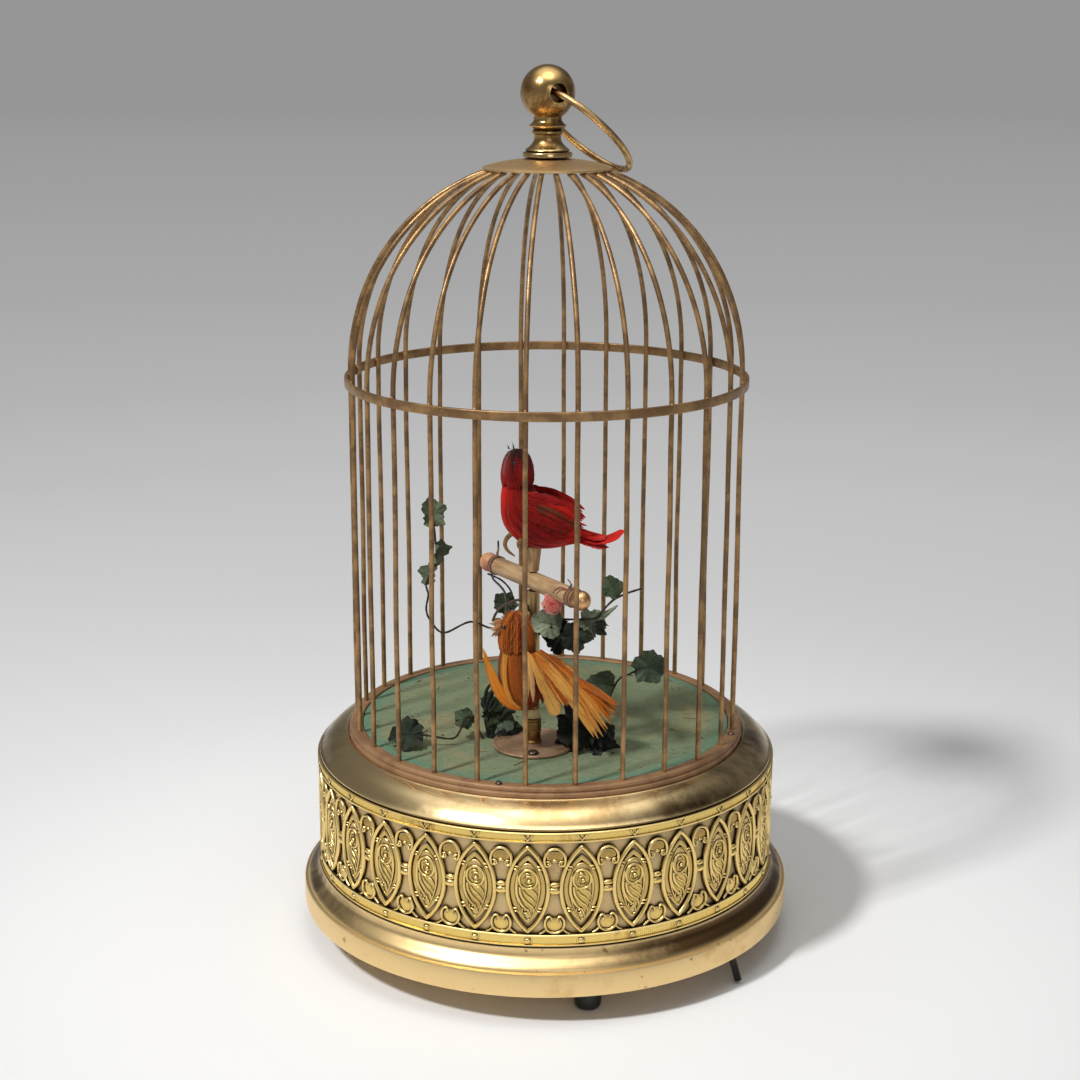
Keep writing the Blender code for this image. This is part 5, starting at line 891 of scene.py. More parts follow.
crumb_tan = coated("crumb_tan", (0.34, 0.24, 0.12), (0.10, 0.07, 0.035), 500.0, 0.85)
chance = Random(7)
crumbs = []
for i in range(64):
    reach, angle = 57.0 * sqrt(chance.random()), 2 * pi * chance.random()
    x, y = reach * cos(angle), reach * sin(angle)
    if hypot(x - POST_AT[0], y - POST_AT[1]) < 15.5:
        continue
    if i % 3:
        size = chance.uniform(0.16, 0.42)
        points = [Vector((x, y, felt_high + size * 0.6))
                  + Vector((chance.uniform(-1, 1), chance.uniform(-1, 1), 0.3)) * t
                  for t in (0.0, size * 0.8, size * 1.6)]
        crumbs.append(tube([p * MM for p in points], [size * 0.4 * MM, size * MM, size * 0.3 * MM], 5))
    else:
        length, bend = chance.uniform(1.5, 4.5), chance.uniform(-1.2, 1.2)
        line = [Vector((x + length * t * cos(angle * 3), y + length * t * sin(angle * 3) + bend * t * (1 - t),
                        felt_high + 0.2)) for t in (0, 0.33, 0.66, 1.0)]
        crumbs.append(tube([p * MM for p in line], 0.17 * MM, 5))
litter = shape("felt_litter", *gathered(crumbs), crumb_tan, merge=False)
fit(litter, "base", "green_felt", "floor_felt")

# Stand: a round foot plate with a stepped sleeve turned on it, browned copper, held by one dark slotted screw.
# A bone collar sits on the sleeve, and the plain brass post tube goes up to the perch.
stand_low, sleeve_top = extent("stand_plate")[1:]
stand_copper = coated("stand_copper", (0.37, 0.225, 0.130), (0.23, 0.13, 0.07), 150.0, 0.45, metallic=0.25, shift=0.55)
sleeve_brass = brass("sleeve_brass", (0.32, 0.19, 0.06), (0.12, 0.062, 0.02), 160.0, 0.50, 0.14, 0.34, 0.50, 0.4, 0.3)
plate_profile = eased([(POST_BORE, stand_low), (13.2, stand_low), (13.2, stand_low + 0.55), (12.75, stand_low + 0.88),
                       (12.2, stand_low + 0.88), (12.0, stand_low + 0.72), (11.6, stand_low + 0.72),
                       (11.3, stand_low + 0.9), (POST_BORE, stand_low + 0.9)], 0.08, 2)
plate = lathe("stand_plate_turned", plate_profile, stand_copper, 120, POST_AT, 30.0)
screw_at = extent("stand_screw")[0]
fit(drilled(plate, screw_at, stand_low - 1, stand_low + 2, 1.2), "base", "copper_brown", "stand_plate")
floor_of_sleeve = stand_low + 0.9
middle_step = floor_of_sleeve + (sleeve_top - floor_of_sleeve) * 0.55
sleeve_profile = eased([
    (POST_BORE, floor_of_sleeve - 0.01), (2.75, floor_of_sleeve - 0.01), (2.8, floor_of_sleeve + 0.5),
    (2.4, floor_of_sleeve + 0.9), (2.35, middle_step - 0.75), (2.6, middle_step - 0.6), (2.6, middle_step - 0.1),
    (2.4, middle_step), (2.6, middle_step + 0.15), (2.6, sleeve_top - 0.9), (2.45, sleeve_top - 0.75),
    (2.6, sleeve_top - 0.55), (2.6, sleeve_top - 0.12), (2.5, sleeve_top), (POST_BORE, sleeve_top)], 0.1, 2)
sleeve = lathe("stand_sleeve_turned", sleeve_profile, sleeve_brass, 64, POST_AT, 30.0)
fit(sleeve, "base", "copper_brown", "stand_plate")
screw = screw_head("stand_screw_head", screw_at, floor_of_sleeve + 0.3, 1.75, 0.9, 0.42, 0.45, dark_steel)
shank_top = floor_of_sleeve + 0.32
shank = lathe("stand_screw_shank", [(0, stand_low), (0.93, stand_low), (0.93, shank_top), (0, shank_top)], dark_steel,
              20, screw_at)
fit(screw, "base", "steel", "stand_screw")
fit(shank, "base", "steel", "stand_screw")

bone = coated("bone_ivory", (0.84, 0.64, 0.32), (0.60, 0.40, 0.17), 130.0, 0.38, grain=(3.0, 3.0, 0.6), bump=0.12)
low, high = extent("post_collar")[1:]
collar_profile = eased([(POST_BORE, low), (2.15, low), (2.15, high - 0.7), (1.95, high - 0.45), (2.1, high - 0.3),
                        (2.1, high), (POST_BORE, high)], 0.15, 2)
fit(lathe("post_collar_turned", collar_profile, bone, 48, POST_AT, 35.0), "base", "bone", "post_collar")
post_brass = brass("post_brass", (0.58, 0.40, 0.17), (0.28, 0.17, 0.07), 120.0, 0.54, 0.14, 0.28, 0.44, 0.0, 0.3)
low, high = extent("stand_post")[1:]
post_profile = eased([(POST_BORE, low), (2.0, low), (2.0, high), (POST_BORE, high)], 0.12, 2)
fit(lathe("stand_post_tube", post_profile, post_brass, 48, POST_AT, 35.0), "base", "movement_brass", "stand_post")

# Perch: a pale turned rod across the top of the post, one end a blushed ball and the other a gilt one, whipped with
# black and russet thread near both ends; the threads' ends are left loose. A tapered ivory stem stands on its middle.
PERCH_HIGH = 125.8
perch_way = Vector((cos(radians(-56.2)), sin(radians(-56.2)), 0))
perch_mid = Vector((*POST_AT, PERCH_HIGH))
perch_side = Vector((-perch_way.y, perch_way.x, 0))
perch_wood, tree, place = new_material("perch_wood")
inputs = {"Vector": place, "Rotation": (0, 0, radians(56.2))}
turned_place = node(tree, "ShaderNodeMapping", inputs).outputs[0]
grain = node(tree, "ShaderNodeMapping", {"Vector": turned_place, "Scale": (0.12, 1.0, 1.0)}).outputs[0]
streaks = speckle(tree, grain, 900.0, 4.0, 0.6)
blotch = speckle(tree, place, 140.0, 3.0)
along = node(tree, "ShaderNodeSeparateXYZ", {0: turned_place}).outputs[0]
colour = blend(tree, spread(tree, streaks, 0.38, 0.70), (0.54, 0.355, 0.185), (0.36, 0.205, 0.092))
colour = blend(tree, times(tree, spread(tree, blotch, 0.52, 0.72), 0.5), colour, (0.23, 0.125, 0.055))
ball_share = spread(tree, along, -0.0022, -0.0032)
colour = blend(tree, ball_share, colour, (0.66, 0.32, 0.15))
blush = times(tree, ball_share, spread(tree, blotch, 0.50, 0.40))
colour = blend(tree, blush, colour, (0.66, 0.20, 0.17))
close_material(tree, colour, 0.5, (0.25, 0.0003, streaks))


def turned_bar(name, profile, material):
    """A turned bar along the perch: profile is (distance from the perch's middle, radius) in millimetres."""
    path = [(perch_mid + perch_way * d) * MM for d, _ in profile]
    return shape(name, *tube(path, [max(r, 0.005) * MM for _, r in profile], 40), material, 40.0)

ROD, KNOB = 2.85, 3.1
rod_profile = []
for i in range(13):
    angle = pi * (1.0 - 0.74 * i / 12)
    rod_profile.append((-25.9 + KNOB * cos(angle), KNOB * sin(angle)))
rod_profile += [(-23.2, 2.1), (-22.9, 2.35), (-22.5, 2.75), (-22.2, ROD), (-20.6, ROD), (-20.5, 2.75), (-20.3, 2.75),
                (-20.2, ROD)]
rod_profile += [(-19.0 + 2.0 * i, ROD) for i in range(20)]
rod_profile += [(20.2, ROD), (20.3, 2.75), (20.5, 2.75), (20.6, ROD), (22.4, ROD), (22.75, 2.7), (23.0, 2.4),
                (23.05, 0.005)]
perch = drilled(turned_bar("perch_turned", rod_profile, perch_wood), POST_AT, PERCH_HIGH - 5, PERCH_HIGH + 5, POST_BORE)
fit(perch, "base", "pale_wood", "perch_rod")
knob_profile = [(23.3, 1.2), (23.35, 1.9), (23.6, 2.25), (23.9, 2.3), (24.1, 2.15), (24.3, 2.25)]
for i in range(1, 16):
    angle = pi * (0.80 - 0.80 * i / 15)
    knob_profile.append((25.95 + KNOB * cos(angle), KNOB * sin(angle)))
knob_brass = brass("knob_brass", (0.74, 0.44, 0.22), (0.50, 0.28, 0.13), 90.0, 0.66, 0.12, 0.30, 0.38)
fit(turned_bar("perch_knob_turned", knob_profile, knob_brass), "base", "gilt_brass", "perch_knob")

stem_low, stem_high = extent("bird_stem")[1:]
stem_profile = eased([(POST_BORE, stem_low), (1.7, stem_low), (1.95, stem_low + 2.6), (2.45, stem_high - 1.2),
                      (2.5, stem_high), (POST_BORE, stem_high)], 0.3, 2)
stem_ivory = coated("stem_ivory", (0.70, 0.49, 0.23), (0.34, 0.18, 0.06), 150.0, 0.40, grain=(4.0, 4.0, 0.5), bump=0.2,
                    shift=0.42)
fit(lathe("bird_stem_turned", stem_profile, stem_ivory, 48, POST_AT, 35.0), "base", "bone", "bird_stem")


def whipping(at, rounds, radius, thick, lean=0.0, phase=0.0):
    """Thread wound round the perch, from a distance along it. Sizes in millimetres."""
    path = []
    for i in range(int(rounds * 26) + 1):
        angle = 2 * pi * i / 26 + phase
        drift = at + thick * 1.9 * i / 26 + lean * sin(angle)
        out = perch_side * cos(angle) + Vector((0, 0, 1)) * sin(angle)
        path.append((perch_mid + perch_way * drift + out * (radius + thick)) * MM)
    return tube(path, thick * MM, 6)


def strand(thick, *points):
    """A loose end of thread. Its points are distances along the perch, in front of it and over its axis."""
    line = [perch_mid + perch_way * along - perch_side * out + Vector((0, 0, high)) for along, out, high in points]
    return tube([p * MM for p in smoothed(line, 5)], thick * MM, 6)


for name, colour, dark, parts in (
        ("thread_black", (0.012, 0.012, 0.012), (0.03, 0.028, 0.026), [
            whipping(-22.6, 1.5, 2.5, 0.22), whipping(-20.9, 1.2, ROD, 0.20, 0.25),
            strand(0.34, (-22.6, -1.0, 2.6), (-22.4, -1.2, 4.6), (-22.0, -1.0, 6.3), (-21.6, -0.7, 7.9)),
            strand(0.38, (-22.4, 1.4, -2.3), (-20.0, 2.2, -4.0), (-15.6, 2.6, -5.0), (-12.0, 3.0, -6.4),
                   (-10.4, 3.2, -9.4), (-10.2, 3.2, -12.9)),
            strand(0.24, (21.0, 1.0, 2.7), (22.4, 1.8, 3.6), (24.0, 2.0, 4.9))]),
        ("thread_russet", (0.26, 0.075, 0.035), (0.13, 0.04, 0.022), [
            whipping(-22.2, 2.0, ROD, 0.19, 0.2), whipping(-20.6, 1.0, ROD, 0.18, 0.4, 1.0),
            whipping(20.9, 1.6, ROD, 0.20, 0.35), whipping(22.5, 1.3, 2.7, 0.20),
            strand(0.30, (20.6, 1.6, 2.3), (18.9, 2.6, 2.8), (17.6, 3.4, 2.0), (16.8, 4.0, 0.9)),
            strand(0.22, (21.4, 0.2, 2.8), (21.0, 0.4, 4.4), (20.0, 0.8, 5.4))]),
        ("thread_tan", (0.40, 0.25, 0.11), (0.24, 0.14, 0.06), [
            strand(0.36, (-20.6, 0.6, 2.6), (-19.9, 0.9, 4.0), (-18.9, 1.2, 5.4), (-18.3, 1.2, 6.6)),
            whipping(-21.3, 1.0, ROD, 0.20, 0.1, 0.5), whipping(22.0, 1.0, ROD, 0.22, 0.2, 0.4)])):
    thread = coated(name, colour, dark, 900.0, 0.8, sheen=0.4, bump=0.4, grain=(1.0, 1.0, 3.0))
    fit(shape("perch_" + name, *gathered(parts), thread, 60.0, merge=False), "base", "pale_wood", "perch_rod")

# Red bird: a body moulded over a core and covered with dyed feathers laid from tail to head, standing on the stem.
# The breast is painted bright red and the middle dark, partly its own colours and partly painted light and shade
# from the lamp at the front left; the wings carry streaks of olive brown.
RED_BRIGHT, RED_MID, RED_DARK = (0.68, 0.016, 0.008), (0.33, 0.008, 0.005), (0.125, 0.004, 0.003)
RED_PALE, OLIVE, OLIVE_DARK = (0.70, 0.09, 0.08), (0.135, 0.042, 0.016), (0.060, 0.020, 0.008)


def dyed_material(name):
    """An empty material: itself, its tree, each point's place, the piece's own dye, and the way along and across."""
    made, tree, place = new_material(name)
    dye = node(tree, "ShaderNodeAttribute", attribute_name="dye").outputs["Color"]
    axis = node(tree, "ShaderNodeSeparateXYZ", {0: node(tree, "ShaderNodeUVMap").outputs[0]}).outputs
    return made, tree, place, dye, axis, sums(tree, "ABSOLUTE", sums(tree, "SUBTRACT", axis[1], 0.5))


def toned(tree, dye, saturation, value):
    """A dye made paler, deeper or stronger."""
    inputs = {"Color": dye, "Saturation": saturation, "Value": value}
    return node(tree, "ShaderNodeHueSaturation", inputs).outputs[0]


def feather_material(name, sheen):
    """Dyed feather: the dye comes from the piece's own colour, crossed by fine barbs that slant from the shaft."""
    made, tree, place, dye, axis, across = dyed_material(name)
    slant = sums(tree, "SUBTRACT", axis[0], times(tree, across, 0.55))
    barbs = node(tree, "ShaderNodeCombineXYZ", {0: times(tree, slant, 36.0), 1: times(tree, axis[1], 2.5)}).outputs[0]
    barb = speckle(tree, barbs, 1.0, 3.0, 0.6)
    fuzz = speckle(tree, place, 650.0, 4.0, 0.65)
    darker, lighter = toned(tree, dye, 1.05, 0.38), toned(tree, dye, 0.94, 1.45)
    colour = blend(tree, times(tree, spread(tree, barb, 0.48, 0.30), 0.75), dye, darker)
    colour = blend(tree, times(tree, spread(tree, fuzz, 0.50, 0.72), 0.3), colour, lighter)
    colour = blend(tree, times(tree, spread(tree, across, 0.07, 0.02), 0.35), colour, darker)
    height = plus(tree, barb, times(tree, fuzz, 0.6))
    close_material(tree, colour, 0.72, (0.5, 0.0002, height), Sheen_Weight=sheen, Sheen_Roughness=0.45,
                   Specular_IOR_Level=0.14)
    return made


red_plume = feather_material("red_plume", 0.06)


def dyed(name, parts, material, smooth=60.0):
    """Puts feathers and cores together. Each part is points in millimetres, faces, dyes and (u, v) for each point."""
    vertices, faces = gathered([part[:2] for part in parts])
    piece = new_piece(name, [p * MM for p in vertices], faces, material)
    paint = piece.data.attributes.new("dye", "FLOAT_COLOR", "POINT")
    for item, colour in zip(paint.data, [dye for part in parts for dye in part[2]]):
        item.color = (*colour, 1.0)
    places = [place for part in parts for place in part[3]]
    chart = piece.data.uv_layers.new(name="UVMap")
    for loop in piece.data.loops:
        chart.data[loop.index].uv = places[loop.vertex_index]
    shaded(piece.data, smooth)
    return piece


def tinted(first, second, share):
    share = min(1.0, max(0.0, share))
    return tuple(a + (b - a) * share for a, b in zip(first, second))


def sheet_faces(rows, columns):
    """Faces of a thin sheet: a grid of points for its upper side, one for its lower side, and the rim between them."""
    size = rows * columns
    faces = []
    for i in range(rows - 1):
        for j in range(columns - 1):
            a = i * columns + j
            faces.append((a, a + 1, a + columns + 1, a + columns))
            faces.append((size + a, size + a + columns, size + a + columns + 1, size + a + 1))
    rim = [i * columns for i in range(rows)] + [(rows - 1) * columns + j for j in range(1, columns)]
    rim += [i * columns + columns - 1 for i in range(rows - 2, -1, -1)] + list(range(columns - 2, 0, -1))
    return faces + [(a, a + size, b + size, b) for a, b in zip(rim, rim[1:] + rim[:1])]


def vane(path, width, face, dye, cup, thick, ragged, seed, outline, columns):
    """A feather's blade along a path, thin and slightly cupped, with ragged edges. Sizes in millimetres.

    width is its greatest half width, outline gives the width's share along it, face the way its upper side looks,
    and dye its colour: one, or a function of the share along and across.
    """
    rough = Random(seed)
    vertices, dyes, uvs = [], [], []
    for side in (1, -1):
        for i, point in enumerate(path):
            t = i / (len(path) - 1)
            run = heading(path, i)
            across = run.cross(Vector(face)).normalized()
            up = across.cross(run).normalized()
            share = outline(t)
            for j in range(columns):
                v = 2 * j / (columns - 1) - 1
                edge = 1.0 + (ragged * rough.uniform(-1, 1) if abs(v) > 0.9 else 0.0)
                slip = run * (abs(v) * share * width * 0.35)
                lift = -cup * width * share * v * v
                thin = thick * (1 - 0.55 * t) * (1 - 0.7 * abs(v)) * 0.5 + 0.012
                vertices.append(point + across * v * share * width * edge + up * (lift + side * thin) + slip)
                dyes.append(dye(t, v) if callable(dye) else dye)
                uvs.append((t, 0.5 + 0.5 * v))
    return vertices, [tuple(reversed(face)) for face in sheet_faces(len(path), columns)], dyes, uvs


def core(stations, y, dye, around=28, steps=4, start=Vector((0, 0, -1)), shrink=1.0):
    """A bird's core through stations of (x, z, half depth, half width) in millimetres, with its feathers' way."""
    rows = smoothed([(a, b, 0) for a, b, _, _ in stations], steps)
    sizes = smoothed([(c, d, 0) for _, _, c, d in stations], steps)
    vertices, dyes, uvs, flows = [], [], [], []
    count = len(rows)
    for i, (middle, size) in enumerate(zip(rows, sizes)):
        ahead, behind = rows[min(i + 1, count - 1)], rows[max(i - 1, 0)]
        run = Vector((ahead.x - behind.x, 0, ahead.y - behind.y)).normalized() if i else start
        across = Vector((-run.z, 0, run.x))
        for s, angle in enumerate(turns(around)):
            out = across * (size.x * shrink * cos(angle)) + Vector((0, size.y * shrink * sin(angle), 0))
            point = Vector((middle.x, y, middle.y)) + out
            vertices.append(point)
            dyes.append(dye(i / (count - 1), point))
            uvs.append((i / (count - 1), s / around))
            flows.append(run)
    return (vertices, bands(count, around), dyes, uvs), flows


def with_flow(piece, flows):
    """Keeps the way in which feathers lie at each point of a core."""
    lie = piece.data.attributes.new("flow", "FLOAT_VECTOR", "POINT")
    for item, flow in zip(lie.data, flows):
        item.vector = flow
    return piece

def bowed(start, end, bow, steps=12):
    """A path from one point to another, bowed sideways at its middle."""
    start, end, bow = Vector(start), Vector(end), Vector(bow)
    return [start.lerp(end, i / steps) + bow * sin(pi * i / steps) for i in range(steps + 1)]


def quill_outline(blunt):
    """A long feather's outline: narrow at the quill, full in the middle and rounded or pointed at the tip."""
    return lambda t: min(1.0, 0.25 + 2.6 * t) * (1.0 - max(0.0, (t - blunt) / (1.02 - blunt)) ** 1.7)


def lapped(stations_core, around, tiers, long, width, seed, rise=0.35, over=0.0, vary=0.25):
    """Long soft feathers laid side by side along a core, tier over tier, bent with it and dyed as the core is.

    long is a feather's length as a share of the core's. They lie from the core's start to its end, their roots tucked
    in at the neck. With a length over given they lie back again, and their tips hang that far over the neck.
    """
    towards_start = over > 0
    (points, _, dyes, _), _ = stations_core
    rows = len(points) // around
    parts = []

    def on_core(row, column):
        low = min(rows - 2, max(0, int(row)))
        sides = []
        for s in (int(column) % around, (int(column) + 1) % around):
            sides.append(points[low * around + s].lerp(points[(low + 1) * around + s], row - low))
        return sides[0].lerp(sides[1], column % 1)

    middles = [sum((points[row * around + c] for c in range(around)), Vector()) / around for row in range(rows)]
    for tier in range(tiers):
        for column in range(around):
            chance = Random(seed + tier * around + column)
            root = (rows - 1) * (1 - long) * (tier + chance.uniform(-0.4, 0.4)) / max(1, tiers - 1)
            drift = chance.uniform(-0.5, 0.5)
            path, steps = [], 9
            for i in range(steps + 1):
                t = i / steps
                row = min(rows - 1.0, max(0.0, root + (rows - 1) * long * chance.uniform(0.98, 1.02) * t))
                row = rows - 1 - row if towards_start else row
                point = on_core(row, column + 0.5 * (tier % 2) + drift * t)
                out = point - middles[min(rows - 1, int(row))]
                path.append(point + out.normalized() * (0.06 + rise * t) - Vector((0, 0, over * t ** 3)))
            centre = path[steps // 2]
            at_row = min(rows - 1, max(0, int(root + (rows - 1) * long * 0.6)))
            at_row = rows - 1 - at_row if towards_start else at_row
            tone = dyes[at_row * around + column]
            other = tuple(c * (0.45 if chance.random() < 0.5 else 1.5) for c in tone)
            tone = tinted(tone, other, chance.uniform(0, vary))
            dark = tuple(c * 0.45 for c in tone)
            face = centre - middles[at_row]
            if root < 1.5 and not towards_start:
                neck = middles[0].lerp(path[0], 0.5)
                path = [neck, neck.lerp(path[0], 0.75) + Vector((0, 0, 0.12))] + path
                face = face.normalized() + (middles[0] - middles[1]).normalized() * 0.6
            if face.length > 0.3:
                parts.append(vane(
                    path, width * chance.uniform(0.8, 1.15), face,
                    lambda t, v, a=tone, b=dark: tinted(a, b, 0.5 * (1 - t) + 0.25 * abs(v)),
                    0.25, 0.10, 0.25, seed + 31 * column + tier, quill_outline(0.5), 5))
    return parts


def plumage_geometry():
    """A node tree that lays feathers over a core: along its flow, tips lifted, each dyed as the core is under it."""
    tree, given = growing_tree("lay_feathers", ("Feather", "Object"), ("Spacing", "Float"), ("Smallest", "Float"),
                               ("Largest", "Float"), ("Lift", "Float"), ("Stray", "Float"), ("Seed", "Int"))
    points = node(tree, "GeometryNodeDistributePointsOnFaces", {
        "Mesh": given["Geometry"], "Distance Min": given["Spacing"], "Density Max": 9.0e6, "Seed": given["Seed"]},
        distribute_method="POISSON").outputs
    flow = node(tree, "GeometryNodeInputNamedAttribute", {"Name": "flow"}, data_type="FLOAT_VECTOR").outputs[0]
    lie = node(tree, "FunctionNodeAxesToRotation", {0: points["Normal"], 1: flow}, primary_axis="Z", secondary_axis="X")
    lift = times(tree, given["Lift"], -1.0)
    least = {1: times(tree, lift, 0.6), 2: times(tree, given["Stray"], -1.0)}
    most = {1: times(tree, lift, 1.4), 2: given["Stray"]}
    inputs = {"Min": node(tree, "ShaderNodeCombineXYZ", least).outputs[0],
              "Max": node(tree, "ShaderNodeCombineXYZ", most).outputs[0], "Seed": given["Seed"]}
    chance = node(tree, "FunctionNodeRandomValue", inputs, data_type="FLOAT_VECTOR").outputs[0]
    jitter = node(tree, "FunctionNodeEulerToRotation", {0: chance}).outputs[0]
    turn = node(tree, "FunctionNodeRotateRotation", {0: lie.outputs[0], 1: jitter}, rotation_space="LOCAL").outputs[0]
    feather = node(tree, "GeometryNodeObjectInfo", {"Object": given["Feather"]}).outputs["Geometry"]
    end_tree(tree, given, points["Points"], feather, turn, Scale=random_size(tree, given))
    return tree


lay_feathers = plumage_geometry()


def small_feather(name, material, width, seed):
    """One body feather without a dye, a millimetre long, its root at the origin and its tip along +X."""
    path = [Vector((i / 5, 0, 0.10 * sin(pi * i / 5))) for i in range(6)]
    piece = dyed(name, [vane(path, width, (0, 0, 1), (0.5, 0.5, 0.5), 0.35, 0.06, 0.35, seed, columns=3,
                             outline=lambda t: (0.35, 0.85, 1.0, 0.92, 0.62, 0.18)[round(t * 5)])], material)
    piece.data.attributes.remove(piece.data.attributes["dye"])
    return piece


def feathered(name, stations_core, material, spacing, smallest, largest, lift, stray, seed, width):
    """Feathers laid over a core's sides, not its ends or next to the neck. The core stays a piece of its own."""
    (points, faces, dyes, uvs), flows = stations_core
    bare_rows, around = 3, 28
    sides = [face for face in faces if len(face) == 4 and min(face) > bare_rows * around]
    base = with_flow(dyed(name + "_skin", [(points, sides, dyes, uvs)], material), flows)
    feather = small_feather(name + "_feather", material, width, seed)
    settled(base, lay_feathers, {"Feather": feather, "Spacing": spacing * MM, "Smallest": smallest, "Largest": largest,
                                 "Lift": lift, "Stray": stray, "Seed": seed, "Material": material})
    bpy.data.objects.remove(feather)
    return base


RX, RZ = -9.0, 156.8
red_stations = (
    (RX, RZ, 4.9, 4.5), (RX + 0.5, RZ - 4.3, 6.1, 5.8), (RX + 2.5, RZ - 9.2, 7.9, 7.1), (RX + 6.6, RZ - 13.0, 7.5, 7.2),
    (RX + 12.0, RZ - 14.7, 5.7, 5.6), (RX + 17.0, RZ - 15.7, 3.3, 3.4),
)


def red_body_dye_and_light(t, point):
    # Brighter breast, darker middle: partly the bird's own red and partly painted light and shade.
    front = min(1.0, max(0.0, (-9.5 - point.x) / 3.5))
    tone = tinted(RED_DARK, RED_MID, 0.35 + 0.65 * noise.noise(point * 0.35) + 0.3 * t)
    tone = tinted(tone, RED_BRIGHT, front)
    rump = min(1.0, max(0.0, (point.x - 1.0) / 7.0))
    tone = tinted(tone, RED_BRIGHT, rump * 0.75)
    belly = min(1.0, max(0.0, (141.0 - point.z) / 3.0)) * min(1.0, max(0.0, (point.x + 6.0) / 4.0))
    return tinted(tinted(tone, RED_BRIGHT, belly * 0.7), RED_PALE, belly * 0.55)


red_core = core(red_stations, POST_AT[1], red_body_dye_and_light, shrink=0.94)
red_body = drilled(mended(dyed("red_bird_core", [red_core[0]], red_plume)), POST_AT, 130.0, stem_high + 0.2, 2.9, 32)
fit(red_body, "base", "red_feather", "red_bird_body")
red_coat = mended(dyed("red_bird_coat", lapped(red_core, 28, 6, 0.42, 1.15, 700), red_plume))
fit(red_coat, "base", "red_feather", "red_bird_body")
red_down = feathered("red_bird_down", red_core, red_plume, 1.0, 1.4, 2.6, 0.30, 0.4, 11, 0.05)
fit(red_down, "base", "red_feather", "red_bird_body")

claw_horn = coated("claw_horn", (0.28, 0.145, 0.035), (0.11, 0.055, 0.015), 320.0, 0.35, grain=(1.0, 1.0, 2.5),
                  bump=0.3)
claws = []
# Each claw: its size at the root, what it loses towards the tip and how soon, and its points.
for size, loss, power, points in (
        (1.0, 0.75, 1.6, ((-7.4, -28.4, 142.6), (-9.9, -28.9, 141.9), (-12.0, -29.0, 140.4), (-12.9, -29.0, 138.2),
                          (-12.2, -29.0, 136.3), (-10.9, -29.0, 135.1), (-9.8, -29.0, 134.3))),
        (0.95, 0.6, 1.5, ((-6.2, -30.6, 141.6), (-7.9, -31.2, 140.4), (-8.6, -31.4, 138.8), (-8.0, -31.2, 137.4),
                          (-6.9, -30.9, 136.9), (-6.3, -30.7, 137.8)))):
    path = smoothed(points, 5)
    sizes = [(size - loss * (i / (len(path) - 1)) ** power) * 0.86 * MM for i in range(len(path))]
    claws.append(tube([p * MM for p in path], sizes, 10))
claws = shape("red_bird_claws", *gathered(claws), claw_horn, 60.0, merge=False)
fit(claws, "base", "beak_horn", "red_bird_body")
# Red bird's wings: long feathers lapped from the shoulder back, red above, olive brown and streaked in the middle,
# with short coverts over their roots.
for wing, side in (("red_bird_wing_near", -1), ("red_bird_wing_far", 1)):
    parts = []
    near = side < 0
    shoulder = Vector((RX + 3.4, POST_AT[1] + side * 6.9, RZ - (1.0 if near else 2.4)))
    tip = Vector((RX + 21.0, POST_AT[1] + side * 4.9, RZ - 9.3))
    if near:
        tones = (RED_MID, RED_BRIGHT, RED_BRIGHT, RED_MID, OLIVE, OLIVE_DARK, OLIVE, RED_DARK, RED_MID, OLIVE_DARK,
                 OLIVE_DARK, RED_DARK, RED_MID)
    else:
        tones = (RED_BRIGHT, RED_MID, RED_BRIGHT, RED_MID, RED_DARK, RED_MID, RED_DARK, RED_MID, RED_DARK)
    for k, tone in enumerate(tones):
        share = k / (len(tones) - 1)
        start = shoulder + Vector((0.2 + 1.0 * share, side * (0.2 + 0.9 * sin(pi * share)), -7.6 * share))
        end = tip + Vector((-6.0 * share, side * (0.3 + 0.5 * sin(pi * share)), -5.8 * share))
        edge = RED_DARK if tone is not OLIVE else OLIVE_DARK
        dye = lambda t, v, tone=tone, edge=edge, k=k: tinted(
            tinted(tone, edge, max(0.0, abs(v) - 0.45) * 1.3 + 0.2 * (1 - t)), RED_MID,
            0.60 + 1.5 * noise.noise(Vector((4 * t, 0.7 * v, 1.9 * k))) - 0.5 * sin(pi * min(1.0, 1.25 * t)))
        parts.append(vane(bowed(start, end, (0.3, side * (0.9 - 0.2 * share), 1.3 - 1.7 * share)), 1.15,
                          (0.1, side, 0.25), dye, 0.3, 0.12, 0.10, 20 + k, quill_outline(0.72), 7))
    for row in range(4):
        for k in range(7):
            share = k / 6
            start = shoulder + Vector((-0.8 + 2.0 * row + 0.5 * share, side * (1.05 - 0.22 * row),
                                       0.2 - 0.8 * row - 7.4 * share))
            reach = Vector((6.8, -side * 0.7, -2.2 - 0.6 * share))
            tone = tinted(RED_MID, OLIVE if near and k == 2 and row > 0 else RED_DARK,
                          0.2 + 0.2 * (row % 2) + (0.3 if k == 2 else 0.0))
            dye = lambda t, v, tone=tone: tinted(tone, RED_DARK, 0.35 * abs(v))
            parts.append(vane(bowed(start, start + reach, (0, side * 0.45, 0.3 - 0.3 * share), 9), 1.0,
                              (0.1, side, 0.3), dye, 0.4, 0.08, 0.3, 60 + row * 7 + k, quill_outline(0.4), 5))
    fit(mended(dyed(wing + "_feathers", parts, red_plume)), "base", "red_feather", wing)

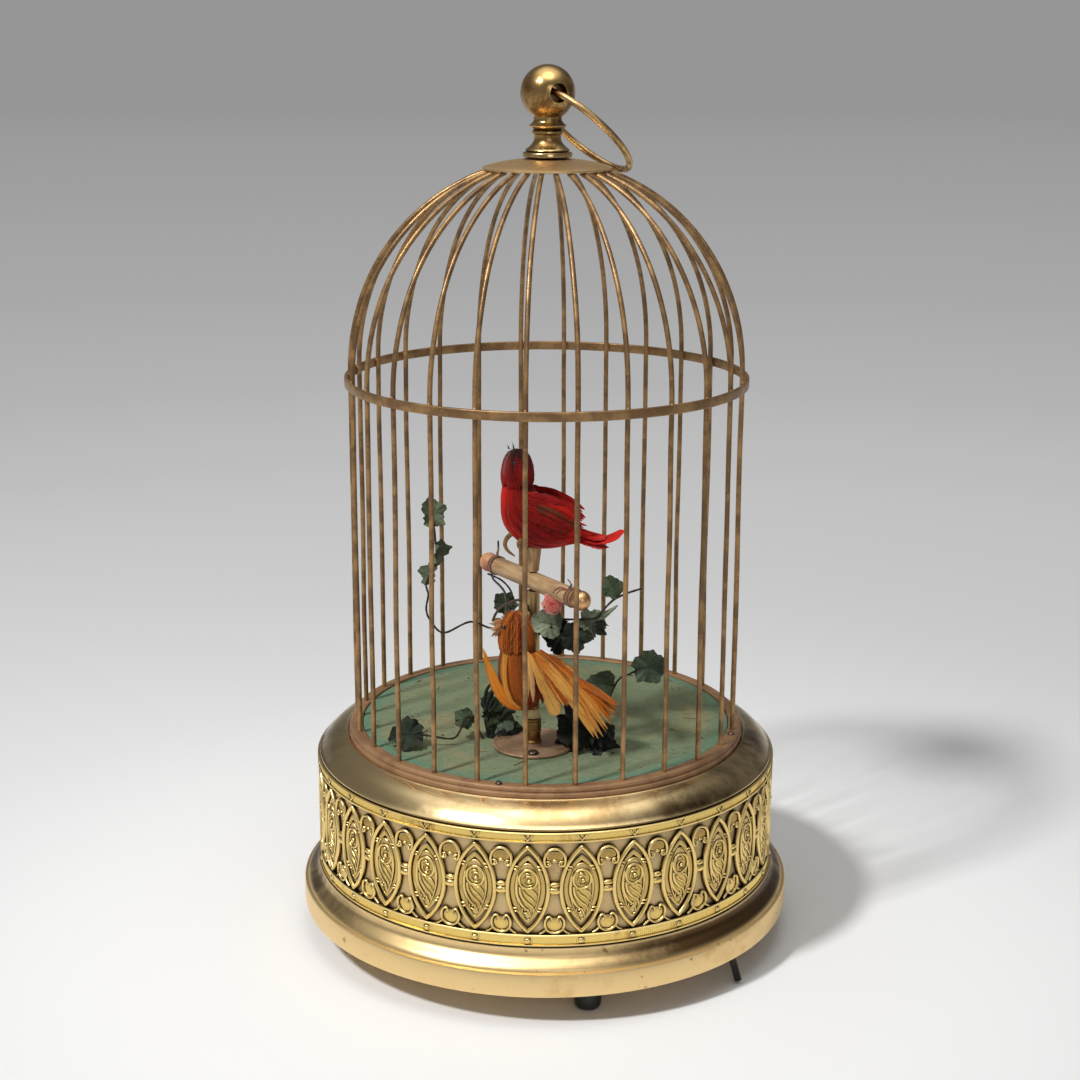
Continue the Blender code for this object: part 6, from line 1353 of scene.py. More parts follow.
# Red bird's rump: short red feathers glued round the back end of the body.
# They lap over the tail's root, so that it can bob under them.
parts = []
for k in range(15):
    angle = pi * (k / 14 * 1.5 - 0.25)
    out = Vector((0.1, cos(angle), sin(angle)))
    start = Vector((RX + 12.6, POST_AT[1], RZ - 14.7)) + out * 4.6
    finish = Vector((RX + 19.6 + 0.8 * (k % 3), POST_AT[1], RZ - 15.9)) + out * (2.5 + 0.7 * max(0.0, sin(angle)))
    tone = tinted(RED_MID, RED_BRIGHT, 0.3 + 0.5 * (k % 2))
    dye = lambda t, v, a=tone: tinted(a, RED_DARK, 0.4 * abs(v) * (1 - t))
    parts.append(vane(bowed(start, finish, out * 0.35, 9), 1.15, out, dye, 0.25, 0.10, 0.25, 140 + k,
                      quill_outline(0.45), 5))
fit(mended(dyed("red_bird_rump", parts, red_plume)), "base", "red_feather", "red_bird_body")

# Red bird's tail: lapped feathers in two layers, the upper ones longer and curled up at their ends, with pale downy
# tips, and short ones over their roots.
parts = []
for k in range(11):
    along = (k - 5) / 5
    start = Vector((RX + 16.9, POST_AT[1] + 1.6 * along, RZ - 14.9 + 0.5 * (1 - abs(along))))
    end = Vector((RX + 33.6 - 1.5 * abs(along), POST_AT[1] + 3.4 * along, RZ - 14.6 - 0.6 * abs(along)))
    dye = lambda t, v: tinted(tinted(RED_MID, RED_BRIGHT, 0.9 * t), RED_PALE,
                              max(0.0, t - 0.80) * 1.5 * max(0.0, abs(v) - 0.5))
    parts.append(vane(bowed(start, end, (0, 0, -2.5), 14), 1.35, (0, 0.15 * along, 1), dye, 0.35, 0.16, 0.16, 100 + k,
                      quill_outline(0.84), 7))
for k in range(9):
    along = (k - 4) / 4
    start = Vector((RX + 17.2, POST_AT[1] + 1.4 * along, RZ - 17.0))
    end = Vector((RX + 28.6 - 1.8 * abs(along), POST_AT[1] + 3.1 * along, RZ - 20.1 + 0.3 * abs(along)))
    dye = lambda t, v: tinted(tinted(RED_MID, RED_BRIGHT, 1.3 * t), RED_PALE, max(0.0, t - 0.35) * 1.7)
    parts.append(vane(bowed(start, end, (0, 0, 0.3), 11), 1.3, (0, 0.2 * along, 1), dye, 0.3, 0.16, 0.3, 120 + k,
                      quill_outline(0.7), 7))
for k in range(9):
    along = (k - 4) / 4
    start = Vector((RX + 17.6, POST_AT[1] + 2.1 * along, RZ - 12.9 - 1.4 * along ** 2))
    end = Vector((RX + 28.4 - 1.2 * abs(along), POST_AT[1] + 2.9 * along, RZ - 16.3 - 0.5 * abs(along)))
    dye = lambda t, v, k=k: tinted(tinted(RED_MID, RED_BRIGHT, 0.3 + 0.35 * (k % 3)), RED_PALE, max(0.0, t - 0.6) * 0.9)
    parts.append(vane(bowed(start, end, (0, 0, -0.5), 11), 1.1, (0, 0.3 * along, 1), dye, 0.3, 0.12, 0.3, 160 + k,
                      quill_outline(0.6), 5))
tail_stations = ((RX + 17.0, RZ - 15.8, 2.0, 2.2), (RX + 20.5, RZ - 16.6, 1.9, 2.3), (RX + 24.0, RZ - 17.3, 1.2, 2.0),
                 (RX + 27.0, RZ - 17.4, 0.4, 1.2))
tail_core = core(tail_stations, POST_AT[1], lambda t, p: RED_MID, 20, 3, Vector((1, 0, -0.2)))[0]
parts.append(([p + Vector((0.9, 0, 0)) for p in tail_core[0]], *tail_core[1:]))
fit(mended(dyed("red_bird_tail_feathers", parts, red_plume)), "red_tail", "red_feather", "red_bird_tail")
# glass bead eyes and a thin dark beak.
HEAD_SHARES = ((0.90, 0.0), (0.97, 0.12), (1.0, 0.28), (0.98, 0.42), (0.92, 0.58), (0.81, 0.74), (0.62, 0.88),
               (0.34, 0.97), (0.04, 1.0))
# A head's core starts this far over its neck, and its eyes and bill sit round this share of its height.
HEAD_OVER, HEAD_MIDDLE = 0.3, 0.52


def head_core(neck, y, radius, height, dye, around=28, shrink=0.93):
    """A head's core from its neck up, with its feathers lying down towards the neck."""
    vertices, dyes, uvs, flows = [], [], [], []
    rows = smoothed([(r, h, 0) for r, h in HEAD_SHARES], 3)
    for row in rows:
        reach = radius * row.x * shrink
        for s, angle in enumerate(turns(around)):
            point = Vector((neck[0] + reach * cos(angle), y + reach * sin(angle),
                            neck[1] + HEAD_OVER + height * row.y * 0.985))
            vertices.append(point)
            dyes.append(dye(row.y, point))
            uvs.append((row.y, s / around))
            flows.append(Vector((0.5 * cos(angle) * row.y, 0.5 * sin(angle) * row.y, -1)).normalized())
    return (vertices, bands(len(rows), around), dyes, uvs), flows


def red_head_dye(t, point):
    front = min(1.0, max(0.0, (-10.0 - point.x) / 2.5))
    tone = tinted(RED_DARK, RED_MID, 0.5 + noise.noise(point * 0.5))
    tone = tinted(tone, RED_MID, front * 0.7)
    crown = min(1.0, max(0.0, (t - 0.60) / 0.16))
    black = tinted((0.008, 0.004, 0.004), (0.06, 0.010, 0.008), 0.35 + noise.noise(point * 1.1))
    tone = tinted(tone, black, crown)
    pale = min(1.0, max(0.0, (t - 0.48) / 0.2)) * min(1.0, max(0.0, (-11.0 - point.x) / 1.5))
    return tinted(tone, (0.34, 0.22, 0.20), pale * (0.35 + 0.5 * noise.noise(point * 1.6)))


red_head = head_core((RX, RZ), POST_AT[1], 5.3, 11.0, red_head_dye)
red_head_skin = mended(dyed("red_bird_head_core", [red_head[0]], red_plume))
red_head_coat = mended(dyed("red_bird_head_coat", lapped(red_head, 28, 5, 0.50, 0.85, 800, 0.30, 0.9), red_plume))
red_head_down = feathered("red_bird_head_down", red_head, red_plume, 1.1, 0.9, 1.5, 0.25, 0.4, 12, 0.05)
for piece in (red_head_skin, red_head_coat, red_head_down):
    fit(piece, "red_head", "red_feather", "red_bird_head")

bead_black, tree, place = new_material("bead_black")
dust = speckle(tree, place, 1500.0, 3.0)
colour = blend(tree, spread(tree, dust, 0.55, 0.8), (0.004, 0.003, 0.003), (0.015, 0.011, 0.010))
inputs = {"Base Color": colour, "Roughness": spread(tree, dust, 0.4, 0.8, 0.10, 0.35), "Coat Weight": 0.6}
node(tree, "ShaderNodeOutputMaterial", {0: node(tree, "ShaderNodeBsdfPrincipled", inputs).outputs[0]})
beak_black = coated("beak_black", (0.018, 0.014, 0.012), (0.06, 0.04, 0.03), 420.0, 0.30, bump=0.2)


def bead(at, radius, rows=8, around=14):
    """A round bead as points and faces, in millimetres."""
    vertices = []
    for i in range(1, rows):
        lift, reach = cos(pi * i / rows), sin(pi * i / rows)
        vertices += [(Vector(at) + Vector((reach * cos(a), reach * sin(a), lift)) * radius) * MM for a in turns(around)]
    vertices += [(Vector(at) + Vector((0, 0, radius))) * MM, (Vector(at) - Vector((0, 0, radius))) * MM]
    faces = bands(rows - 1, around)[:-2]
    top, bottom = len(vertices) - 2, len(vertices) - 1
    for s in range(around):
        t = (s + 1) % around
        faces.append((top, t, s))
        faces.append((bottom, (rows - 2) * around + s, (rows - 2) * around + t))
    return vertices, faces


def bill(root, tip, half_width, half_depth, up, hook=0.0):
    """A beak's half: a pointed horn cone, flatter than it is wide, its tip drooping a little."""
    root, tip, up = Vector(root), Vector(tip), Vector(up)
    path = [root.lerp(tip, t) - up * hook * t ** 2.4 for t in (0.0, 0.15, 0.35, 0.55, 0.75, 0.9, 1.0)]
    sizes = [half_depth * share * MM for share in (1.0, 0.98, 0.85, 0.64, 0.40, 0.18, 0.03)]
    return tube([p * MM for p in path], sizes, 12, flat=half_width / half_depth, up=up)


head_middle = Vector((RX, POST_AT[1], RZ + HEAD_OVER + 11.0 * HEAD_MIDDLE))
face = Vector((-cos(radians(78)), 0, sin(radians(78))))
under = Vector((-face.z, 0, face.x)).normalized()
red_upper = bill(head_middle + face * 3.6, head_middle + face * 5.3 * 1.42, 0.62, 0.40, -under)
fit(shape("red_bird_upper_bill", *red_upper, beak_black, 60.0), "red_head", "beak_horn", "red_bird_head")
eyes = gathered([bead(head_middle + Vector((-0.9, side * 4.05, 1.55)), 0.62) for side in (-1, 1)])
fit(shape("red_bird_eyes", *eyes, bead_black, 60.0), "red_head", "beak_horn", "red_bird_head")
(beak_x, _), low, high = extent("red_bird_beak")
jaw = bill((beak_x + 0.12, POST_AT[1], low + 0.1), (beak_x - 0.4, POST_AT[1], high - 0.02), 0.42, 0.26, (1, 0, 0.2))
fit(shape("red_bird_lower_bill", *jaw, beak_black, 60.0), "red_beak", "beak_horn", "red_bird_beak")

# Orange bird: a body over a core with its feathers laid down, hung on the front of the post over the collar. Deep
# orange and brown, with a pale strip down the breast and red-brown down at the vent.
GOLD, ORANGE, DEEP = (0.74, 0.37, 0.080), (0.62, 0.165, 0.014), (0.40, 0.075, 0.007)
BROWN, RUSSET, PALE_TAN = (0.20, 0.055, 0.010), (0.16, 0.020, 0.005), (0.56, 0.36, 0.20)
OX, OZ, OY = -9.4, 106.0, -34.6
orange_stations = (
    (OX, OZ, 4.9, 4.7), (OX + 0.2, OZ - 5.5, 6.1, 6.2), (OX + 1.2, OZ - 11.0, 6.5, 6.7),
    (OX + 2.9, OZ - 16.0, 5.2, 5.4), (OX + 3.6, OZ - 19.4, 2.8, 3.0),
)
orange_plume = feather_material("orange_plume", 0.08)


def orange_body_dye(t, point):
    tone = tinted(DEEP, ORANGE, 0.25 + 0.9 * noise.noise(Vector((point.x * 0.9, point.y * 0.9, point.z * 0.12))))
    tone = tinted(tone, RUSSET, 0.5 * min(1.0, max(0.0, (point.x + 10.5) / 3.0)))
    edge = min(1.0, max(0.0, (-13.8 - point.x) / 1.6))
    tone = tinted(tone, BROWN, edge * 0.8)
    strip = max(0.0, 1.0 - abs(point.x + 12.9 + 0.05 * (point.z - 100)) / 0.9) * (1.0 if point.y < OY else 0.0)
    tone = tinted(tone, GOLD, strip)
    vent = min(1.0, max(0.0, (94.5 - point.z) / 3.0)) * min(1.0, max(0.0, (point.x + 8.0) / 3.0))
    return tinted(tone, RUSSET, vent)


def kept_off_post(piece, radius=2.3):
    """Presses a bird's feathers back from the post that goes through it."""
    for vertex in piece.data.vertices:
        away = Vector((vertex.co.x - POST_AT[0] * MM, vertex.co.y - POST_AT[1] * MM, 0))
        if away.length < radius * MM and vertex.co.z < 0.1226:
            vertex.co += (away.normalized() if away.length else Vector((0, -1, 0))) * (radius * MM - away.length)
    return piece


orange_core = core(orange_stations, OY, orange_body_dye, shrink=0.94)
orange_body = mended(dyed("orange_bird_core", [orange_core[0]], orange_plume))
fit(drilled(orange_body, POST_AT, 79.0, 122.0, 2.95, 32), "base", "orange_feather", "orange_bird_body")
orange_coat = mended(dyed("orange_bird_coat", lapped(orange_core, 28, 4, 0.72, 0.95, 900, 0.3, vary=0.5), orange_plume))
orange_down = feathered("orange_bird_down", orange_core, orange_plume, 1.0, 1.6, 3.0, 0.25, 0.4, 21, 0.045)
for piece in (orange_coat, orange_down):
    fit(kept_off_post(piece), "base", "orange_feather", "orange_bird_body")

# Orange bird's long feathers: a fan of cock's hackles tied in at the shoulder and swept down to the right, one broad
# golden feather among them, and a narrow curved one that stands off at the left.
def hackle_dye(first, last, rim):
    return lambda t, v: tinted(tinted(first, last, t * 1.1), rim, max(0.0, abs(v) - 0.55) * 1.2)


# The fan: each feather's root, tip, half width, and its dyes at the root, at the tip and along the rim.
fan_ends = (
    ((-6.4, -40.9, 107.2), (-5.8, -41.7, 91.6), 0.80, GOLD, GOLD, PALE_TAN),
    ((-5.6, -41.0, 107.0), (-3.9, -42.0, 90.8), 0.85, GOLD, PALE_TAN, ORANGE),
    ((-5.2, -41.2, 106.6), (-1.2, -42.1, 93.4), 0.75, GOLD, GOLD, ORANGE),
    ((-4.8, -41.2, 106.2), (0.9, -42.0, 92.6), 0.7, GOLD, GOLD, ORANGE),
    ((-4.2, -41.0, 106.0), (7.4, -42.0, 91.4), 1.1, ORANGE, GOLD, BROWN),
    ((-4.0, -40.8, 106.2), (10.0, -42.1, 89.6), 1.15, GOLD, GOLD, ORANGE),
    ((-3.6, -40.6, 106.2), (12.8, -42.0, 85.6), 1.05, ORANGE, GOLD, ORANGE),
    ((-3.4, -40.4, 106.4), (14.9, -41.9, 79.4), 1.15, DEEP, GOLD, ORANGE),
    ((-3.0, -40.2, 106.4), (16.4, -41.6, 78.7), 1.0, ORANGE, GOLD, PALE_TAN),
    ((-2.8, -39.8, 106.4), (17.9, -41.2, 79.2), 1.15, DEEP, GOLD, BROWN),
    ((-2.6, -39.4, 106.4), (19.3, -40.6, 81.6), 1.1, ORANGE, GOLD, ORANGE),
    ((-2.4, -39.0, 106.6), (20.6, -39.8, 84.0), 1.2, DEEP, ORANGE, BROWN),
)
parts = []
for k, (start, finish, width, first, last, rim) in enumerate(fan_ends):
    length = (Vector(finish) - Vector(start)).length
    bow = Vector((0.03 * length, -0.6, 0.012 * length)) if k > 3 else Vector((0.02 * length, -0.5, 0))
    parts.append(vane(bowed(start, finish, bow, 18), width, (0.1, -1, 0.15), hackle_dye(first, last, rim), 0.25, 0.15,
                      0.16, 200 + k, quill_outline(0.62), 7))
    if k > 3:
        split = bowed(Vector(start) + Vector((0.6, 0.25, 0.4)), Vector(finish) + Vector((1.1, 0.3, 1.3)), bow * 0.9, 16)
        parts.append(vane(split, width * 0.7, (0.1, -1, 0.2), hackle_dye(first, tinted(last, ORANGE, 0.4), rim), 0.2,
                          0.12, 0.2, 230 + k, quill_outline(0.5), 5))
for k in range(8):
    # Shorter feathers between the broad one and the fan's long ones.
    start = Vector((-3.2 + 0.2 * k, -40.9, 103.6 + 0.15 * k))
    finish = Vector((4.6 + 1.05 * k, -41.5, 89.9 - 0.25 * (k % 3)))
    dye = hackle_dye(DEEP, (ORANGE, GOLD, DEEP)[k % 3], BROWN)
    parts.append(vane(bowed(start, finish, (0.35, -0.4, 0.1)), 1.15, (0.1, -1, 0.2), dye, 0.25, 0.13, 0.2, 320 + k,
                      quill_outline(0.6), 5))
for k in range(10):
    # Coverts over the fan's roots, from the neck down the back.
    start = Vector((-4.4 + 0.25 * k, -41.0 + 0.35 * k, 106.6 - 0.12 * k))
    finish = start + Vector((4.2 + 0.95 * k, -0.9, -12.6 + 0.55 * k))
    dye = hackle_dye(DEEP, (GOLD, ORANGE, PALE_TAN)[k % 3], BROWN)
    parts.append(vane(bowed(start, finish, (0.5, -0.5, 0.3)), 1.3, (0.1, -1, 0.2), dye, 0.25, 0.13, 0.2, 280 + k,
                      quill_outline(0.55), 5))
for k in range(14):
    # Red-brown down at the vent, between the body and the fan.
    start = Vector((-5.2 + 0.55 * k, -38.6 - 0.15 * (k % 3), 97.6 - 0.1 * k))
    finish = start + Vector((2.0 * k / 13, -0.4, -8.4 + 0.9 * (k % 3) + 0.12 * k))
    parts.append(vane(bowed(start, finish, (0, -0.5, 0), 9), 0.85, (0, -1, 0.1), tinted(RUSSET, DEEP, 0.12 * (k % 4)),
                      0.3, 0.12, 0.35, 300 + k, quill_outline(0.5), 5))
broad = lambda t: min(1.0, 0.16 + 0.95 * t) * (1.0 - max(0.0, (t - 0.80) / 0.22) ** 2.0)
parts.append(vane(bowed((-2.6, -41.6, 101.5), (3.7, -42.5, 86.9), (-0.3, -0.5, 0.1), 16), 2.5, (0.15, -1, 0.05),
                  hackle_dye((0.55, 0.24, 0.05), (0.66, 0.36, 0.09), (0.50, 0.24, 0.06)), 0.12, 0.16, 0.07, 260, broad,
                  9))
wing = mended(dyed("orange_bird_near_feathers", parts, orange_plume))
fit(kept_off_post(wing), "base", "orange_feather", "orange_bird_wing_near")

crescent = smoothed(((-7.9, -41.2, 88.1), (-11.0, -41.2, 89.5), (-13.9, -40.9, 92.6), (-16.2, -40.2, 97.0),
                     (-18.2, -38.6, 102.0), (-19.7, -35.6, 106.2)), 4)
sliver = smoothed(((-8.2, -41.6, 88.6), (-10.8, -41.8, 91.0), (-12.4, -41.7, 95.0), (-13.0, -41.2, 100.5),
                   (-13.3, -40.2, 106.8)), 4)
parts = [
    vane(crescent, 1.9, (-0.2, -1, 0.1), hackle_dye(ORANGE, (0.64, 0.23, 0.022), (0.42, 0.13, 0.015)), 0.35, 0.18, 0.06,
         270, lambda t: (0.25 + 0.75 * min(1.0, t * 3.0)) * (1.0 - t ** 3.0) + 0.03, 7),
    vane(sliver, 0.75, (-0.1, -1, 0), hackle_dye((0.60, 0.24, 0.03), (0.62, 0.26, 0.04), ORANGE), 0.25, 0.14, 0.1, 271,
         lambda t: min(1.0, 0.3 + 2 * t) * (1.0 - t ** 4.0) + 0.03, 5),
]
far_feathers = mended(dyed("orange_bird_far_feathers", parts, orange_plume))
fit(far_feathers, "base", "orange_feather", "orange_bird_wing_far")

# Orange bird's tail: long feathers bound in one lapped bundle along the back, which bobs as one.
# It is browner above, and its last tips are curled up.
parts = []
for k in range(12):
    share = (k - 5.5) / 5.5
    start = Vector((OX + 8.6 + 0.25 * share, OY - 1.5 - 2.6 * share, OZ - 5.4 - 1.5 * abs(share)))
    finish = Vector((23.0 - 1.6 * abs(share) - (0.8 if k % 2 else 0.0), OY - 1.4 - 2.9 * share,
                     88.4 - 2.2 * abs(share) - 0.5 * (k % 3)))
    first, last = (BROWN, ORANGE) if k % 3 == 0 else (DEEP, GOLD) if k % 3 == 1 else (DEEP, ORANGE)
    parts.append(vane(bowed(start, finish, (1.3, 0, 1.2 - 0.5 * abs(share)), 18), 1.25, (0.2, -0.35 * share - 0.3, 1),
                      hackle_dye(first, last, BROWN), 0.35, 0.16, 0.16, 300 + k, quill_outline(0.66), 7))
for k in range(5):
    start = Vector((OX + 8.8, OY - 4.6 + 1.2 * k, OZ - 6.5))
    finish = Vector((22.6 - 0.9 * k, OY - 4.6 + 1.1 * k, 87.9 + 0.4 * k))
    path = bowed(start, finish, (1.9, 0, 1.0), 18)
    path = [p + Vector((0, 0, 1.5 * max(0.0, i / 18 - 0.86) * 7)) * 0.6 for i, p in enumerate(path)]
    parts.append(vane(path, 1.0, (0.2, -0.2, 1), hackle_dye(BROWN, ORANGE, BROWN), 0.4, 0.14, 0.22, 330 + k,
                      quill_outline(0.7), 5))
tail_feathers = mended(dyed("orange_bird_tail_feathers", parts, orange_plume))
fit(kept_off_post(tail_feathers), "orange_tail", "orange_feather", "orange_bird_tail")

# Orange bird's head: turns on its neck. Its feathers are streaked russet and orange, with pale tufts round a short
# horn beak, and its eyes are glass beads.
def orange_head_dye(t, point):
    streak = noise.noise(Vector((point.x * 0.8, point.y * 0.8, point.z * 0.12)))
    tone = tinted(ORANGE, RUSSET, 0.40 + 1.5 * streak)
    tone = tinted(tone, BROWN, min(1.0, max(0.0, (t - 0.75) / 0.2)) * 0.6)
    front = min(1.0, max(0.0, (-12.2 - point.x) / 2.4))
    return tinted(tone, ORANGE, front * 0.7)


orange_head = head_core((OX, OZ), OY, 5.6, 12.0, orange_head_dye)
head_skin = mended(dyed("orange_bird_head_core", [orange_head[0]], orange_plume))
fit(head_skin, "orange_head", "orange_feather", "orange_bird_head")
head_coat = lapped(orange_head, 28, 4, 0.72, 0.95, 950, 0.20, 1.3, 0.45)
head_coat = mended(dyed("orange_bird_head_coat", head_coat, orange_plume))
head_down = feathered("orange_bird_head_down", orange_head, orange_plume, 1.2, 2.0, 3.4, 0.08, 0.25, 22, 0.05)
for piece in (head_coat, head_down):
    fit(kept_off_post(piece, 2.2), "orange_head", "orange_feather", "orange_bird_head")
head_middle = Vector((OX, OY, OZ + HEAD_OVER + 12.0 * HEAD_MIDDLE))
face = Vector((-cos(radians(12)), 0, sin(radians(12))))
under = Vector((-face.z, 0, face.x)).normalized()
horn_pale = coated("beak_horn", (0.42, 0.27, 0.13), (0.20, 0.12, 0.06), 300.0, 0.35, bump=0.2)
upper = bill(head_middle + face * 4.2, head_middle + face * 5.6 * 1.55, 1.15, 0.75, -under, 0.3)
fit(shape("orange_bird_upper_bill", *upper, horn_pale, 60.0), "orange_head", "beak_horn", "orange_bird_head")
eyes = gathered([bead(head_middle + Vector((-3.7, side * 3.75, 1.6)), 0.62) for side in (-1, 1)])
fit(shape("orange_bird_eyes", *eyes, bead_black, 60.0), "orange_head", "beak_horn", "orange_bird_head")
tufts = []
for k in range(26):
    chance = Random(400 + k)
    angle = 2 * pi * k / 26
    start = head_middle + face * 4.6 + Vector((0, 2.3 * cos(angle), 1.9 * sin(angle)))
    finish = start + face * chance.uniform(1.6, 3.4) + Vector((0, 1.6 * cos(angle), 1.0 * sin(angle) - 1.3))
    tufts.append(vane(bowed(start, finish, (0, 0, 0.3), 7), 0.42, (0, cos(angle), sin(angle) + 0.3),
                      tinted(PALE_TAN, ORANGE, chance.random() * 0.8), 0.3, 0.08, 0.4, 430 + k, quill_outline(0.5), 5))
tufts = mended(dyed("orange_bird_cheek_tufts", tufts, orange_plume))
fit(tufts, "orange_head", "orange_feather", "orange_bird_head")
low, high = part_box("orange_bird_beak")
jaw_tip = Vector((low.x / MM + 0.05, OY, high.z / MM - 0.5))
jaw_root = Vector((high.x / MM - 0.1, OY, low.z / MM + 0.5))
jaw = bill(jaw_root, jaw_tip, 0.8, 0.38, (0.2, 0, 1))
fit(shape("orange_bird_lower_bill", *jaw, horn_pale, 60.0), "orange_beak", "beak_horn", "orange_bird_beak")

# Foliage: leaves stamped from green cloth, veined and ruffled, glued on thin brown wire. A vine stands at the left, a
# sprig hangs under and beyond the near end of the perch, one lies at each side of the floor, and dead leaves hide
# the foot.
LEAF_GREEN, LEAF_GREY, LEAF_DARK = (0.062, 0.092, 0.044), (0.150, 0.195, 0.125), (0.022, 0.031, 0.017)
LEAF_PALE, LEAF_BROWN, LEAF_OLIVE = (0.210, 0.250, 0.155), (0.085, 0.050, 0.024), (0.135, 0.175, 0.092)
LEAF_BLACK = (0.009, 0.009, 0.008)
leaf_cloth, tree, place, dye, axis, across = dyed_material("leaf_cloth")
ribs = times(tree, sums(tree, "SUBTRACT", axis[0], times(tree, across, 1.2)), 5.0)
rib = sums(tree, "ABSOLUTE", sums(tree, "SUBTRACT", sums(tree, "FRACT", ribs), 0.5))
vein = sums(tree, "MAXIMUM", spread(tree, rib, 0.07, 0.02, 0.0, 0.6), spread(tree, across, 0.030, 0.010))
weave = speckle(tree, place, 1300.0, 2.0, 0.5)
mottle = speckle(tree, place, 260.0, 4.0, 0.6)
deep = toned(tree, dye, 1.0, 0.45)
colour = blend(tree, spread(tree, mottle, 0.42, 0.70), dye, toned(tree, dye, 0.8, 1.45))
colour = blend(tree, times(tree, spread(tree, weave, 0.55, 0.35), 0.5), colour, deep)
colour = blend(tree, times(tree, vein, 0.35), colour, deep)
relief = sums(tree, "SUBTRACT", times(tree, weave, 0.4), vein)
close_material(tree, colour, 0.75, (0.6, 0.0003, relief), Sheen_Weight=0.08, Specular_IOR_Level=0.18)


def cloth_leaf(stalk, along, look, size, tone, seed=0, ruffle=1.0, fold=0.25, curl=0.2, lobes=5):
    """A toothed and ruffled leaf by its stalk, the way it points, the way it faces and its length in millimetres."""
    along = Vector(along).normalized()
    look = Vector(look)
    look = (look - along * look.dot(along)).normalized()
    side = look.cross(along)
    turn = Random(seed).uniform(0, 6.3)
    rings, around = 6, 72
    vertices, dyes, uvs, faces = [], [], [], []
    for face in (1, -1):
        for share in [i / rings for i in range(rings + 1)]:
            for angle in turns(around):
                wedge = max(0.0, -cos(angle)) ** 1.5
                notch = 1 + 0.085 * cos(lobes * angle + 0.4 * sin(turn)) + 0.045 * cos(11 * angle + turn)
                notch += 0.022 * cos(23 * angle + turn)
                reach = 0.53 * share * notch * (1 - 0.16 * wedge)
                u, v = 0.50 + reach * cos(angle), reach * sin(angle) * 0.90
                wave = 0.075 * share ** 2 * sin(lobes * angle + turn) + 0.040 * share ** 3 * sin(13 * angle + 2 * turn)
                wave = ruffle * wave + ruffle * 0.05 * sin(3.1 * u + turn) * sin(4.3 * v + 2 * turn)
                height = wave + fold * abs(v) - curl * u * u + face * 0.5 * 0.12 / size
                vertices.append(Vector(stalk) + (along * u + side * v + look * height) * size)
                worn = max(0.0, share - 0.75) * (0.9 if seed % 3 else 1.6) * (0.5 + 0.5 * sin(2 * angle + turn))
                dyes.append(tinted(tinted(tone, LEAF_DARK, 0.3 + 0.3 * sin(angle + turn)), LEAF_BROWN, worn))
                uvs.append((u, 0.5 + v))
    size_of = (rings + 1) * around
    for a, b, c, d in bands(rings + 1, around)[:-2]:
        faces.append((a, d, c, b))
        faces.append((size_of + a, size_of + b, size_of + c, size_of + d))
    for s in range(around):
        a, b = rings * around + s, rings * around + (s + 1) % around
        faces.append((a, a + size_of, b + size_of, b))
    return vertices, faces, dyes, uvs


def twig(points, thick=0.34, tone=(0.050, 0.032, 0.022)):
    """A wire stalk through points in millimetres, with small swellings, as a part that can be dyed."""
    path = smoothed(points, 6)
    sizes = [thick * (1 + 0.16 * sin(2.1 * i) * sin(0.7 * i)) for i in range(len(path))]
    vertices, faces = tube(path, sizes, 7)
    return vertices, faces, [tone] * len(vertices), [(0.5, 0.5)] * len(vertices)


def blade(points, width, tone, seed, look=(0.1, -1, 0.3), cup=0.9):
    """A narrow curled leaf through points in millimetres."""
    return vane(smoothed(points, 5), width, look, tone, cup, 0.2, 0.2, seed, quill_outline(0.6), 5)


def sprig(name, parts, stands_for):
    """A wire with its leaves, as one piece on the base."""
    fit(mended(dyed(name, parts, leaf_cloth, 50.0), 1e-6), "base", "leaf_cloth", stands_for)


P = PERCH_HIGH
sprig("vine_left_cloth", [
    twig(((-5.62, -24.71, P - 15.4), (-8.4, -22.9, P - 16), (-17.0, -22.5, P - 17.2), (-24.0, -23.0, P - 14.8),
          (-32.5, -24.0, P - 18.2), (-36.8, -24.0, P - 13.8), (-37.9, -24.0, P - 10.2), (-37.2, -24.0, P - 5.6),
          (-37.8, -24.0, P - 2.0), (-35.6, -24.0, P + 3.6), (-34.6, -24.0, P + 8.0), (-35.2, -24.0, P + 17.6))),
    twig(((-9.2, -23.0, P - 16.1), (-10.4, -16.0, P - 13.2), (-11.0, -10.0, P - 9.2), (-14.2, -6.6, P - 6),
          (-19.0, -4.6, P - 4.2)), 0.3),
    cloth_leaf((-35.2, -24.0, P + 16.0), (-0.05, 0, 1), (0.62, -0.75, 0.1), 9.4, LEAF_OLIVE, 1, 1.2, 0.3),
    cloth_leaf((-34.7, -23.8, P + 12.6), (0.16, 0, -0.98), (1.0, -0.45, 0.1), 8.4, LEAF_OLIVE, 2, 1.2, 0.5),
    cloth_leaf((-36.8, -24.0, P - 3.2), (0.02, 0, 1), (-0.72, -0.68, 0), 7.8, LEAF_OLIVE, 3, 1.0, 0.4),
    cloth_leaf((-10.0, -16.4, P - 13.4), (-0.75, 0, 0.65), (0.2, -1, 0.3), 7.6, LEAF_GREEN, 4, 1.6),
    twig(((-16.6, -36.2, 115.4), (-15.6, -35.4, 117.6), (-13.6, -34.8, 119.8), (-11.0, -34.4, 121.0),
          (-8.2, -33.4, 121.4), (-6.2, -31.4, 119.6), (-5.3, -29.2, 116.6)), 0.42, (0.115, 0.075, 0.045)),
], "vine_left")
F = felt_high + 0.3
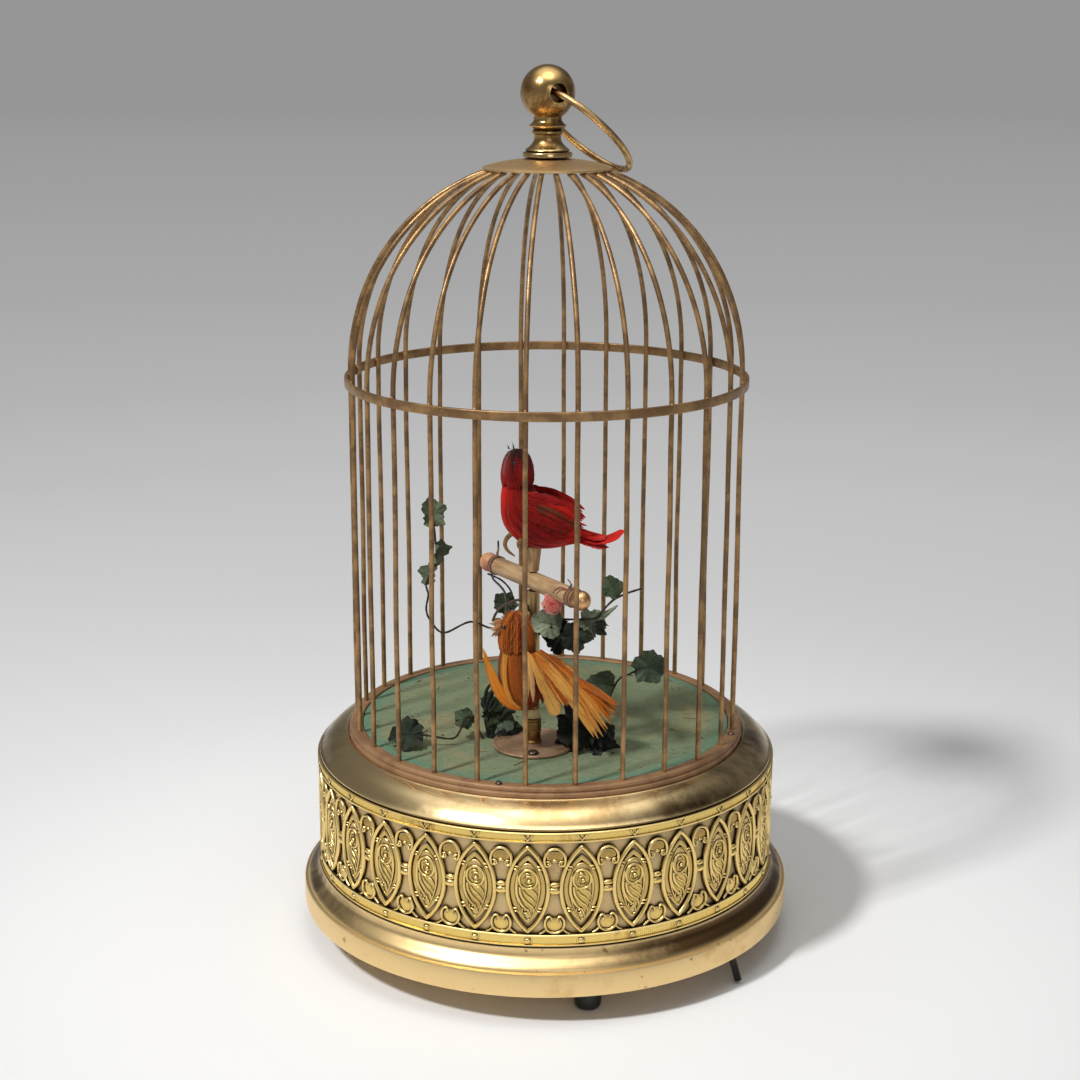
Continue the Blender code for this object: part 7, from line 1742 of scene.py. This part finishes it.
sprig("floor_sprig_left_cloth", [
    twig(((-20.2, -22.0, F), (-23.0, -23.0, F + 6.0), (-25.5, -24.0, F + 7.8), (-29.0, -27.5, F + 2.2),
          (-36.0, -29.0, F + 3.2), (-40.0, -29.6, F + 4.2))),
    cloth_leaf((-38.2, -29.4, F + 4.1), (-1, -0.1, 0.05), (0.1, -0.8, 0.8), 11.0, LEAF_DARK, 5, 1.3),
    cloth_leaf((-23.2, -23.3, F + 4.6), (-0.75, 0.2, 0.6), (0.3, -1, 0.2), 7.0, LEAF_GREEN, 6, 1.2),
    twig(((-18.6, -20.4, F), (-19.6, -21.0, F + 8), (-19.4, -21.6, F + 15), (-17.4, -22.0, F + 18.4),
          (-15.2, -22.2, F + 16.6), (-16.0, -22.4, F + 12.0), (-18.0, -22.4, F + 9.4), (-17.2, -22.2, F + 13.0),
          (-14.0, -22.0, F + 14.4)), 0.5, LEAF_DARK),
    blade(((-18.0, -20.6, F), (-18.8, -21.2, F + 7), (-18.4, -22.2, F + 13), (-16.2, -22.8, F + 17.6)), 1.0, LEAF_DARK,
          61),
    blade(((-17.6, -20.0, F), (-16.6, -20.6, F + 7), (-14.4, -21.4, F + 12.6), (-11.6, -22.0, F + 13.6)), 1.2,
          LEAF_GREY, 62),
    blade(((-17.0, -20.4, F), (-15.0, -21.0, F + 5), (-12.2, -21.6, F + 9), (-9.6, -22.0, F + 9.0)), 1.3, LEAF_DARK,
          63),
    blade(((-19.0, -21.0, F), (-16.0, -21.6, F + 1.6), (-12.6, -22.0, F + 3.2), (-9.4, -22.0, F + 2.6)), 1.5,
          LEAF_BLACK, 64, (0, -0.6, 1)),
    cloth_leaf((-17.6, -20.8, F + 2.0), (0.62, 0, 0.75), (0.1, -1, 0.2), 9.0, LEAF_GREY, 65, 1.6, 0.4, 0.4),
    cloth_leaf((-18.2, -20.8, F + 1.0), (0.95, -0.1, 0.30), (0.1, -0.8, 0.6), 10.0, LEAF_DARK, 66, 1.8, 0.3, 0.4),
    cloth_leaf((-18.4, -21.0, F + 6.0), (0.10, 0, 1.0), (0.6, -1, 0.1), 8.0, LEAF_DARK, 67, 1.8, 0.6, 0.4),
], "floor_sprig_left")
sprig("floor_sprig_right_cloth", [
    twig(((15.4, -30.0, F), (15.8, -20.0, F + 1.2), (16.0, -12.0, F + 1.4), (20.5, -6.0, F + 7.0),
          (24.0, -1.0, F + 12.5), (28.0, 0.0, F + 14.5), (30.0, 0.0, F + 15.6))),
    cloth_leaf((28.6, 0.0, F + 14.8), (0.95, 0, 0.35), (0.1, -1, 0.3), 11.5, LEAF_GREY, 7, 1.6),
    cloth_leaf((23.4, -2.5, F + 11.0), (-1.0, 0.1, 0.15), (0.2, -0.8, 0.6), 9.5, LEAF_GREEN, 8, 0.8, lobes=3),
    *[cloth_leaf(*leaf, LEAF_BLACK, 70 + k, 1.9, 0.45, 0.45) for k, leaf in enumerate((
        ((12.6, -30.6, F + 1.0), (-0.62, 0, 0.80), (0.3, -1, 0.2), 11.0),
        ((13.0, -31.2, F + 2.0), (-0.30, 0, 0.95), (-0.3, -1, 0.2), 12.0),
        ((13.6, -31.6, F + 1.0), (0.15, 0, 1.0), (0.2, -1, 0.3), 10.5),
        ((14.2, -31.4, F + 0.8), (0.62, 0, 0.62), (0.1, -1, 0.4), 9.0),
        ((13.4, -32.0, F + 0.6), (0.95, -0.1, 0.16), (0.0, -0.7, 0.8), 9.5),
        ((12.8, -32.0, F + 0.5), (-0.95, 0, 0.30), (0.2, -0.8, 0.7), 9.0)))],
    *[blade(points, 1.5, (0.013, 0.015, 0.022), 80 + k) for k, points in enumerate((
        ((14.0, -31.0, F), (16.0, -31.4, F + 4.5), (18.4, -31.6, F + 5.4), (20.6, -31.6, F + 3.2)),
        ((14.4, -31.4, F), (17.0, -32.0, F + 2.2), (19.4, -32.2, F + 2.4), (21.4, -32.0, F + 0.9)),
        ((13.0, -30.8, F), (10.4, -31.4, F + 7.0), (8.0, -31.8, F + 12.0), (6.2, -31.8, F + 15.4)),
        ((13.4, -31.4, F), (12.0, -32.2, F + 6.0), (11.6, -32.4, F + 11.0), (13.0, -32.2, F + 14.0))))],
], "floor_sprig_right")
sprig("perch_sprig_cloth", [
    twig(((-2.15, -29.1, P - 17.2), (-1.9, -29.3, P - 13.8), (2.0, -31.4, P - 11.2), (6.4, -35.0, P - 10.2),
          (11.0, -40.6, P - 8.4), (15.2, -45.6, P - 6.4), (17.6, -46.6, P - 3.2), (20.6, -46.0, P - 0.4),
          (25.0, -45.4, P + 1.6), (29.0, -45.0, P + 2.8))),
    cloth_leaf((21.4, -46.0, P - 0.2), (-0.35, 0, 1), (0.2, -1, 0.1), 7.0, LEAF_GREEN, 9, 1.0, lobes=4),
    cloth_leaf((5.6, -35.8, P - 12.4), (-0.93, 0, 0.20), (0.1, -1, 0.5), 10.0, LEAF_PALE, 10, 1.0, 0.3, 0.1, 3),
    cloth_leaf((9.8, -40.2, P - 8.6), (0.85, -0.1, -0.12), (0.1, -1, 0.7), 8.4, LEAF_PALE, 11, 1.6, 0.5, 0.3),
    cloth_leaf((15.4, -45.7, P - 6.4), (-0.15, 0.1, -1.0), (0.9, -1, 0.1), 6.6, LEAF_DARK, 12, 2.4, 0.9),
    cloth_leaf((7.4, -36.6, P - 9.9), (0.32, -0.2, -0.95), (0.3, -1, 0.3), 10.0, LEAF_DARK, 13, 1.8),
    cloth_leaf((2.6, -31.8, P - 11.1), (0.22, -0.2, -1.0), (0.5, -1, 0.1), 10.5, LEAF_BLACK, 14, 2.0, 0.5),
    cloth_leaf((3.4, -33.0, P - 12.0), (-0.45, -0.2, -0.9), (-0.3, -1, 0.2), 7.0, LEAF_DARK, 15, 1.8, 0.4),
    blade(((13.6, -44.4, P - 7.6), (16.0, -46.0, P - 6.4), (18.6, -46.6, P - 4.6), (21.8, -46.0, P - 2.2)), 0.8,
          LEAF_PALE, 16, cup=1.2),
], "perch_sprig")

# Rose: a small flower of coral cloth, its petals stamped, rolled round a bud and ruffled.
# It is glued under the near part of the perch.
rose_low, rose_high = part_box("rose")
rose_middle = (rose_low + rose_high) / 2 / MM + Vector((1.4, -0.8, 1.9))
rose_radius = (rose_high.x - rose_low.x) / 2 / MM + 0.4
CORAL, BLUSH, CREAM = (0.74, 0.110, 0.080), (0.80, 0.235, 0.190), (0.85, 0.50, 0.43)
outlook = Vector((0.05, -0.97, 0.22)).normalized()
cross = outlook.cross(Vector((0, 0, 1))).normalized()
rise = cross.cross(outlook)
parts = []
rows, columns = 8, 11
for k in range(21):
    layer = k / 20
    rim_reach = 0.03 + 0.87 * layer
    rim_height = 0.62 * sqrt(max(0.0, 1.0 - rim_reach ** 2))
    angle = 2.4 * k
    vertices, dyes, uvs = [], [], []
    for side in (0, 1):
        for t in [i / (rows - 1) for i in range(rows)]:
            upright, roll = min(1.0, t / 0.72), max(0.0, t - 0.72) / 0.28
            for v in [2 * j / (columns - 1) - 1 for j in range(columns)]:
                bearing = angle + v * (1.9 - 1.05 * layer)
                away = rim_reach * (0.55 + 0.45 * upright) + 0.11 * roll + 0.02 * side
                away += 0.03 * roll * sin(9 * v + angle) + 0.02 * sin(5 * v + 3 * angle)
                depth = -0.5 + (rim_height + 0.5) * upright - 0.07 * roll ** 2 - 0.10 * v * v * t
                depth += 0.035 * roll * sin(6 * v + 2 * angle)
                round_bud = (cross * cos(bearing) + rise * sin(bearing)) * away
                vertices.append(rose_middle + (round_bud + outlook * depth) * rose_radius)
                cream = roll * (0.25 + 0.75 * layer) * (0.4 + 0.6 * abs(v))
                dyes.append(tinted(tinted(CORAL, BLUSH, layer * 0.9 * t), CREAM, cream))
                uvs.append((t, 0.5 + 0.5 * v))
    parts.append((vertices, sheet_faces(rows, columns), dyes, uvs))
petal_cloth, tree, place, dye, _, _ = dyed_material("petal_cloth")
weave = speckle(tree, place, 1600.0, 2.0)
stain = plus(tree, speckle(tree, place, 420.0, 3.0), times(tree, weave, 0.3))
colour = blend(tree, spread(tree, stain, 0.55, 0.85), dye, toned(tree, dye, 1.1, 0.62))
close_material(tree, colour, 0.7, (0.3, 0.0002, weave), Sheen_Weight=0.25)
fit(mended(dyed("rose_petals", parts, petal_cloth)), "base", "rose_cloth", "rose")

# Movement: a clockwork of lacquered brass plates and polished steel arbors between the bottom plate and the floor
# board, with a blued mainspring, wooden wind chest and bellows covered in kid, and a brass whistle with its piston.
for finish, names in (
        (brass("movement_lacquer", (0.72, 0.52, 0.23), (0.42, 0.27, 0.11), 40.0, 0.66, 0.12, 0.24, 0.38, 0.3, 0.15),
         ("frame_plate_lower", "frame_plate_upper", "mainspring_barrel")),
        (brass("wheel_brass", (0.76, 0.55, 0.25), (0.44, 0.28, 0.11), 70.0, 0.68, 0.12, 0.20, 0.34, 0.6, 0.1),
         ("governor_fly", "winding_key", "crank_arbor")),
        (brass("whistle_brass", (0.62, 0.43, 0.18), (0.30, 0.18, 0.07), 90.0, 0.58, 0.14, 0.26, 0.42, 0.5, 0.3),
         ("whistle_tube", "whistle_piston")),
        (coated("arbor_steel", (0.44, 0.43, 0.42), (0.20, 0.17, 0.15), 150.0, 0.26, metallic=1.0, bump=0.12,
                shift=0.58),
         ("winding_arbor", "ratchet_click", "head_lever", "turning_rod", "cam_stack")),
        (coated("spring_blue", (0.040, 0.052, 0.095), (0.10, 0.060, 0.035), 130.0, 0.28, metallic=1.0, bump=0.1,
                shift=0.58), ("mainspring",)),
        (coated("lever_black", (0.020, 0.019, 0.018), (0.075, 0.060, 0.048), 260.0, 0.40, metallic=0.6, bump=0.2,
                shift=0.56), ("start_stop_lever",)),
        (coated("chest_pear_wood", (0.40, 0.235, 0.115), (0.26, 0.14, 0.065), 70.0, 0.55, grain=(0.5, 5.0, 5.0),
                bump=0.3), ("wind_chest", "bellows_board")),
        (coated("kid_leather", (0.56, 0.37, 0.23), (0.30, 0.175, 0.095), 330.0, 0.72, sheen=0.2, bump=0.6),
         ("bellows_leather",))):
    for name in names:
        slots = nodes[name].data.materials
        for slot in range(len(slots)):
            slots[slot] = finish
